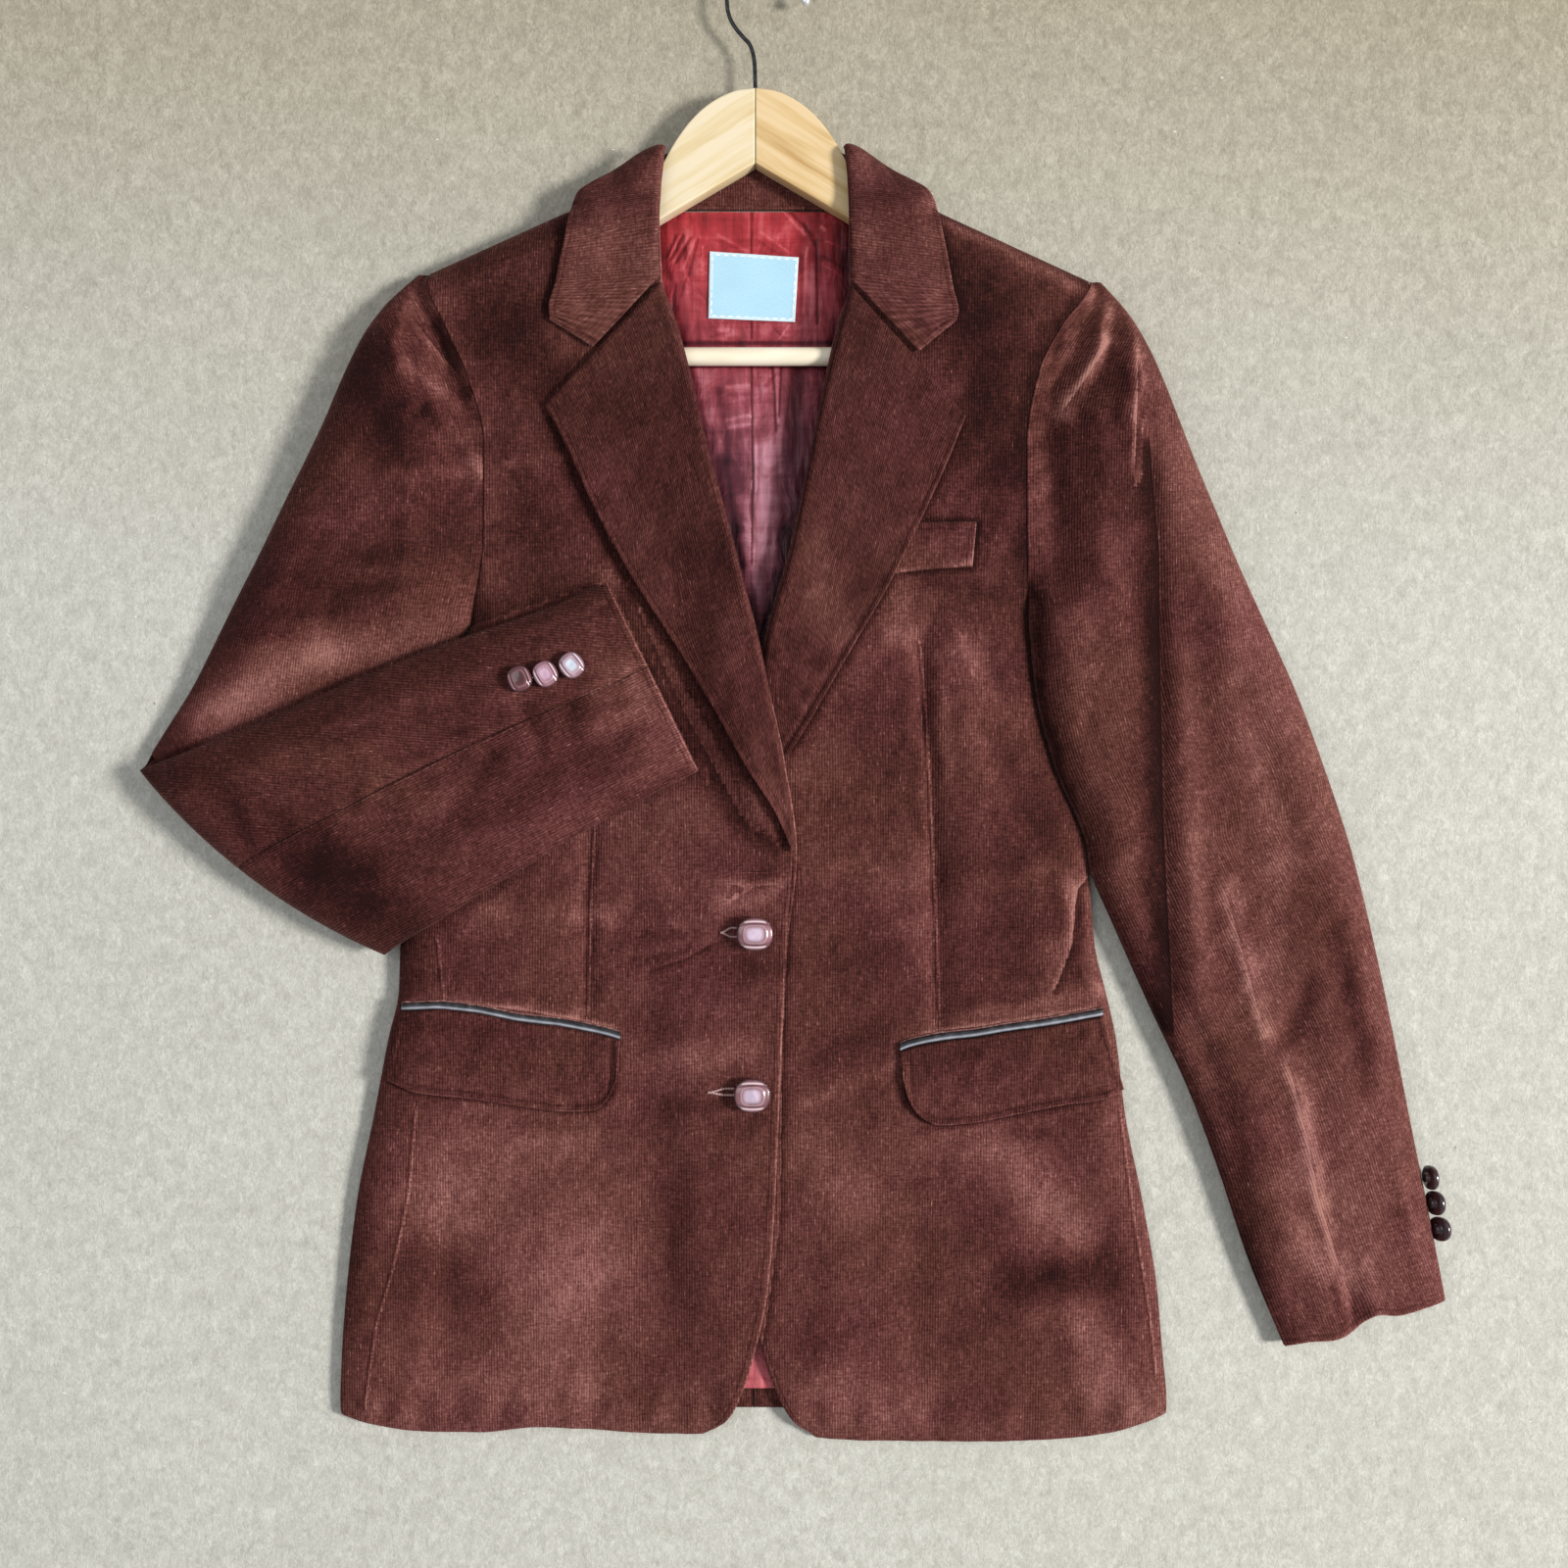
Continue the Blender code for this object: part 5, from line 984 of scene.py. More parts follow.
# Shadows that the pieces lying on the fronts leave round their edges: path, width, amount
OVERLAPS = [(points, (width, amount), (width, amount)) for points, width, amount in (
    (table_path(FLAP_LEFT, "low_x low_y"), 2.6, -0.34),
    (table_path(FLAP_RIGHT, "low_x low_y"), 2.6, -0.34),
    (table_path(LAPEL_RIGHT, "edge_x edge_y"), 3.0, -0.24),
    (table_path(LAPEL_LEFT, "edge_x edge_y"), 4.0, -0.28),
    ([(80.5, 507), (91, 537.4), (110, 537.8), (131.4, 538), (129, 510.4), (103, 508.8),
      (80.5, 506.4)], 2.2, -0.34),
    (table_path(COLLAR_LEFT, "edge_x edge_y", 3), 5.0, -0.3),
    (table_path(COLLAR_RIGHT, "edge_x edge_y", 3), 5.0, -0.26),
)]
SLOPE_LIGHT = (0.72, -0.69)  # painted light on slopes that face this way, towards the light, and painted shade on those that face away
SLOPE_TONE = 0.75
SLOPE_LIMIT = 0.35


def beside_path(x, y, points):
    """Distance to a path, positive on the left of its direction of travel, then the length
    run along it up to the nearest point, and its whole length."""
    best, nearest, run = np.full(np.shape(x), 99.0), np.zeros(np.shape(x)), 0.0
    for a, b in zip(points[:-1], points[1:]):
        dx, dy = b[0] - a[0], b[1] - a[1]
        length = math.hypot(dx, dy)
        t = np.clip(((x - a[0]) * dx + (y - a[1]) * dy) / length ** 2, 0, 1)
        off = np.hypot(x - a[0] - t * dx, y - a[1] - t * dy)
        side = np.sign(dx * (y - a[1]) - dy * (x - a[0]))
        nearer = off < np.abs(best)
        best = np.where(nearer, off * side, best)
        nearest = np.where(nearer, run + t * length, nearest)
        run += length
    return best, nearest, run


def seam_distance(x, y, kind):
    best = np.full(np.shape(x), 99.0)
    for points in SEAMS.get(kind, []):
        off, _, _ = beside_path(x, y, points)
        best = np.where(np.abs(off) < np.abs(best), off, best)
    return best


def edge_layers(x, y, kind):
    """Signed distance to the nearest crisp line, over its width on that side, and how much
    painted shade or highlight it has on its left and its right; it fades out at its ends."""
    reach, west, east = np.full(np.shape(x), 9.0), np.zeros(np.shape(x)), np.zeros(np.shape(x))
    lines = list(EDGES.get(kind, []))
    if kind == "front":
        lines += OVERLAPS
    for points, left, right in lines:
        off, along, length = beside_path(x, y, points)
        here = np.where(off >= 0, off / left[0], off / right[0])
        fade = smoothstep(along / FADE) * smoothstep((length - along) / FADE)
        nearer = np.abs(here) < np.abs(reach)
        reach = np.where(nearer, here, reach)
        west = np.where(nearer, left[1] * fade, west)
        east = np.where(nearer, right[1] * fade, east)
    return {"edge": reach, "west": west, "east": east}


def nap_and_shade_of(points, kind):
    """How light the nap lies, with painted shade and light: brushed strokes, a painted shadow by the right
    side edge, and slopes towards or from the light.
    """
    x, y = points[..., 0], points[..., 1]
    total = np.full(x.shape, TONE.get(kind, 0.0))
    wander_x = x + 3.0 * uneven(x, y, 38, 0.8)
    wander_y = y + 3.0 * uneven(x, y, 42, 1.9)
    for x0, y0, x1, y1, half_width, amount in STROKES.get(kind, []):
        off = distance_to_line(wander_x, wander_y, (x0, y0), (x1, y1))
        total = total + amount * bell(off / half_width)
    if kind == "front":
        # Painted shadow along the right front's side edge, under the sleeve's edge
        beside = body_edge("right", y) - x
        total = total - 0.26 * bell(beside / 7) * smoothstep((y - 330) / 40)
    # Painted light on slopes facing the light and painted shade on slopes facing away
    normal = grid_normals(points)
    normal = normal * np.where(normal[..., 2:] < 0, -1, 1)
    slope = normal[..., 0] * SLOPE_LIGHT[0] + normal[..., 1] * SLOPE_LIGHT[1]
    return total + SLOPE_TONE * slope / (1 + (slope / SLOPE_LIMIT) ** 2)


# ---- Materials ----

class Nodes:
    """Short calls that add shader nodes to one material."""

    def __init__(self, name):
        self.material = bpy.data.materials.new(name)
        self.material.use_nodes = True
        self.tree = self.material.node_tree
        self.shader = self.tree.nodes["Principled BSDF"]

    def node(self, kind, **inputs):
        node = self.tree.nodes.new("ShaderNode" + kind)
        for key, value in inputs.items():
            self.plug(node.inputs[key], value)
        return node

    def add(self, kind, *inputs, out=0, **settings):
        node = self.node(kind)
        for key, value in settings.items():
            setattr(node, key, value)
        for i, value in enumerate(inputs):
            self.plug(node.inputs[i], value)
        return node.outputs[out]

    def plug(self, socket, value):
        if value is None:
            return
        if isinstance(value, bpy.types.NodeSocket):
            self.tree.links.new(value, socket)
        elif isinstance(value, tuple) and len(value) == 3 and socket.type == "RGBA":
            socket.default_value = (*value, 1.0)
        else:
            socket.default_value = value

    def set(self, **values):
        for key, value in values.items():
            self.plug(self.shader.inputs[key.replace("_", " ")], value)

    def math(self, operation, *inputs, clamp=False):
        return self.add("Math", *inputs, operation=operation, use_clamp=clamp)

    def plus(self, a, b, **settings):
        return self.math("ADD", a, b, **settings)

    def minus(self, a, b, **settings):
        return self.math("SUBTRACT", a, b, **settings)

    def times(self, a, b, **settings):
        return self.math("MULTIPLY", a, b, **settings)

    def blend(self, a, b, c, **settings):
        """a times b, plus c."""
        return self.math("MULTIPLY_ADD", a, b, c, **settings)

    def bell(self, value):
        return self.math("EXPONENT", self.times(self.times(value, value), -1.0))

    def split(self, vector):
        node = self.node("SeparateXYZ", Vector=vector)
        return node.outputs[0], node.outputs[1]

    def mix(self, factor, a, b):
        node = self.node("Mix")
        node.data_type = "RGBA"
        for i, value in ((0, factor), (6, a), (7, b)):
            self.plug(node.inputs[i], value)
        return node.outputs[2]

    def noise(self, place, stretch, detail=2.0, rough=0.5, distortion=0.0):
        """Noise in stretched space; stretch holds x, y and maybe z and a turn."""
        return self.node("TexNoise", Vector=self.stretched(place, *stretch), Scale=1.0,
                         Detail=detail, Roughness=rough, Distortion=distortion).outputs[0]

    def stretched(self, place, x, y, z=1.0, turn=0.0):
        return self.node("Mapping", Rotation=(0, 0, math.radians(turn)), Scale=(x, y, z),
                         Vector=place).outputs[0]

    def ramp(self, factor, *stops):
        node = self.node("ValToRGB")
        elements = node.color_ramp.elements
        while len(elements) < len(stops):
            elements.new(0.5)
        for element, (position, colour) in zip(elements, stops):
            element.position = position
            element.color = (*colour, 1.0)
        self.plug(node.inputs[0], factor)
        return node.outputs[0]

    def bump(self, height, distance, strength=1.0, normal=None):
        return self.node("Bump", Strength=strength, Distance=distance, Height=height,
                         Normal=normal).outputs[0]

    def value_of(self, name):
        return self.add("Attribute", attribute_name=name, out=2)

    def objects(self):
        return self.add("TexCoord", out=3)

    def uv(self):
        return self.add("UVMap", uv_map="grain")


def band(n, distance, centre, half_width):
    """1 at a distance from a border, fading to 0 over half_width."""
    off = n.math("ABSOLUTE", n.minus(distance, centre))
    return n.minus(1.0, n.math("DIVIDE", off, half_width), clamp=True)


WALE = 0.00155  # spacing of the corduroy's wales, in metres


def velvet():
    """Fine corduroy with a velvet nap, brushed in patches and worn along the edges, and with painted shade
    and highlights.
    """
    n = Nodes("corduroy_velvet_cloth")
    grain = n.uv()
    across, _ = n.split(grain)
    place = n.objects()
    wobble = n.noise(grain, (90, 30), 2.0)
    phase = n.plus(n.times(across, 2 * math.pi / WALE),
                   n.times(wobble, 5.0))
    wale = n.blend(n.math("SINE", phase), 0.5, 0.5)
    strong = n.noise(grain, (120, 40), 2.0, 0.6)
    lengthwise = n.noise(grain, (820, 130), 2.0, 0.55)
    crosswise = n.noise(grain, (200, 900), 2.0, 0.55)
    grit = n.noise(grain, (640, 520), 2.0, 0.7)
    blotches = n.noise(place, (95, 80, 60), 3.0, 0.6, 0.5)
    brushed = n.noise(place, (34, 26, 20), 3.0, 0.55, 0.8)
    broad = n.noise(place, (11, 8, 9), 2.0, 0.5, 0.6)
    hue = n.noise(place, (9, 13, 9), 2.0, 0.5, 0.4)
    nap, line = n.value_of("nap"), n.value_of("line")
    hem, seam = n.value_of("hem"), n.value_of("seam")
    # Painted shade and highlights: the nap attribute and the crisp lines of the edge attributes set the
    # tone
    edge = n.value_of("edge")
    near_edge = n.bell(edge)
    sides = n.minus(n.value_of("west"), n.value_of("east"))
    amount = n.blend(n.math("GREATER_THAN", edge, 0.0), sides, n.value_of("east"))
    tone = n.blend(near_edge, amount, n.plus(0.42, nap))
    for texture, weight in ((broad, 0.14), (brushed, 0.18), (blotches, 0.22), (lengthwise, 0.52),
                            (crosswise, 0.5), (grit, 0.62)):
        tone = n.blend(n.minus(texture, 0.5), weight, tone)
    ribs = n.times(n.minus(wale, 0.55), strong)
    tone = n.blend(ribs, 0.3, tone)
    fleck = n.noise(grain, (1500, 190), 1.0)
    fleck = n.times(n.minus(fleck, 0.64), 3.0, clamp=True)
    tone = n.plus(tone, fleck)
    fray = n.times(band(n, hem, 0.3, 1.5), n.blend(grit, 0.7, -0.05))
    tone = n.plus(tone, fray)
    # Painted shade in the stitched groove near the free edges
    tone = n.minus(tone, n.times(band(n, hem, 4.6, 0.9), 0.12))
    # Painted shade along the sewn borders
    tone = n.minus(tone, n.times(band(n, seam, 0.0, 2.0), 0.22))
    # Painted shade on one side of the dart and seam lines
    tone = n.minus(tone, n.times(band(n, line, -0.9, 1.3), 0.15))
    # Painted highlight on the other side of those lines
    pale_line = n.times(band(n, line, 0.9, 1.1), n.blend(grit, 1.1, -0.34))
    tone = n.plus(tone, pale_line, clamp=True)
    red = n.ramp(tone, (0.0, (0.013, 0.0022, 0.0022)), (0.25, (0.042, 0.0092, 0.0084)),
                 (0.45, (0.082, 0.0222, 0.0205)), (0.65, (0.142, 0.0475, 0.0435)),
                 (1.0, (0.33, 0.145, 0.129)))
    brown = n.ramp(tone, (0.0, (0.014, 0.003, 0.0022)), (0.25, (0.044, 0.0112, 0.0084)),
                   (0.45, (0.085, 0.0258, 0.02)), (0.65, (0.143, 0.053, 0.0425)),
                   (1.0, (0.33, 0.152, 0.123)))
    share = n.blend(n.minus(hue, 0.5), 3.0, 0.5, clamp=True)
    height = n.blend(grit, 0.6, wale)
    height = n.plus(height, n.times(crosswise, 0.5))
    normal = n.bump(height, 0.0003, 0.6)
    puckers = n.noise(place, (150, 150, 150), 2.0, 0.5)
    near = n.math("MAXIMUM", band(n, seam, 0.0, 14.0), band(n, hem, 0.0, 10.0))
    near = n.math("MAXIMUM", near, n.times(band(n, line, 0.0, 9.0), 0.8))
    relief = n.times(puckers, near)
    relief = n.minus(relief, n.times(band(n, hem, 4.6, 1.0), 0.35))
    relief = n.minus(relief, n.times(band(n, line, 0.0, 1.3), 0.35))
    relief = n.blend(blotches, 0.6, relief)
    relief = n.blend(brushed, 0.8, relief)
    normal = n.bump(relief, 0.0013, 0.6, normal)
    n.set(Base_Color=n.mix(share, red, brown), Roughness=0.92, Normal=normal,
          Sheen_Weight=0.22, Sheen_Roughness=0.35, Sheen_Tint=(0.9, 0.45, 0.38),
          Specular_IOR_Level=0.12)
    return n.material


def satin():
    """Lining satin, red at the neck and the hem and mauve between, a shift that partly paints shade, with
    crushed folds and their painted light and dark.
    """
    n = Nodes("satin_lining_cloth")
    place = n.objects()
    _, y = n.split(place)
    up = n.blend(y, 1.0 / 0.13, -1.1, clamp=True)
    down = n.blend(y, -10.0, -2.8, clamp=True)
    up = n.math("MAXIMUM", up, n.times(down, 0.75))
    crush = n.noise(place, (60, 34, 40), 3.0, 0.6, 1.4)
    streak = n.noise(place, (170, 12, 40), 3.0, 0.6, 0.3)
    cross = n.noise(place, (22, 190, 40), 3.0, 0.6, 0.5)
    ply = n.blend(streak, 0.32, n.times(crush, 0.44))
    ply = n.blend(cross, 0.22, ply)
    # Painted shade and highlights from the shade attribute
    tone = n.plus(ply, n.value_of("shade"))
    red = n.ramp(tone, (0.1, (0.03, 0.0016, 0.003)), (0.36, (0.16, 0.0095, 0.013)),
                 (0.5, (0.34, 0.029, 0.036)), (0.66, (0.56, 0.11, 0.12)))
    mauve = n.ramp(tone, (0.1, (0.016, 0.0034, 0.007)), (0.36, (0.082, 0.018, 0.028)),
                   (0.5, (0.205, 0.057, 0.076)), (0.66, (0.42, 0.185, 0.23)))
    weave = n.noise(place, (3000, 2600, 900), 1.0)
    normal = n.bump(weave, 0.0001, 0.25)
    normal = n.bump(ply, 0.0045, 0.6, normal)
    n.set(Base_Color=n.mix(up, mauve, red), Roughness=0.38, Normal=normal,
          Sheen_Weight=0.05, Sheen_Roughness=0.3, Sheen_Tint=(1.0, 0.5, 0.5),
          Specular_IOR_Level=0.35, Specular_Tint=(1.0, 0.6, 0.62))
    return n.material


def label_cloth():
    """Pale blue woven satin with a white sewn border."""
    n = Nodes("label_satin_cloth")
    grain = n.uv()
    hem = n.value_of("hem")
    ribs = n.add("TexWave", n.stretched(grain, 1, 1), 900.0, 0.0, bands_direction="Y")
    weave = n.noise(grain, (2600, 900), 2.0, 0.6)
    colour = n.ramp(weave, (0.3, (0.34, 0.58, 0.72)), (0.7, (0.49, 0.75, 0.88)))
    border = band(n, hem, 0.0, 2.4)
    colour = n.mix(n.times(border, 0.85), colour, (0.78, 0.84, 0.86))
    pale_line = n.times(band(n, hem, 1.8, 0.7), n.add(
        "TexChecker", n.stretched(grain, 420, 420), (1, 1, 1), (0, 0, 0), 1.0, out=1))
    colour = n.mix(pale_line, colour, (0.93, 0.95, 0.96))
    height = n.blend(ribs, 0.5, weave)
    normal = n.bump(n.plus(height, n.times(pale_line, 2.0)), 0.00018, 0.6)
    n.set(Base_Color=colour, Roughness=0.45, Normal=normal, Sheen_Weight=0.2,
          Sheen_Roughness=0.4)
    return n.material


def leather():
    """Dark glossy piping with a painted highlight along its crown."""
    n = Nodes("piping_leather_grain")
    place = n.objects()
    cells = n.add("TexVoronoi", n.stretched(place, 1, 1), None, 1500.0)
    dust = n.noise(place, (160, 160), 3.0, 0.6)
    colour = n.ramp(dust, (0.38, (0.012, 0.012, 0.014)), (0.6, (0.03, 0.031, 0.034)),
                    (0.78, (0.12, 0.12, 0.13)))
    # Painted highlight along the crown of the piping
    crest_highlight = n.times(n.bell(n.value_of("shade")), n.blend(dust, 1.0, 0.35))
    colour = n.mix(crest_highlight, colour, (0.36, 0.37, 0.42))
    normal = n.bump(cells, 0.00008, 0.3)
    n.set(Base_Color=colour, Roughness=0.42, Normal=normal, Coat_Weight=0.15,
          Coat_Roughness=0.25, Specular_IOR_Level=0.3)
    return n.material


def resin(name, rim, face, line):
    """Pearly button resin: a dark rim, darkened further by painted shade at the edge, the sides and the
    grooves, a paler face, and pale lines that are painted highlights.
    """
    n = Nodes("button_resin_" + name)
    place = n.objects()
    cloud = n.noise(place, (120, 80, 120), 2.0, 0.5, 0.8)
    darker = tuple(0.6 * value for value in rim)
    colour = n.ramp(cloud, (0.36, darker), (0.62, rim))
    dim = tuple(0.72 * value for value in face)
    colour = n.mix(n.value_of("face"), colour, n.ramp(cloud, (0.36, dim), (0.6, face)))
    colour = n.mix(n.value_of("groove"), colour, line)
    colour = n.mix(n.value_of("rim"), colour, tuple(0.22 * value for value in rim))
    n.set(Base_Color=colour, Roughness=0.22, Coat_Weight=0.6, Coat_Roughness=0.1,
          Specular_IOR_Level=0.5)
    return n.material


def wood(name, turn, pale, middle, deep):
    """Sanded pale wood; turn is the direction of its grain, in degrees."""
    n = Nodes(name)
    place = n.stretched(n.objects(), 1, 1, 1, -turn)
    warp = n.noise(place, (14, 30, 14), 2.0)
    moved = n.add("VectorMath", place, n.add("VectorMath", warp, (0.0, 0.014, 0.0),
                                             operation="MULTIPLY"), operation="ADD")
    bands = n.noise(moved, (7, 150, 20), 3.0, 0.55)
    fibres = n.noise(place, (60, 1500, 200), 3.0, 0.6)
    blotch = n.noise(place, (22, 60, 16), 2.0)
    tone = n.blend(bands, 0.75, n.times(fibres, 0.14))
    tone = n.blend(blotch, 0.22, tone)
    colour = n.ramp(tone, (0.4, deep), (0.52, middle), (0.62, pale))
    normal = n.bump(fibres, 0.0001, 0.3)
    n.set(Base_Color=colour, Roughness=0.5, Normal=normal, Coat_Weight=0.1,
          Coat_Roughness=0.35)
    return n.material


def ivory():
    n = Nodes("ivory_bar_smooth")
    cloud = n.noise(n.objects(), (20, 90, 90), 2.0)
    colour = n.ramp(cloud, (0.35, (0.8, 0.7, 0.52)), (0.65, (0.93, 0.86, 0.7)))
    n.set(Base_Color=colour, Roughness=0.35, Coat_Weight=0.2, Coat_Roughness=0.2)
    return n.material


def dark_wire():
    n = Nodes("dark_wire_worn")
    wear = n.noise(n.objects(), (400, 400, 400), 3.0, 0.6)
    colour = n.ramp(wear, (0.4, (0.022, 0.022, 0.025)), (0.7, (0.06, 0.06, 0.066)))
    colour = n.mix(n.value_of("tip"), colour, (0.8, 0.81, 0.83))
    n.set(Base_Color=colour, Roughness=0.3, Metallic=0.7)
    return n.material


def paper():
    """Pale fibrous paper, with painted shade that makes it darker and warmer towards the top and a little
    towards the right.
    """
    n = Nodes("pale_paper")
    place = n.objects()
    x, y = n.split(place)
    fibre = n.noise(place, (520, 270, 1, 20), 4.0, 0.75, 1.4)
    coarse = n.noise(place, (130, 95, 1), 3.0, 0.65, 0.6)
    cloud = n.noise(place, (7, 7, 1), 2.0)
    tone = n.blend(fibre, 0.7, n.times(coarse, 0.34))
    tone = n.blend(cloud, 0.08, tone)
    light = n.ramp(tone, (0.38, (0.345, 0.335, 0.29)), (0.56, (0.475, 0.466, 0.412)),
                   (0.72, (0.62, 0.613, 0.552)))
    shaded_paper = n.ramp(tone, (0.38, (0.19, 0.16, 0.102)), (0.56, (0.3, 0.26, 0.18)),
                  (0.72, (0.425, 0.376, 0.272)))
    # Painted shade: the paper turns to its darker, warmer colouring towards the top and a little towards
    # the right
    paper_shade_share = n.blend(x, 0.14, n.blend(y, 2.4, -0.16), clamp=True)
    colour = n.mix(paper_shade_share, light, shaded_paper)
    lint = n.add("TexVoronoi", n.stretched(place, 26, 60, 1, 30), None, 1.0)
    colour = n.mix(n.times(n.math("LESS_THAN", lint, 0.022), 0.8), colour,
                   (0.8, 0.8, 0.76))
    bits = n.add("TexVoronoi", n.stretched(place, 31, 17, 1, 70), None, 1.0)
    colour = n.mix(n.times(n.math("LESS_THAN", bits, 0.016), 0.7), colour,
                   (0.14, 0.12, 0.1))
    normal = n.bump(fibre, 0.0006, 0.5)
    n.set(Base_Color=colour, Roughness=0.92, Normal=normal)
    return n.material


def cut_thread():
    """Pale frayed thread of the buttonholes."""
    n = Nodes("buttonhole_thread")
    fray = n.noise(n.objects(), (1500, 1500, 1500), 3.0, 0.6)
    colour = n.ramp(fray, (0.35, (0.24, 0.11, 0.1)), (0.65, (0.58, 0.38, 0.36)))
    n.set(Base_Color=colour, Roughness=0.85, Normal=n.bump(fray, 0.0003, 0.8),
          Sheen_Weight=0.3)
    return n.material


def worn_edge():
    """The velvet's edge above a pocket, rubbed pale."""
    n = Nodes("corduroy_worn_edge")
    rub = n.noise(n.objects(), (380, 900, 600), 3.0, 0.7)
    colour = n.ramp(rub, (0.32, (0.08, 0.026, 0.023)), (0.52, (0.19, 0.082, 0.074)),
                    (0.72, (0.42, 0.24, 0.215)))
    n.set(Base_Color=colour, Roughness=0.95, Normal=n.bump(rub, 0.0004, 0.9),
          Specular_IOR_Level=0.1)
    return n.material


# ---- Pieces ----

def rows_between(low, high, step, special=()):
    """Evenly spaced rows, with the nearest ones moved onto special values."""
    rows = np.linspace(low, high, int(round(abs(high - low) / step)) + 1)
    for value in special:
        rows[np.argmin(np.abs(rows - value))] = value
    return rows[:, None]


def shares(count, starts=(), ends=()):
    """Columns from 0 to 1, with close ones at the start and the end."""
    first = starts[-1] if starts else 0.0
    last = 1 - ends[-1] if ends else 1.0
    middle = np.linspace(first, last, count)
    close_end = [1 - t for t in ends[::-1][1:]]
    return np.concatenate([list(starts[:-1]), middle, close_end])[None, :]


CLOSE = (0.0, 0.003, 0.008, 0.015, 0.024, 0.035)
CLOSE_SLEEVE = (0.0, 0.008, 0.02, 0.036, 0.056, 0.08)


def front_relief(x, y):
    """Creases, puckers and unevenness of a front, on top of the solid's form."""
    side = from_side(x, y)
    relief = creases(x, y, FRONT_CREASES)
    relief = relief + 0.35 * uneven(x, y, 60, 0.9) + 0.16 * uneven(x, y, 24, 1.7)
    relief = relief + 0.16 * uneven(x, y, 11, 2.9)
    relief = relief * smoothstep(side / 9)
    hem_line = y - HEM("rise", x) * smoothstep(1 - y / HEM_REACH)
    relief = relief + puckers(hem_line - 14, x, 23, 0.5, 14) * smoothstep(side / 12)
    armhole = (1 - side_share(y)) * smoothstep((676 - y) / 20)
    return relief + puckers(side, y, 16, 0.35, 9) * armhole


def front_top(side, x, y):
    relief = front_relief(x, y)
    if side == "left":
        return pressed_to(PRESSED, body_height(x, y) + lap(x, y) + relief, x, y)
    return pressed_to(PRESSED - SHELL - 2 * REST, body_height(x, y) + relief, x, y)


def build_fronts(cloth):
    for side in ("left", "right"):
        point = SHOULDERS[side][1][1]
        rows = rows_between(0, FRONT_TOP, 3.1, (point - 9, point, *UNDERARM))
        share = shares(72, CLOSE, (0.0, 0.008, 0.018))
        y = rows + 0 * share
        for _ in range(3):
            start, end = body_edge(side, y), BODY(side + "_front", y)
            x = start + (end - start) * share
            y = rows + HEM("rise", x) * smoothstep(1 - rows / HEM_REACH)
        z = front_top(side, x, y)
        edge = edge_share(side, rows)
        z[:, 0] += edge * SEAM / 2
        outer = stack(x, y, z)
        inner = inner_face(outer, SHELL, edge_mask(z.shape, edge),
                           edge_mask(z.shape, 1 - edge))
        cloth_shell("front_" + side, outer, inner, outer[..., :2], cloth,
                    (None, None, "seam", "hem"), "laid")


def build_backs(cloth):
    for side, sign in (("left", -1), ("right", 1)):
        point = SHOULDERS[side][1][1]
        rows = rows_between(BACK_HEM, NECKLINE - 3.5, 9, (point - 9, point, *UNDERARM))
        share = shares(30, (0.0, 0.004, 0.01, 0.02, 0.035, 0.055))
        start = body_edge(side, rows)
        x = start + (sign * SEAM / 2 - start) * share
        y = rows + 0 * share
        z = under_height(x, y)
        edge = edge_share(side, rows)
        z[:, 0] -= edge * SEAM / 2
        outer = stack(x, y, np.maximum(z, 0))
        inner = inner_face(outer, BACK_SHELL, edge_mask(z.shape, edge),
                           edge_mask(z.shape, 1 - edge), down=True)
        cloth_shell("back_" + side, outer, inner, outer[..., :2], cloth,
                    (None, None, "seam", "seam"), "laid")


SLEEVE_OVERLAP = 2.6  # how far the sleeve's rolled edge leans over the body's side
SLEEVE_RISE = 1.7  # and how much higher it lies there
CUFF_END = 54  # the right sleeve's inner edge ends here
ARM_END = 308  # where the left arm's top cloth ends over the forearm
FOLD_LOW = 284.5  # and where its under cloth turns at the fold


def sleeve_lines(table, side, up, lean=0.0):
    """Inner and outer points of each row, and the share of a rolled inner edge."""
    share = side_share(up)
    sign = -1 if side == "left" else 1
    beside = body_edge(side, up) + sign * (SEAM + (1.2 + SEAM - lean) * share)
    inner = table("inner", up)
    inner = np.minimum(inner, beside) if side == "left" else np.maximum(inner, beside)
    inner = np.where(share < 1, beside, inner)
    return inner, table("outer", up), table("outer_up", up), share


def sleeve_masks(shape, share, folded=0.0):
    level, plumb = np.zeros(shape), np.zeros(shape)
    level[-1, :] = folded
    level[:, 0] = share[:, 0]
    level[:, -1] = 1
    level[0, :] = 1
    plumb[1:, 0] = 1 - share[1:, 0]
    return level, plumb


def sleeve_sheet(name, x, y, z, up, lines, columns, cloth, down, folded, end):
    """Makes the top or the under cloth of a sleeve from its face."""
    inner, width, share = lines
    z = seam_gap(z, share, -1 if down else 1)
    if not down:
        z[:, 0] += SLEEVE_RISE * share[:, 0]
    points = stack(x, y, z)
    grain = stack(columns * width, run_along(inner, up))
    level, plumb = sleeve_masks(points.shape[:2], share, folded)
    thickness = (SLEEVE_SHELL * np.clip(width / 34, 0.3, 1))[..., None]
    back = inner_face(points, thickness, level, plumb, down)
    cloth_shell(name + ("under" if down else "top"), points, back, grain, cloth,
                ("seam", end, "seam", "seam"), "laid")


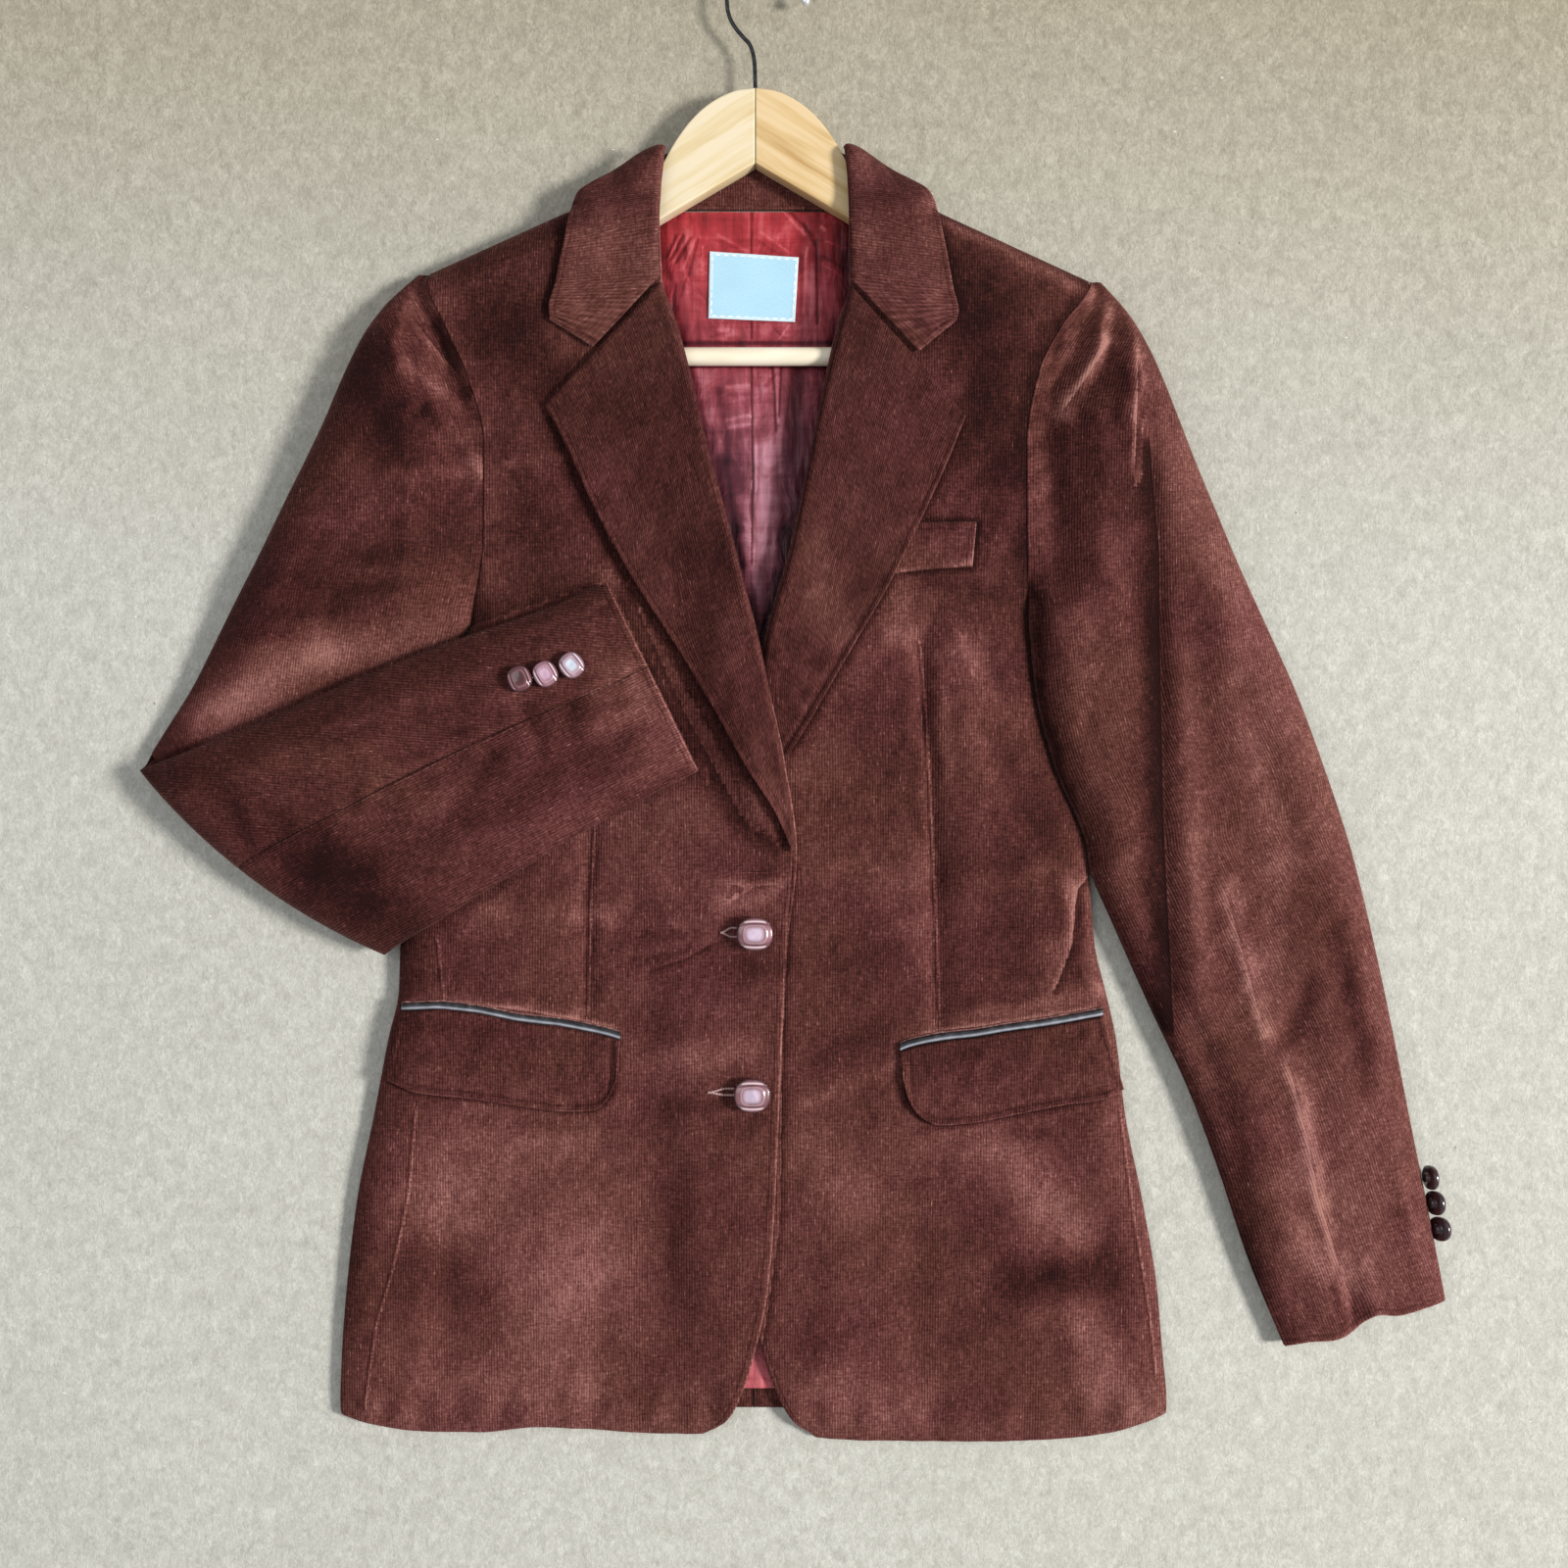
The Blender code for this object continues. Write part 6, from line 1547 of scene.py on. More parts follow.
def sleeve_relief(x, y, up, width, across, rows):
    """Creases of a sleeve, with the fulness of its cap along the armhole."""
    relief = creases(x, y, rows) + 0.3 * uneven(x, y, 50, 0.4) + 0.2 * uneven(x, y, 20, 1.2)
    cap = smoothstep((up - 500) / 60)
    relief = relief + puckers(across * width, up, 15, 0.7, 12) * cap * roll(across * 9)
    return relief * roll((1 - across) * 5) * roll(across * 12)


def sleeve_face(x, y, up, lines, columns, peak, down):
    """Height of a sleeve's top or under cloth; the top has folds and creases."""
    inner, width, share = lines
    if down:
        return sleeve_under_height(up, inner, width, columns, share)
    z = sleeve_top_height(x, y, up, inner, width, columns, share, peak)
    z = z + folds(x, y, SLEEVE_FOLDS) * roll((1 - columns) * 4) * roll(columns * 4)
    return z + sleeve_relief(x, y, up, width, columns, ARM_CREASES)


def cuff_step(up, columns):
    """The right cuff's edge: fuller towards the inside, with a step at its vent."""
    step = 4.4 * bell((columns - 0.55) / 0.1) - 3.4 * bell((columns - 0.32) / 0.13)
    return step * smoothstep((94 - up) / 36)


def long_fold(x, y):
    """The right sleeve's long fold: it dips towards a line and stands up beyond it."""
    total = 0.0
    for number, west, east in ((0, 1.4, -1.2), (1, -3.2, 1.6)):
        points = EDGES["sleeve"][number][0]
        off, _, _ = beside_path(x, y, points)
        fade = smoothstep((points[0][1] - y) / 30) * smoothstep((y - points[-1][1]) / 30)
        total = total + fade * np.where(off < 0, west * np.exp(off / 9),
                                        east - (east - west) * np.exp(-off / 5))
        total = total - fade * np.where(off > 0, east * (1 - np.exp(-off / 16)), 0)
    return total


def build_sleeve_right(cloth):
    point = SHOULDERS["right"][1][1]
    up = rows_between(point, CUFF_END, 2.7, (point, *UNDERARM))
    for count, lean, down in ((76, SLEEVE_OVERLAP, False), (24, 0.0, True)):
        inner, outer, outer_up, share = sleeve_lines(SLEEVE_RIGHT, "right", up, lean)
        width = np.hypot(outer - inner, outer_up - up)
        lines = (inner, width, share)
        columns = spread(shares(count, CLOSE_SLEEVE, CLOSE_SLEEVE), up)
        x = inner + (outer - inner) * columns
        y = up + (outer_up - up) * columns + cuff_step(up, columns)
        z = sleeve_face(x, y, up, lines, columns, SLEEVE_RIGHT("height", up), down)
        if not down:
            z = z + long_fold(x, y)
            z = z - 2.2 * bell((columns - 0.47) / 0.05) * smoothstep((84 - up) / 24)
        sleeve_sheet("sleeve_right_", x, y, z, up, lines, columns, cloth, down, 0.0, "hem")


def build_arm_left(cloth):
    point = SHOULDERS["left"][1][1]
    for last, count, lean, down in ((ARM_END, 56, SLEEVE_OVERLAP, False),
                                    (FOLD_LOW, 24, 0.0, True)):
        up = rows_between(point, last, 3.2, (point, *UNDERARM))
        inner, outer, outer_up, share = sleeve_lines(ARM_LEFT, "left", up, lean)
        width = np.hypot(outer - inner, outer_up - up)
        lines = (inner, width, share)
        columns = spread(shares(count, CLOSE_SLEEVE, CLOSE_SLEEVE), up)
        bow = ELBOW_BOW * smoothstep((UNDERARM[0] - up) / (UNDERARM[0] - FOLD_LOW)) ** 6
        bulge = bow * 4 * columns * (1 - columns) / width
        x = inner + (outer - inner) * columns - bulge * (outer_up - up)
        y = up + (outer_up - up) * columns + bulge * (outer - inner)
        z = sleeve_face(x, y, up, lines, columns, ARM_LEFT("height", up), down)
        if down:
            z = np.maximum(z, (FOLD_EDGE - 0.6) * (1 - roll(distance_to_fold(x, y) / 20)))
        else:
            free = smoothstep(above_forearm(x, y) / 45)
            z = np.where(z > PRESSED, PRESSED + (z - PRESSED) * free, z)
        sleeve_sheet("arm_left_", x, y, z, up, lines, columns, cloth, down, float(down), None)


GRAIN_TURN = {"top": -4.0, "hind": 27.0}  # degrees from x that the wales run at


def forearm_relief(x, y):
    relief = creases(x, y, FOREARM_CREASES) + 0.35 * uneven(x, y, 46, 1.4)
    return relief + 0.2 * uneven(x, y, 19, 0.3)


EDGE_STEPS = (0.0, 0.006, 0.016, 0.03, 0.05)  # columns close to the forearm's rolled edges


def build_forearm_outer(cloth):
    """The two upper pieces of the folded forearm, on both sides of its hind seam."""
    along = np.concatenate([np.linspace(0, 0.6, 12), np.linspace(0.68, 7, 72)])[:, None]
    half = 0.0001
    length = FOREARM("lower_x", along)
    for name, columns, rims, borders in (
        ("top", HIND_SEAM * shares(30, EDGE_STEPS) - half * shares(30, EDGE_STEPS), 0,
         (None, "hem", None, "join")),
        ("hind", HIND_SEAM + half + (1 - HIND_SEAM - half) * shares(34, (), EDGE_STEPS), -1,
         (None, "hem", "join", None)),
    ):
        x, y, wide = forearm_point(along, columns)
        z = forearm_top_height(along, columns, x, y, wide)
        calm = roll(distance_to_fold(x, y) / 16) * roll(columns * 7) * roll((1 - columns) * 7)
        z = z + forearm_relief(x, y) * calm
        groove = np.abs(columns - HIND_SEAM) * wide
        z = z - 0.35 * bell(groove / 1.6) * calm
        z = z + puckers(groove, length, 17, 0.45, 9) * calm
        mask = np.zeros(z.shape)
        mask[:, rims] = 1
        mask[0, :] = 1
        z += mask * SEAM / 2
        outer = stack(x, y, z)
        inner = inner_face(outer, SLEEVE_SHELL, mask)
        turn = math.radians(GRAIN_TURN[name])
        grain = np.stack([-x * math.sin(turn) + y * math.cos(turn),
                          x * math.cos(turn) + y * math.sin(turn)], axis=-1)
        cloth_shell("forearm_left_" + name, outer, inner, grain, cloth, borders, "folded")


def build_forearm_inner(cloth):
    """The under cloth of the forearm, from where the fold sets it free to the cuff."""
    along = np.linspace(3.4, 7, 40)[:, None]
    columns = shares(20, EDGE_STEPS, EDGE_STEPS)
    x, y, wide = forearm_point(along, columns)
    to_edge = np.minimum(columns, 1 - columns) * wide
    lift = FOREARM_EDGE - SEAM / 2 - FOREARM_BASE
    z = FOREARM_BASE + lift * (1 - roll(to_edge / UNDER_ROLL))
    mask = np.zeros(z.shape)
    mask[:, 0] = mask[:, -1] = 1
    outer = stack(x, y, z)
    inner = inner_face(outer, SLEEVE_SHELL, mask, down=True)
    grain = stack(columns * wide, along * 40)
    cloth_shell("forearm_left_inner", outer, inner, grain, cloth, (None, "hem", None, None),
                "folded")


LAPEL_ROLL = 3.4  # how far a lapel rounds down at its roll line


def build_lapels(cloth):
    across = shares(30, (0.0, 0.008, 0.02, 0.036, 0.056), (0.0, 0.014, 0.035))
    for side, table, last in (("left", LAPEL_LEFT, 9), ("right", LAPEL_RIGHT, 7)):
        rows = rows_between(0, last, 0.1)
        x, y = strip_points(table, rows, across)
        width = np.hypot(table("edge_x", rows) - table("roll_x", rows),
                         table("edge_y", rows) - table("roll_y", rows))
        base = front_top(side, x, y) + 2 * REST
        if side == "left":
            base = base + 1.6 * across ** 2 * smoothstep(rows / 1.5) * smoothstep((9 - rows) / 2)
        else:
            base = base + 2.2 * np.exp(-(((x - 86) / 30) ** 2) - ((y - 522) / 34) ** 2)
            base = base + (0.6 * across ** 2 * smoothstep(rows / 1.5)
                           * smoothstep((5 - rows) / 2))
        to_roll = across * width
        to_edge = (1 - across) * width
        thick = TURNED - 0.5 * bell((to_edge - 4.5) / 1.4)
        top = base + thick - LAPEL_ROLL * (1 - roll(to_roll / 4.5))
        top = top + puckers(to_edge, y, 19, 0.35, 9) * smoothstep(to_roll / 8)
        low = np.minimum(base, top - 0.5)
        along = run_along(table("edge_x", rows), table("edge_y", rows))
        grain = stack(to_roll, along)
        cloth_shell("lapel_" + side, stack(x, y, top), stack(x, y, low), grain, cloth,
                    ("seam", None, None, "hem"), "folded")


def collar_face(x, y, side):
    """Upper face of a collar leaf, which slopes down gently behind the shoulder."""
    off = distance_to_path(x, y, SILHOUETTES[side])
    rounding = 6 + 10 * smoothstep((np.abs(x - HANGER_MIDDLE) - 54) / 16)
    top = COLLAR_EDGE + (COLLAR_TOP - COLLAR_EDGE) * roll(off / rounding)
    over_front = body_height(x, np.minimum(y, FRONT_TOP)) + 2 * REST + TURNED
    over_front = over_front + 1.6 * smoothstep((y - 690) / 20)
    return np.maximum(top, over_front + (COLLAR_EDGE - over_front) * smoothstep((y - 716) / 46))


def build_collar_leaves(cloth):
    across = shares(26, (0.0, 0.012, 0.03, 0.06), (0.0, 0.02, 0.05))
    for side, table in (("left", COLLAR_LEFT), ("right", COLLAR_RIGHT)):
        rows = rows_between(0, 6, 0.075, (GORGE_ROW,))
        straight = np.clip((rows - GORGE_ROW) / 2, 0, 1)
        grid = {}
        for axis in "xy":
            start = table("roll_" + axis, np.float64(GORGE_ROW))
            end = table("roll_" + axis, np.float64(6))
            roll_line = np.where(rows > GORGE_ROW, start + (end - start) * straight,
                                 table("roll_" + axis, np.minimum(rows, GORGE_ROW)))
            grid[axis] = roll_line + (table("edge_" + axis, rows) - roll_line) * across
        x, y = grid["x"], grid["y"]
        z = collar_face(x, y, side) + 0.3 * uneven(x, y, 30, 1.9)
        fuller = 4.2 * np.sin(np.pi * across) - 2.2 * (1 - roll(across / 0.14))
        y = y + fuller * (1 - smoothstep(rows / 1.1))
        width = np.hypot(grid["x"][:, -1:] - grid["x"][:, :1],
                         grid["y"][:, -1:] - grid["y"][:, :1])
        on_neck = smoothstep((GORGE_ROW + 0.3 - rows) / 0.6)
        top = z - 2.0 * (1 - roll(across * width / 4)) * on_neck
        along = run_along(table("edge_x", rows), table("edge_y", rows))
        grain = stack(along, across * width)
        cloth_shell("collar_" + side, stack(x, y, top), stack(x, y, z - TURNED), grain, cloth,
                    (None, "hem", None, "hem"), "folded")


def build_collar_band(cloth):
    """The collar behind the neck, which rounds down at its top."""
    rows = rows_between(NECKLINE + SEAM, BAND_TOP, 1.5)
    share = shares(60)
    left, right = COLLAR_BACK("left", rows), COLLAR_BACK("right", rows)
    x = left + (right - left) * share
    y = rows + 0 * share
    rounding = smoothstep((y - BAND_TOP + BAND_ROLL) / BAND_ROLL)
    top = 5.0 - 1.6 * rounding + 0.2 * uneven(x, y, 22, 0.5)
    outer = stack(x, y, top)
    inner = stack(x, y, 1.8 * rounding ** 2)
    cloth_shell("collar_back", outer, inner, outer[..., :2], cloth,
                ("join", None, None, None), "folded")


def build_flaps(cloth):
    for side, table in (("left", FLAP_LEFT), ("right", FLAP_RIGHT)):
        rows = rows_between(0, table.rows[-1, 0], 0.1)
        across = shares(24, (), (0.0, 0.02, 0.05, 0.09))
        x, y = strip_points(table, rows, across, ("top_x", "top_y", "low_x", "low_y"))
        height = np.hypot(table("low_x", rows) - table("top_x", rows),
                          table("low_y", rows) - table("top_y", rows))
        if side == "right":
            x = x + 3.0 * smoothstep((rows - 6) / 2) * across
        inside = np.minimum(x, body_edge("right", y) - 3) if side == "right" else x
        lie = lying_on(side, inside, y)
        base = lie + 1.1 * across ** 2
        to_end = np.minimum(x - x[:1], x[-1:] - x) if x[-1, 0] > x[0, 0] else x[:1] - x
        to_low = (1 - across) * height
        near = np.minimum(to_low, to_end)
        thick = FLAP - 0.4 * bell((near - 5) / 1.5) + 0.25 * uneven(x, y, 26, 2.2)
        outer = stack(x, y, base + thick)
        cloth_shell("flap_" + side, outer, stack(x, y, base), outer[..., :2], cloth,
                    ("hem", "hem", "seam", "hem"), "laid")


def build_welt(cloth):
    rows = rows_between(0, 2, 0.05)
    across = shares(16)
    x, y = strip_points(CHEST_WELT, rows, across, ("top_x", "top_y", "low_x", "low_y"))
    base = front_top("right", x, y) + REST - 0.1
    outer = stack(x, y, base + WELT)
    cloth_shell("chest_welt", outer, stack(x, y, base), outer[..., :2], cloth,
                (None, "hem", "hem", "seam"), "laid")


PIPING_CREST = 1.5  # the piping's painted highlight lies this far above the flap
PIPING_HIGHLIGHT = 0.75


def build_piping(leather, frayed):
    turns = np.linspace(0, math.pi, 19)[None, :]
    for side, table, reach in (("left", FLAP_LEFT, (0.0, 7.4)),
                               ("right", FLAP_RIGHT, (-0.2, 8.0))):
        rows = rows_between(reach[0], reach[1], 0.08)
        offset = SEAM + PIPING_WIDTH * (1 - np.cos(turns)) / 2
        x = table("top_x", rows) + 0 * offset
        y = table("top_y", rows) + offset + 0.25 * uneven(x, x * 0, 24, 0.8)
        base = lying_on(side, x, y)
        crown = 0.5 + (PIPING_HEIGHT - 0.5) * np.sin(turns) ** 0.7
        crown = crown - 1.1 * bell((turns - 1.75) / 0.2)
        outer = stack(x, y, base + crown + 0.15 * uneven(x, y, 12, 1.1))
        crest = list(zip(table.rows[:, 1], table.rows[:, 2] + SEAM + PIPING_CREST))
        cloth_shell("piping_" + side, outer, stack(x, y, base), outer[..., :2], leather,
                    ("hem", "hem", None, None), None, "roll",
                    lambda px, py: distance_to_path(px, py, crest) / PIPING_HIGHLIGHT)
        lip_x = x[:, :1] + 0 * rows
        lip_y = table("top_y", rows) + SEAM + PIPING_WIDTH + 0.35
        lip_z = lying_on(side, lip_x, lip_y) + 0.35
        radius = 0.62 + 0.16 * uneven(lip_x, lip_x * 0, 5, 1.3)
        build_tube(f"pocket_lip_{side}", np.concatenate([lip_x, lip_y, lip_z], axis=1),
                   radius[:, 0], 8, frayed, ())


def lining_shade(x, y):
    """Painted highlights and shade of the lining's folds, painted shadow along its sides under the fronts,
    and lighter at the hem.
    """
    shade = np.zeros(np.shape(x))
    for x0, y0, x1, y1, half_width, amount in LINING_FOLDS_AND_SHADE:
        off = distance_to_line(x, y, (x0, y0), (x1, y1))
        shade = shade + (0.75 if amount < 0 else 1.0) * amount * bell(off / half_width)
    left = x - BODY("left_front", y)
    right = BODY("right_front", y) - x
    shade = shade + 0.16 * (1 - smoothstep((y - 80) / 20))
    # Painted shadow of the fronts' edges on the lining
    side = 0.14 * bell(left / 4) + 0.16 * bell(right / 5)
    return shade - side * smoothstep((y - 100) / 60)


def build_linings(lining):
    for name, table, step in (("back_lining", LINING_NECK, 1.1),
                              ("hem_lining", LINING_HEM, 1.6)):
        rows = rows_between(table.rows[0, 0], table.rows[-1, 0], step)
        share = shares(150)
        x = table("left", rows) + (table("right", rows) - table("left", rows)) * share
        y = rows + 0 * share
        base = BACK_SHELL + REST + 0 * x
        lumps = 0.6 + 0.55 * uneven(x, y * 0.5, 14, 0.7) * (0.5 + 0.5 * uneven(x, y, 34, 1.3))
        lumps = lumps + 0.25 * uneven(x, y * 0.4, 7, 2.2)
        near_label = (np.abs(x - 0.5) < 30) & (np.abs(y - 678) < 24)
        lumps = np.where(near_label, 0.1, lumps)
        top = base + LINING + np.clip(lumps + 1.1 * lining_shade(x, y), 0, 1.5)
        outer = stack(x, y, top)
        cloth_shell(name, outer, stack(x, y, base), outer[..., :2], lining, (None,) * 4, "laid",
                    "satin", lining_shade)


def build_label(label):
    (ax, ay), (bx, by), (cx, cy), (dx, dy) = LABEL
    u, v = shares(40), np.linspace(0, 1, 32)[:, None]
    x = (ax + (bx - ax) * u) * (1 - v) + (dx + (cx - dx) * u) * v
    y = (ay + (by - ay) * u) * (1 - v) + (dy + (cy - dy) * u) * v
    base = BACK_SHELL + REST + LINING + SEAM + 0.15
    top = base + 0.75 + 0.25 * uneven(x, y, 24, 0.6)
    outer = stack(x, y, top)
    cloth_shell("label", outer, stack(x, y, base + 0 * x), outer[..., :2], label, ("hem",) * 4,
                "laid", "satin")


def build_button(name, node, size, place, tilt, material, turn=0.0):
    """A domed, rounded square button: a face in a frame, between two grooves."""
    radius, depth = size
    rings = np.concatenate([np.linspace(0.01, 0.94, 60), [0.97, 0.99, 1.0, 1.0, 0.98, 0.94,
                                                          0.6, 0.38, 0.36, 0.36, 0.01]])
    side_heights = [0.74, 0.68, 0.6, 0.5, 0.4, 0.34, 0.3, 0.27, 0.2, 0.0, 0.0]
    count = len(side_heights)
    turns = np.linspace(0, 2 * math.pi, 120, endpoint=False)
    r, a = np.meshgrid(rings, turns, indexing="ij")
    fuller = (np.abs(np.cos(a)) ** 2.3 + np.abs(np.sin(a)) ** 2.3) ** (-1 / 2.3)
    fuller[-6:] = 1.0
    x, y = r * fuller * np.cos(a) * 1.03, r * fuller * np.sin(a) * 0.96
    frame_off = (np.abs(x / 0.62) ** 3 + np.abs(y / 0.5) ** 3) ** (1 / 3)
    arc = 0.74 - 0.12 * x ** 2
    bar = bell((np.abs(y) - arc) / 0.05) * roll((0.66 - np.abs(x)) / 0.16)
    ring = bell((frame_off - 1.05) / 0.09)
    face = 1 - smoothstep((frame_off - 0.45) / 0.6)
    dome = 0.74 + 0.24 * (1 - (r ** 2.4))
    height = dome + 0.03 * ring + 0.04 * bar - 0.05 * bell((np.abs(y) - arc + 0.12) / 0.04)
    # The pale lines are painted highlights on the frame and the ridges; the rim mask paints shade at the
    # edge, on the sides and in the grooves
    lines = np.maximum(0.24 * ring * (np.abs(y) < 0.55), 0.85 * bar)
    rim = np.maximum(smoothstep((r - 0.84) / 0.14), 0.7 * bell((np.abs(y) - arc + 0.12) / 0.04))
    height[-count:] = np.array(side_heights)[:, None]
    lines[-count:] = 0
    face[-count:] = 0
    rim[-count:] = 0.8
    lean = math.radians(tilt)
    c, s = math.cos(math.radians(turn)), math.sin(math.radians(turn))
    px, py, pz = (x * c - y * s) * radius, (x * s + y * c) * radius, height * depth
    points = stack(px * math.cos(lean) + pz * math.sin(lean) + place[0], py + place[1],
                   -px * math.sin(lean) + pz * math.cos(lean) + place[2])
    piece = make_mesh(name, points.reshape(-1, 3), ring_faces(*r.shape), material,
                      {"groove": lines.ravel(), "face": face.ravel(), "rim": rim.ravel()})
    dress(piece, [node])


# How far the right cuff's buttons hang over, in degrees, and how much higher each then sits
CUFF_RIGHT_HANG = [(100.0, 0.8), (112.0, 1.6), (118.0, 2.0)]

# Colours of the buttons: rim, face and pale lines; the buttons are alike, and how each one catches the
# light is painted into its colouring
RESINS = {
    "front": ((0.27, 0.11, 0.13), (0.64, 0.5, 0.62), (0.86, 0.69, 0.72)),
    "cuff_1": ((0.14, 0.042, 0.05), (0.075, 0.02, 0.023), (0.42, 0.23, 0.26)),
    "cuff_2": ((0.33, 0.15, 0.19), (0.6, 0.37, 0.5), (0.82, 0.64, 0.7)),
    "cuff_3": ((0.48, 0.27, 0.33), (0.7, 0.76, 0.86), (0.88, 0.8, 0.85)),
    "right": ((0.095, 0.034, 0.042), (0.09, 0.03, 0.038), (0.16, 0.08, 0.09)),
}


def build_buttons(thread):
    resins = {name: resin(name, *colours) for name, colours in RESINS.items()}
    for number, (x, y) in enumerate(BUTTON_STANCE, 1):
        base = float(front_top("left", np.float64(x), np.float64(y))) + REST + 0.3
        build_button(f"front_button_{number}", f"button_front_{number}", FRONT_BUTTON,
                     (x, y, base), 0, resins["front"])
        build_buttonhole(number, thread)
    for number, (x, y) in enumerate(CUFF_LEFT, 1):
        place = (x, y, forearm_height_at(x, y) + REST)
        build_button(f"cuff_button_left_{number}", f"button_cuff_left_{number}", CUFF_BUTTON,
                     place, 0, resins[f"cuff_{number}"], 104.0 + 8 * number)
    edge = SLEEVE_RIGHT.rows[:, 2:4]
    for number, (y, (tilt, rise)) in enumerate(zip(CUFF_RIGHT, CUFF_RIGHT_HANG), 1):
        x = np.interp(y, edge[:, 1], edge[:, 0]) + CUFF_RIGHT_CLEAR
        build_button(f"cuff_button_right_{number}", f"button_cuff_right_{number}",
                     CUFF_BUTTON, (x, y, CUFF_RIGHT_UP + rise), tilt, resins["right"])


# Open ends of the buttonholes, left of the buttons: apex, and where the two threads start
BUTTONHOLES = [((-18.6, 297.8), (-9.0, 300.6), (-9.0, 295.4)),
               ((-26.0, 204.8), (-10.5, 207.0), (-10.5, 203.2))]


def build_buttonhole(number, thread):
    """Frayed stitches round the open end of a buttonhole."""
    apex, upper, lower = BUTTONHOLES[number - 1]
    t = np.linspace(-1, 1, 120)
    end_x = np.where(t < 0, upper[0], lower[0])
    end_y = np.where(t < 0, upper[1], lower[1])
    px = apex[0] + (end_x - apex[0]) * np.abs(t)
    py = apex[1] + (end_y - apex[1]) * smoothstep(np.abs(t) * 1.4)
    radius = 0.55 + 0.18 * np.sin(t * 60) + 0.1 * np.sin(t * 143)
    pz = front_top("left", px, py) + 0.25
    build_tube(f"buttonhole_{number}", np.stack([px, py, pz], axis=1), radius, 8, thread, ())


def build_tube(name, points, radius, sides, material, nodes, layers=None):
    """Round wire through points, with rounded closed ends."""
    along = np.gradient(points, axis=0)
    along /= np.linalg.norm(along, axis=1, keepdims=True)
    up = np.array([0.0, 0.0, 1.0])
    side = np.cross(along, up)
    side /= np.linalg.norm(side, axis=1, keepdims=True)
    upright = np.cross(side, along)
    turns = np.linspace(0, 2 * math.pi, sides, endpoint=False)
    rings = points[:, None, :] + radius[:, None, None] * (
        np.cos(turns)[None, :, None] * side[:, None, :]
        + np.sin(turns)[None, :, None] * upright[:, None, :])
    caps = [points[0] - along[0] * radius[0] * 0.3, points[-1] + along[-1] * radius[-1] * 0.3]
    vertices = np.concatenate([rings.reshape(-1, 3), caps])
    count = len(points)
    faces = ring_faces(count, sides)
    around = np.arange(sides)
    follow = (around + 1) % sides
    first = np.stack([np.full(sides, count * sides), around, follow], axis=-1)
    base = (count - 1) * sides
    last = np.stack([np.full(sides, count * sides + 1), base + follow, base + around], axis=-1)
    mesh_faces = faces.tolist() + first.tolist() + last.tolist()
    piece = make_mesh(name, vertices, mesh_faces, material, layers)
    dress(piece, nodes)


ARM_END_OUT = 164  # length of a hanger arm, out from the middle
BAR_NOTCH = 151.7  # where the notch for the bar starts
WOOD_EDGE = 1.2  # radius of the arms' worn edges


def build_hanger_arms(woods):
    out = np.concatenate([np.linspace(0.15, 55.5, 60), np.linspace(58, 151.3, 46),
                          [151.5, BAR_NOTCH, 152.5], np.linspace(154, 163, 12), [ARM_END_OUT]])
    out = out[:, None]
    down = np.concatenate([[0, 0.004, 0.01, 0.018, 0.028, 0.06], np.linspace(0.14, 0.86, 14),
                           [0.94, 0.972, 0.982, 0.99, 0.996, 1]])[None, :]
    for side, sign in (("left", -1), ("right", 1)):
        top, low = HANGER("top", out), HANGER("bottom", out)
        x = HANGER_MIDDLE + sign * (out + 0 * down)
        y = top + (low - top) * down
        to_rim = np.minimum(down, 1 - down) * (top - low)
        rim = WOOD_EDGE * (1 - roll(to_rim / WOOD_EDGE))
        end = WOOD_EDGE * (1 - roll((ARM_END_OUT - out) / 2.0))
        thick = HANGER_DEPTH / 2
        middle = HANGER_BASE + thick
        upper = stack(x, y, middle + thick - rim - end)
        lower = stack(x, y, middle - thick + rim + end)
        rows, columns = x.shape
        count = rows * columns
        ring = np.concatenate([np.arange(columns), np.arange(1, rows) * columns + columns - 1,
                               (rows - 1) * columns + np.arange(columns - 2, -1, -1),
                               np.arange(rows - 2, 0, -1) * columns])
        follow = np.roll(ring, -1)
        sides = np.stack([ring, follow, follow + count, ring + count], axis=-1)
        faces = np.concatenate([grid_faces(rows, columns, 0),
                                grid_faces(rows, columns, count)[:, ::-1], sides])
        points = np.concatenate([upper.reshape(-1, 3), lower.reshape(-1, 3)])
        piece = make_mesh(f"hanger_{side}_wood", points, faces, woods[side])
        weld(piece)
        dress(piece, ["hanger_" + side])


def build_bar(material):
    reach = BAR_NOTCH - SEAM
    x = np.linspace(HANGER_MIDDLE - reach, HANGER_MIDDLE + reach, 60)
    build_tube("hanger_bar_ivory", stack(x, BAR_UP, HANGER_BASE + HANGER_DEPTH / 2),
               np.full(60, BAR_RADIUS), 32, material, ("hanger_bar",))


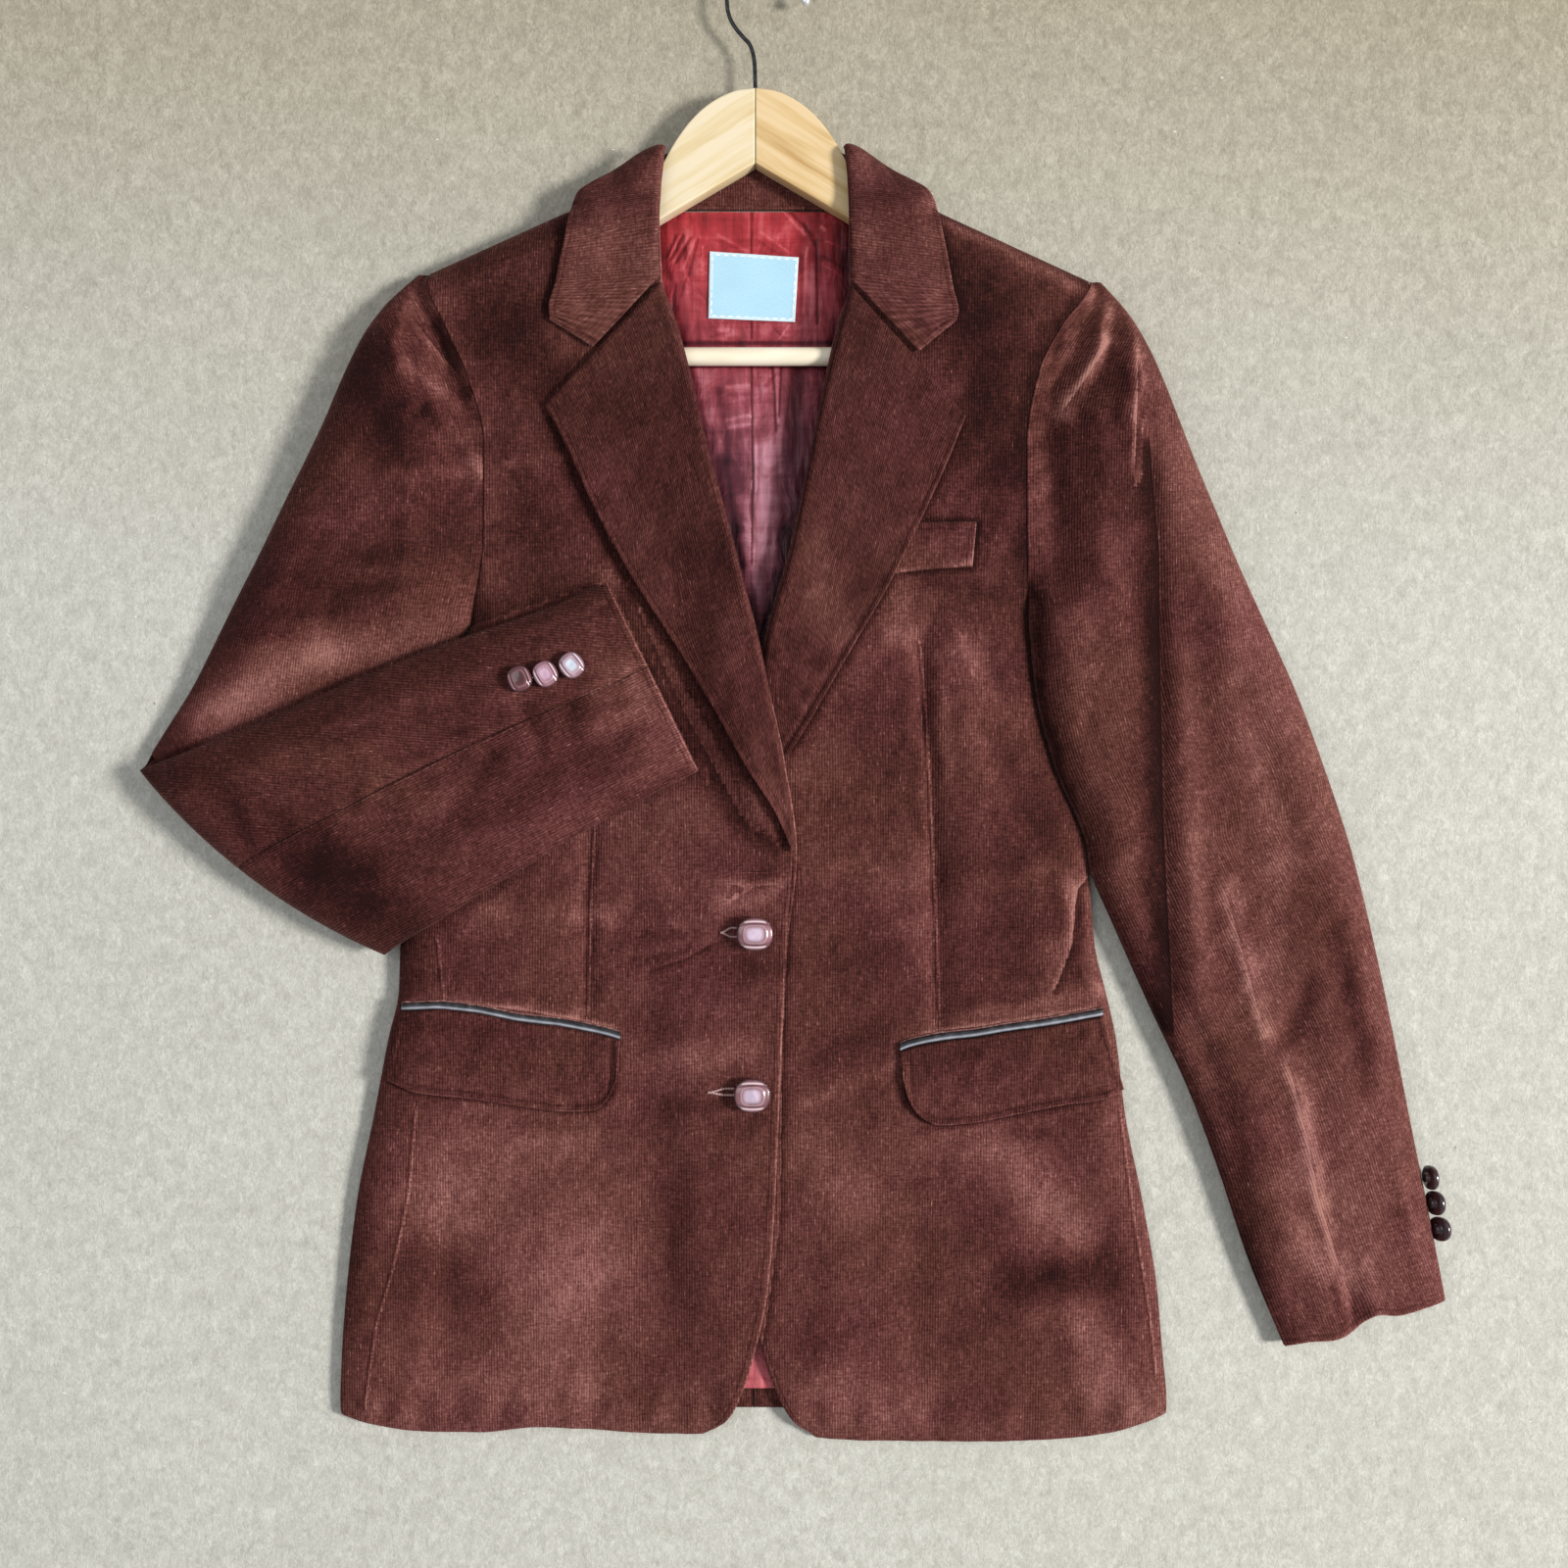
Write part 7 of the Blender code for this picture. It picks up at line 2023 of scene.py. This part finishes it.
def build_hook(material):
    """A bent wire: its stem, its round and a ball at its end."""
    turns = np.radians(np.linspace(180, HOOK_END, 60))
    cx, cy = HOOK_BEND
    stem = np.array(HOOK_STEM)
    run = np.concatenate([[0], np.cumsum(np.hypot(*np.diff(stem, axis=0).T))])
    fine = np.linspace(0, run[-1], 40)[:-1]
    stem_x = Table("run x", list(zip(run, stem[:, 0])))("x", fine)
    stem_y = Table("run y", list(zip(run, stem[:, 1])))("y", fine)
    round_x = cx + HOOK_BEND_RADIUS * np.cos(turns)
    round_y = cy + HOOK_BEND_RADIUS * np.sin(turns)
    ball = np.linspace(0.4, 6.9, 16)
    px = np.concatenate([stem_x, round_x, np.full(16, round_x[-1])])
    py = np.concatenate([stem_y, round_y, round_y[-1] - ball])
    radius = np.full(len(px), HOOK_RADIUS)
    swell = HOOK_BALL * np.sqrt(np.clip(1 - ((ball - 3.9) / 3.05) ** 2, 0.01, 1))
    radius[-16:] = np.maximum(swell, np.where(ball < 3, HOOK_RADIUS, 0.25))
    tip = np.where(np.arange(len(px)) >= len(px) - 13, 1.0, 0.0)
    build_tube("hanger_hook_wire", stack(px, py, HANGER_BASE + HANGER_DEPTH / 2), radius, 20,
               material, ("hanger_hook",),
               {"tip": np.concatenate([np.repeat(tip, 20), [0.0, 1.0]])})


# ---- Floor, lights and camera ----

CAMERA_PLACE = (18.5, 384.5, 1050.0)
CAMERA_LENS = 40.73  # on a 36 mm sensor
FLOOR_HALF = 3200.0
# Name, place, size, power and colour of each light
LIGHTS = [("key", (5.0, -0.3, 3.8), 1.35, 535.0, (1.0, 0.985, 0.96)),
          ("fill", (-1.6, 0.6, 2.6), 2.2, 20.0, (0.94, 0.97, 1.0))]
FLOOR_DOWN = 0.3  # the floor lies this far under the cloth, in millimetres


def build_floor(material):
    cx, cy, _ = CAMERA_PLACE
    points = np.array([(cx + FLOOR_HALF * x, cy + FLOOR_HALF * y, -FLOOR_DOWN)
                       for x, y in ((-1, -1), (1, -1), (1, 1), (-1, 1))])
    make_mesh("floor", points, np.array([[0, 1, 2, 3]]), material)


def build_light(name, place, size, power, colour):
    """A round soft light that points at the origin."""
    light = bpy.data.lights.new(name, "AREA")
    light.shape = "DISK"
    light.size = size
    light.energy = power
    light.color = colour
    thing = bpy.data.objects.new(name, light)
    thing.location = place
    thing.rotation_euler = (-Vector(place)).to_track_quat("-Z", "Y").to_euler()
    bpy.context.scene.collection.objects.link(thing)


def build_view():
    scene = bpy.context.scene
    place = (np.array(CAMERA_PLACE) + SHIFT) * MM
    camera = bpy.data.cameras.new("camera")
    camera.lens = CAMERA_LENS
    camera.sensor_width = 36.0
    camera.clip_end = 20.0
    camera.dof.use_dof = False
    thing = bpy.data.objects.new("camera", camera)
    thing.location = place
    scene.collection.objects.link(thing)
    scene.camera = thing
    for light in LIGHTS:
        build_light(*light)
    world = scene.world or bpy.data.worlds.new("world")
    scene.world = world
    world.use_nodes = True
    back = world.node_tree.nodes["Background"]
    back.inputs[0].default_value = (0.92, 0.95, 1.0, 1.0)
    back.inputs[1].default_value = 0.42
    scene.view_settings.view_transform = "Standard"


cloth = velvet()
for build in (build_backs, build_fronts, build_sleeve_right, build_arm_left, build_forearm_outer,
              build_forearm_inner, build_lapels, build_collar_leaves, build_collar_band,
              build_flaps, build_welt):
    build(cloth)
build_piping(leather(), worn_edge())
build_linings(satin())
build_label(label_cloth())
build_buttons(cut_thread())
build_hanger_arms({
    "left": wood("pale_wood_left", 32.0, (0.74, 0.63, 0.44), (0.69, 0.56, 0.33),
                 (0.58, 0.42, 0.21)),
    "right": wood("pale_wood_right", -32.0, (0.7, 0.52, 0.29), (0.62, 0.43, 0.2),
                  (0.47, 0.28, 0.1)),
})
build_bar(ivory())
build_hook(dark_wire())
build_floor(paper())
build_view()
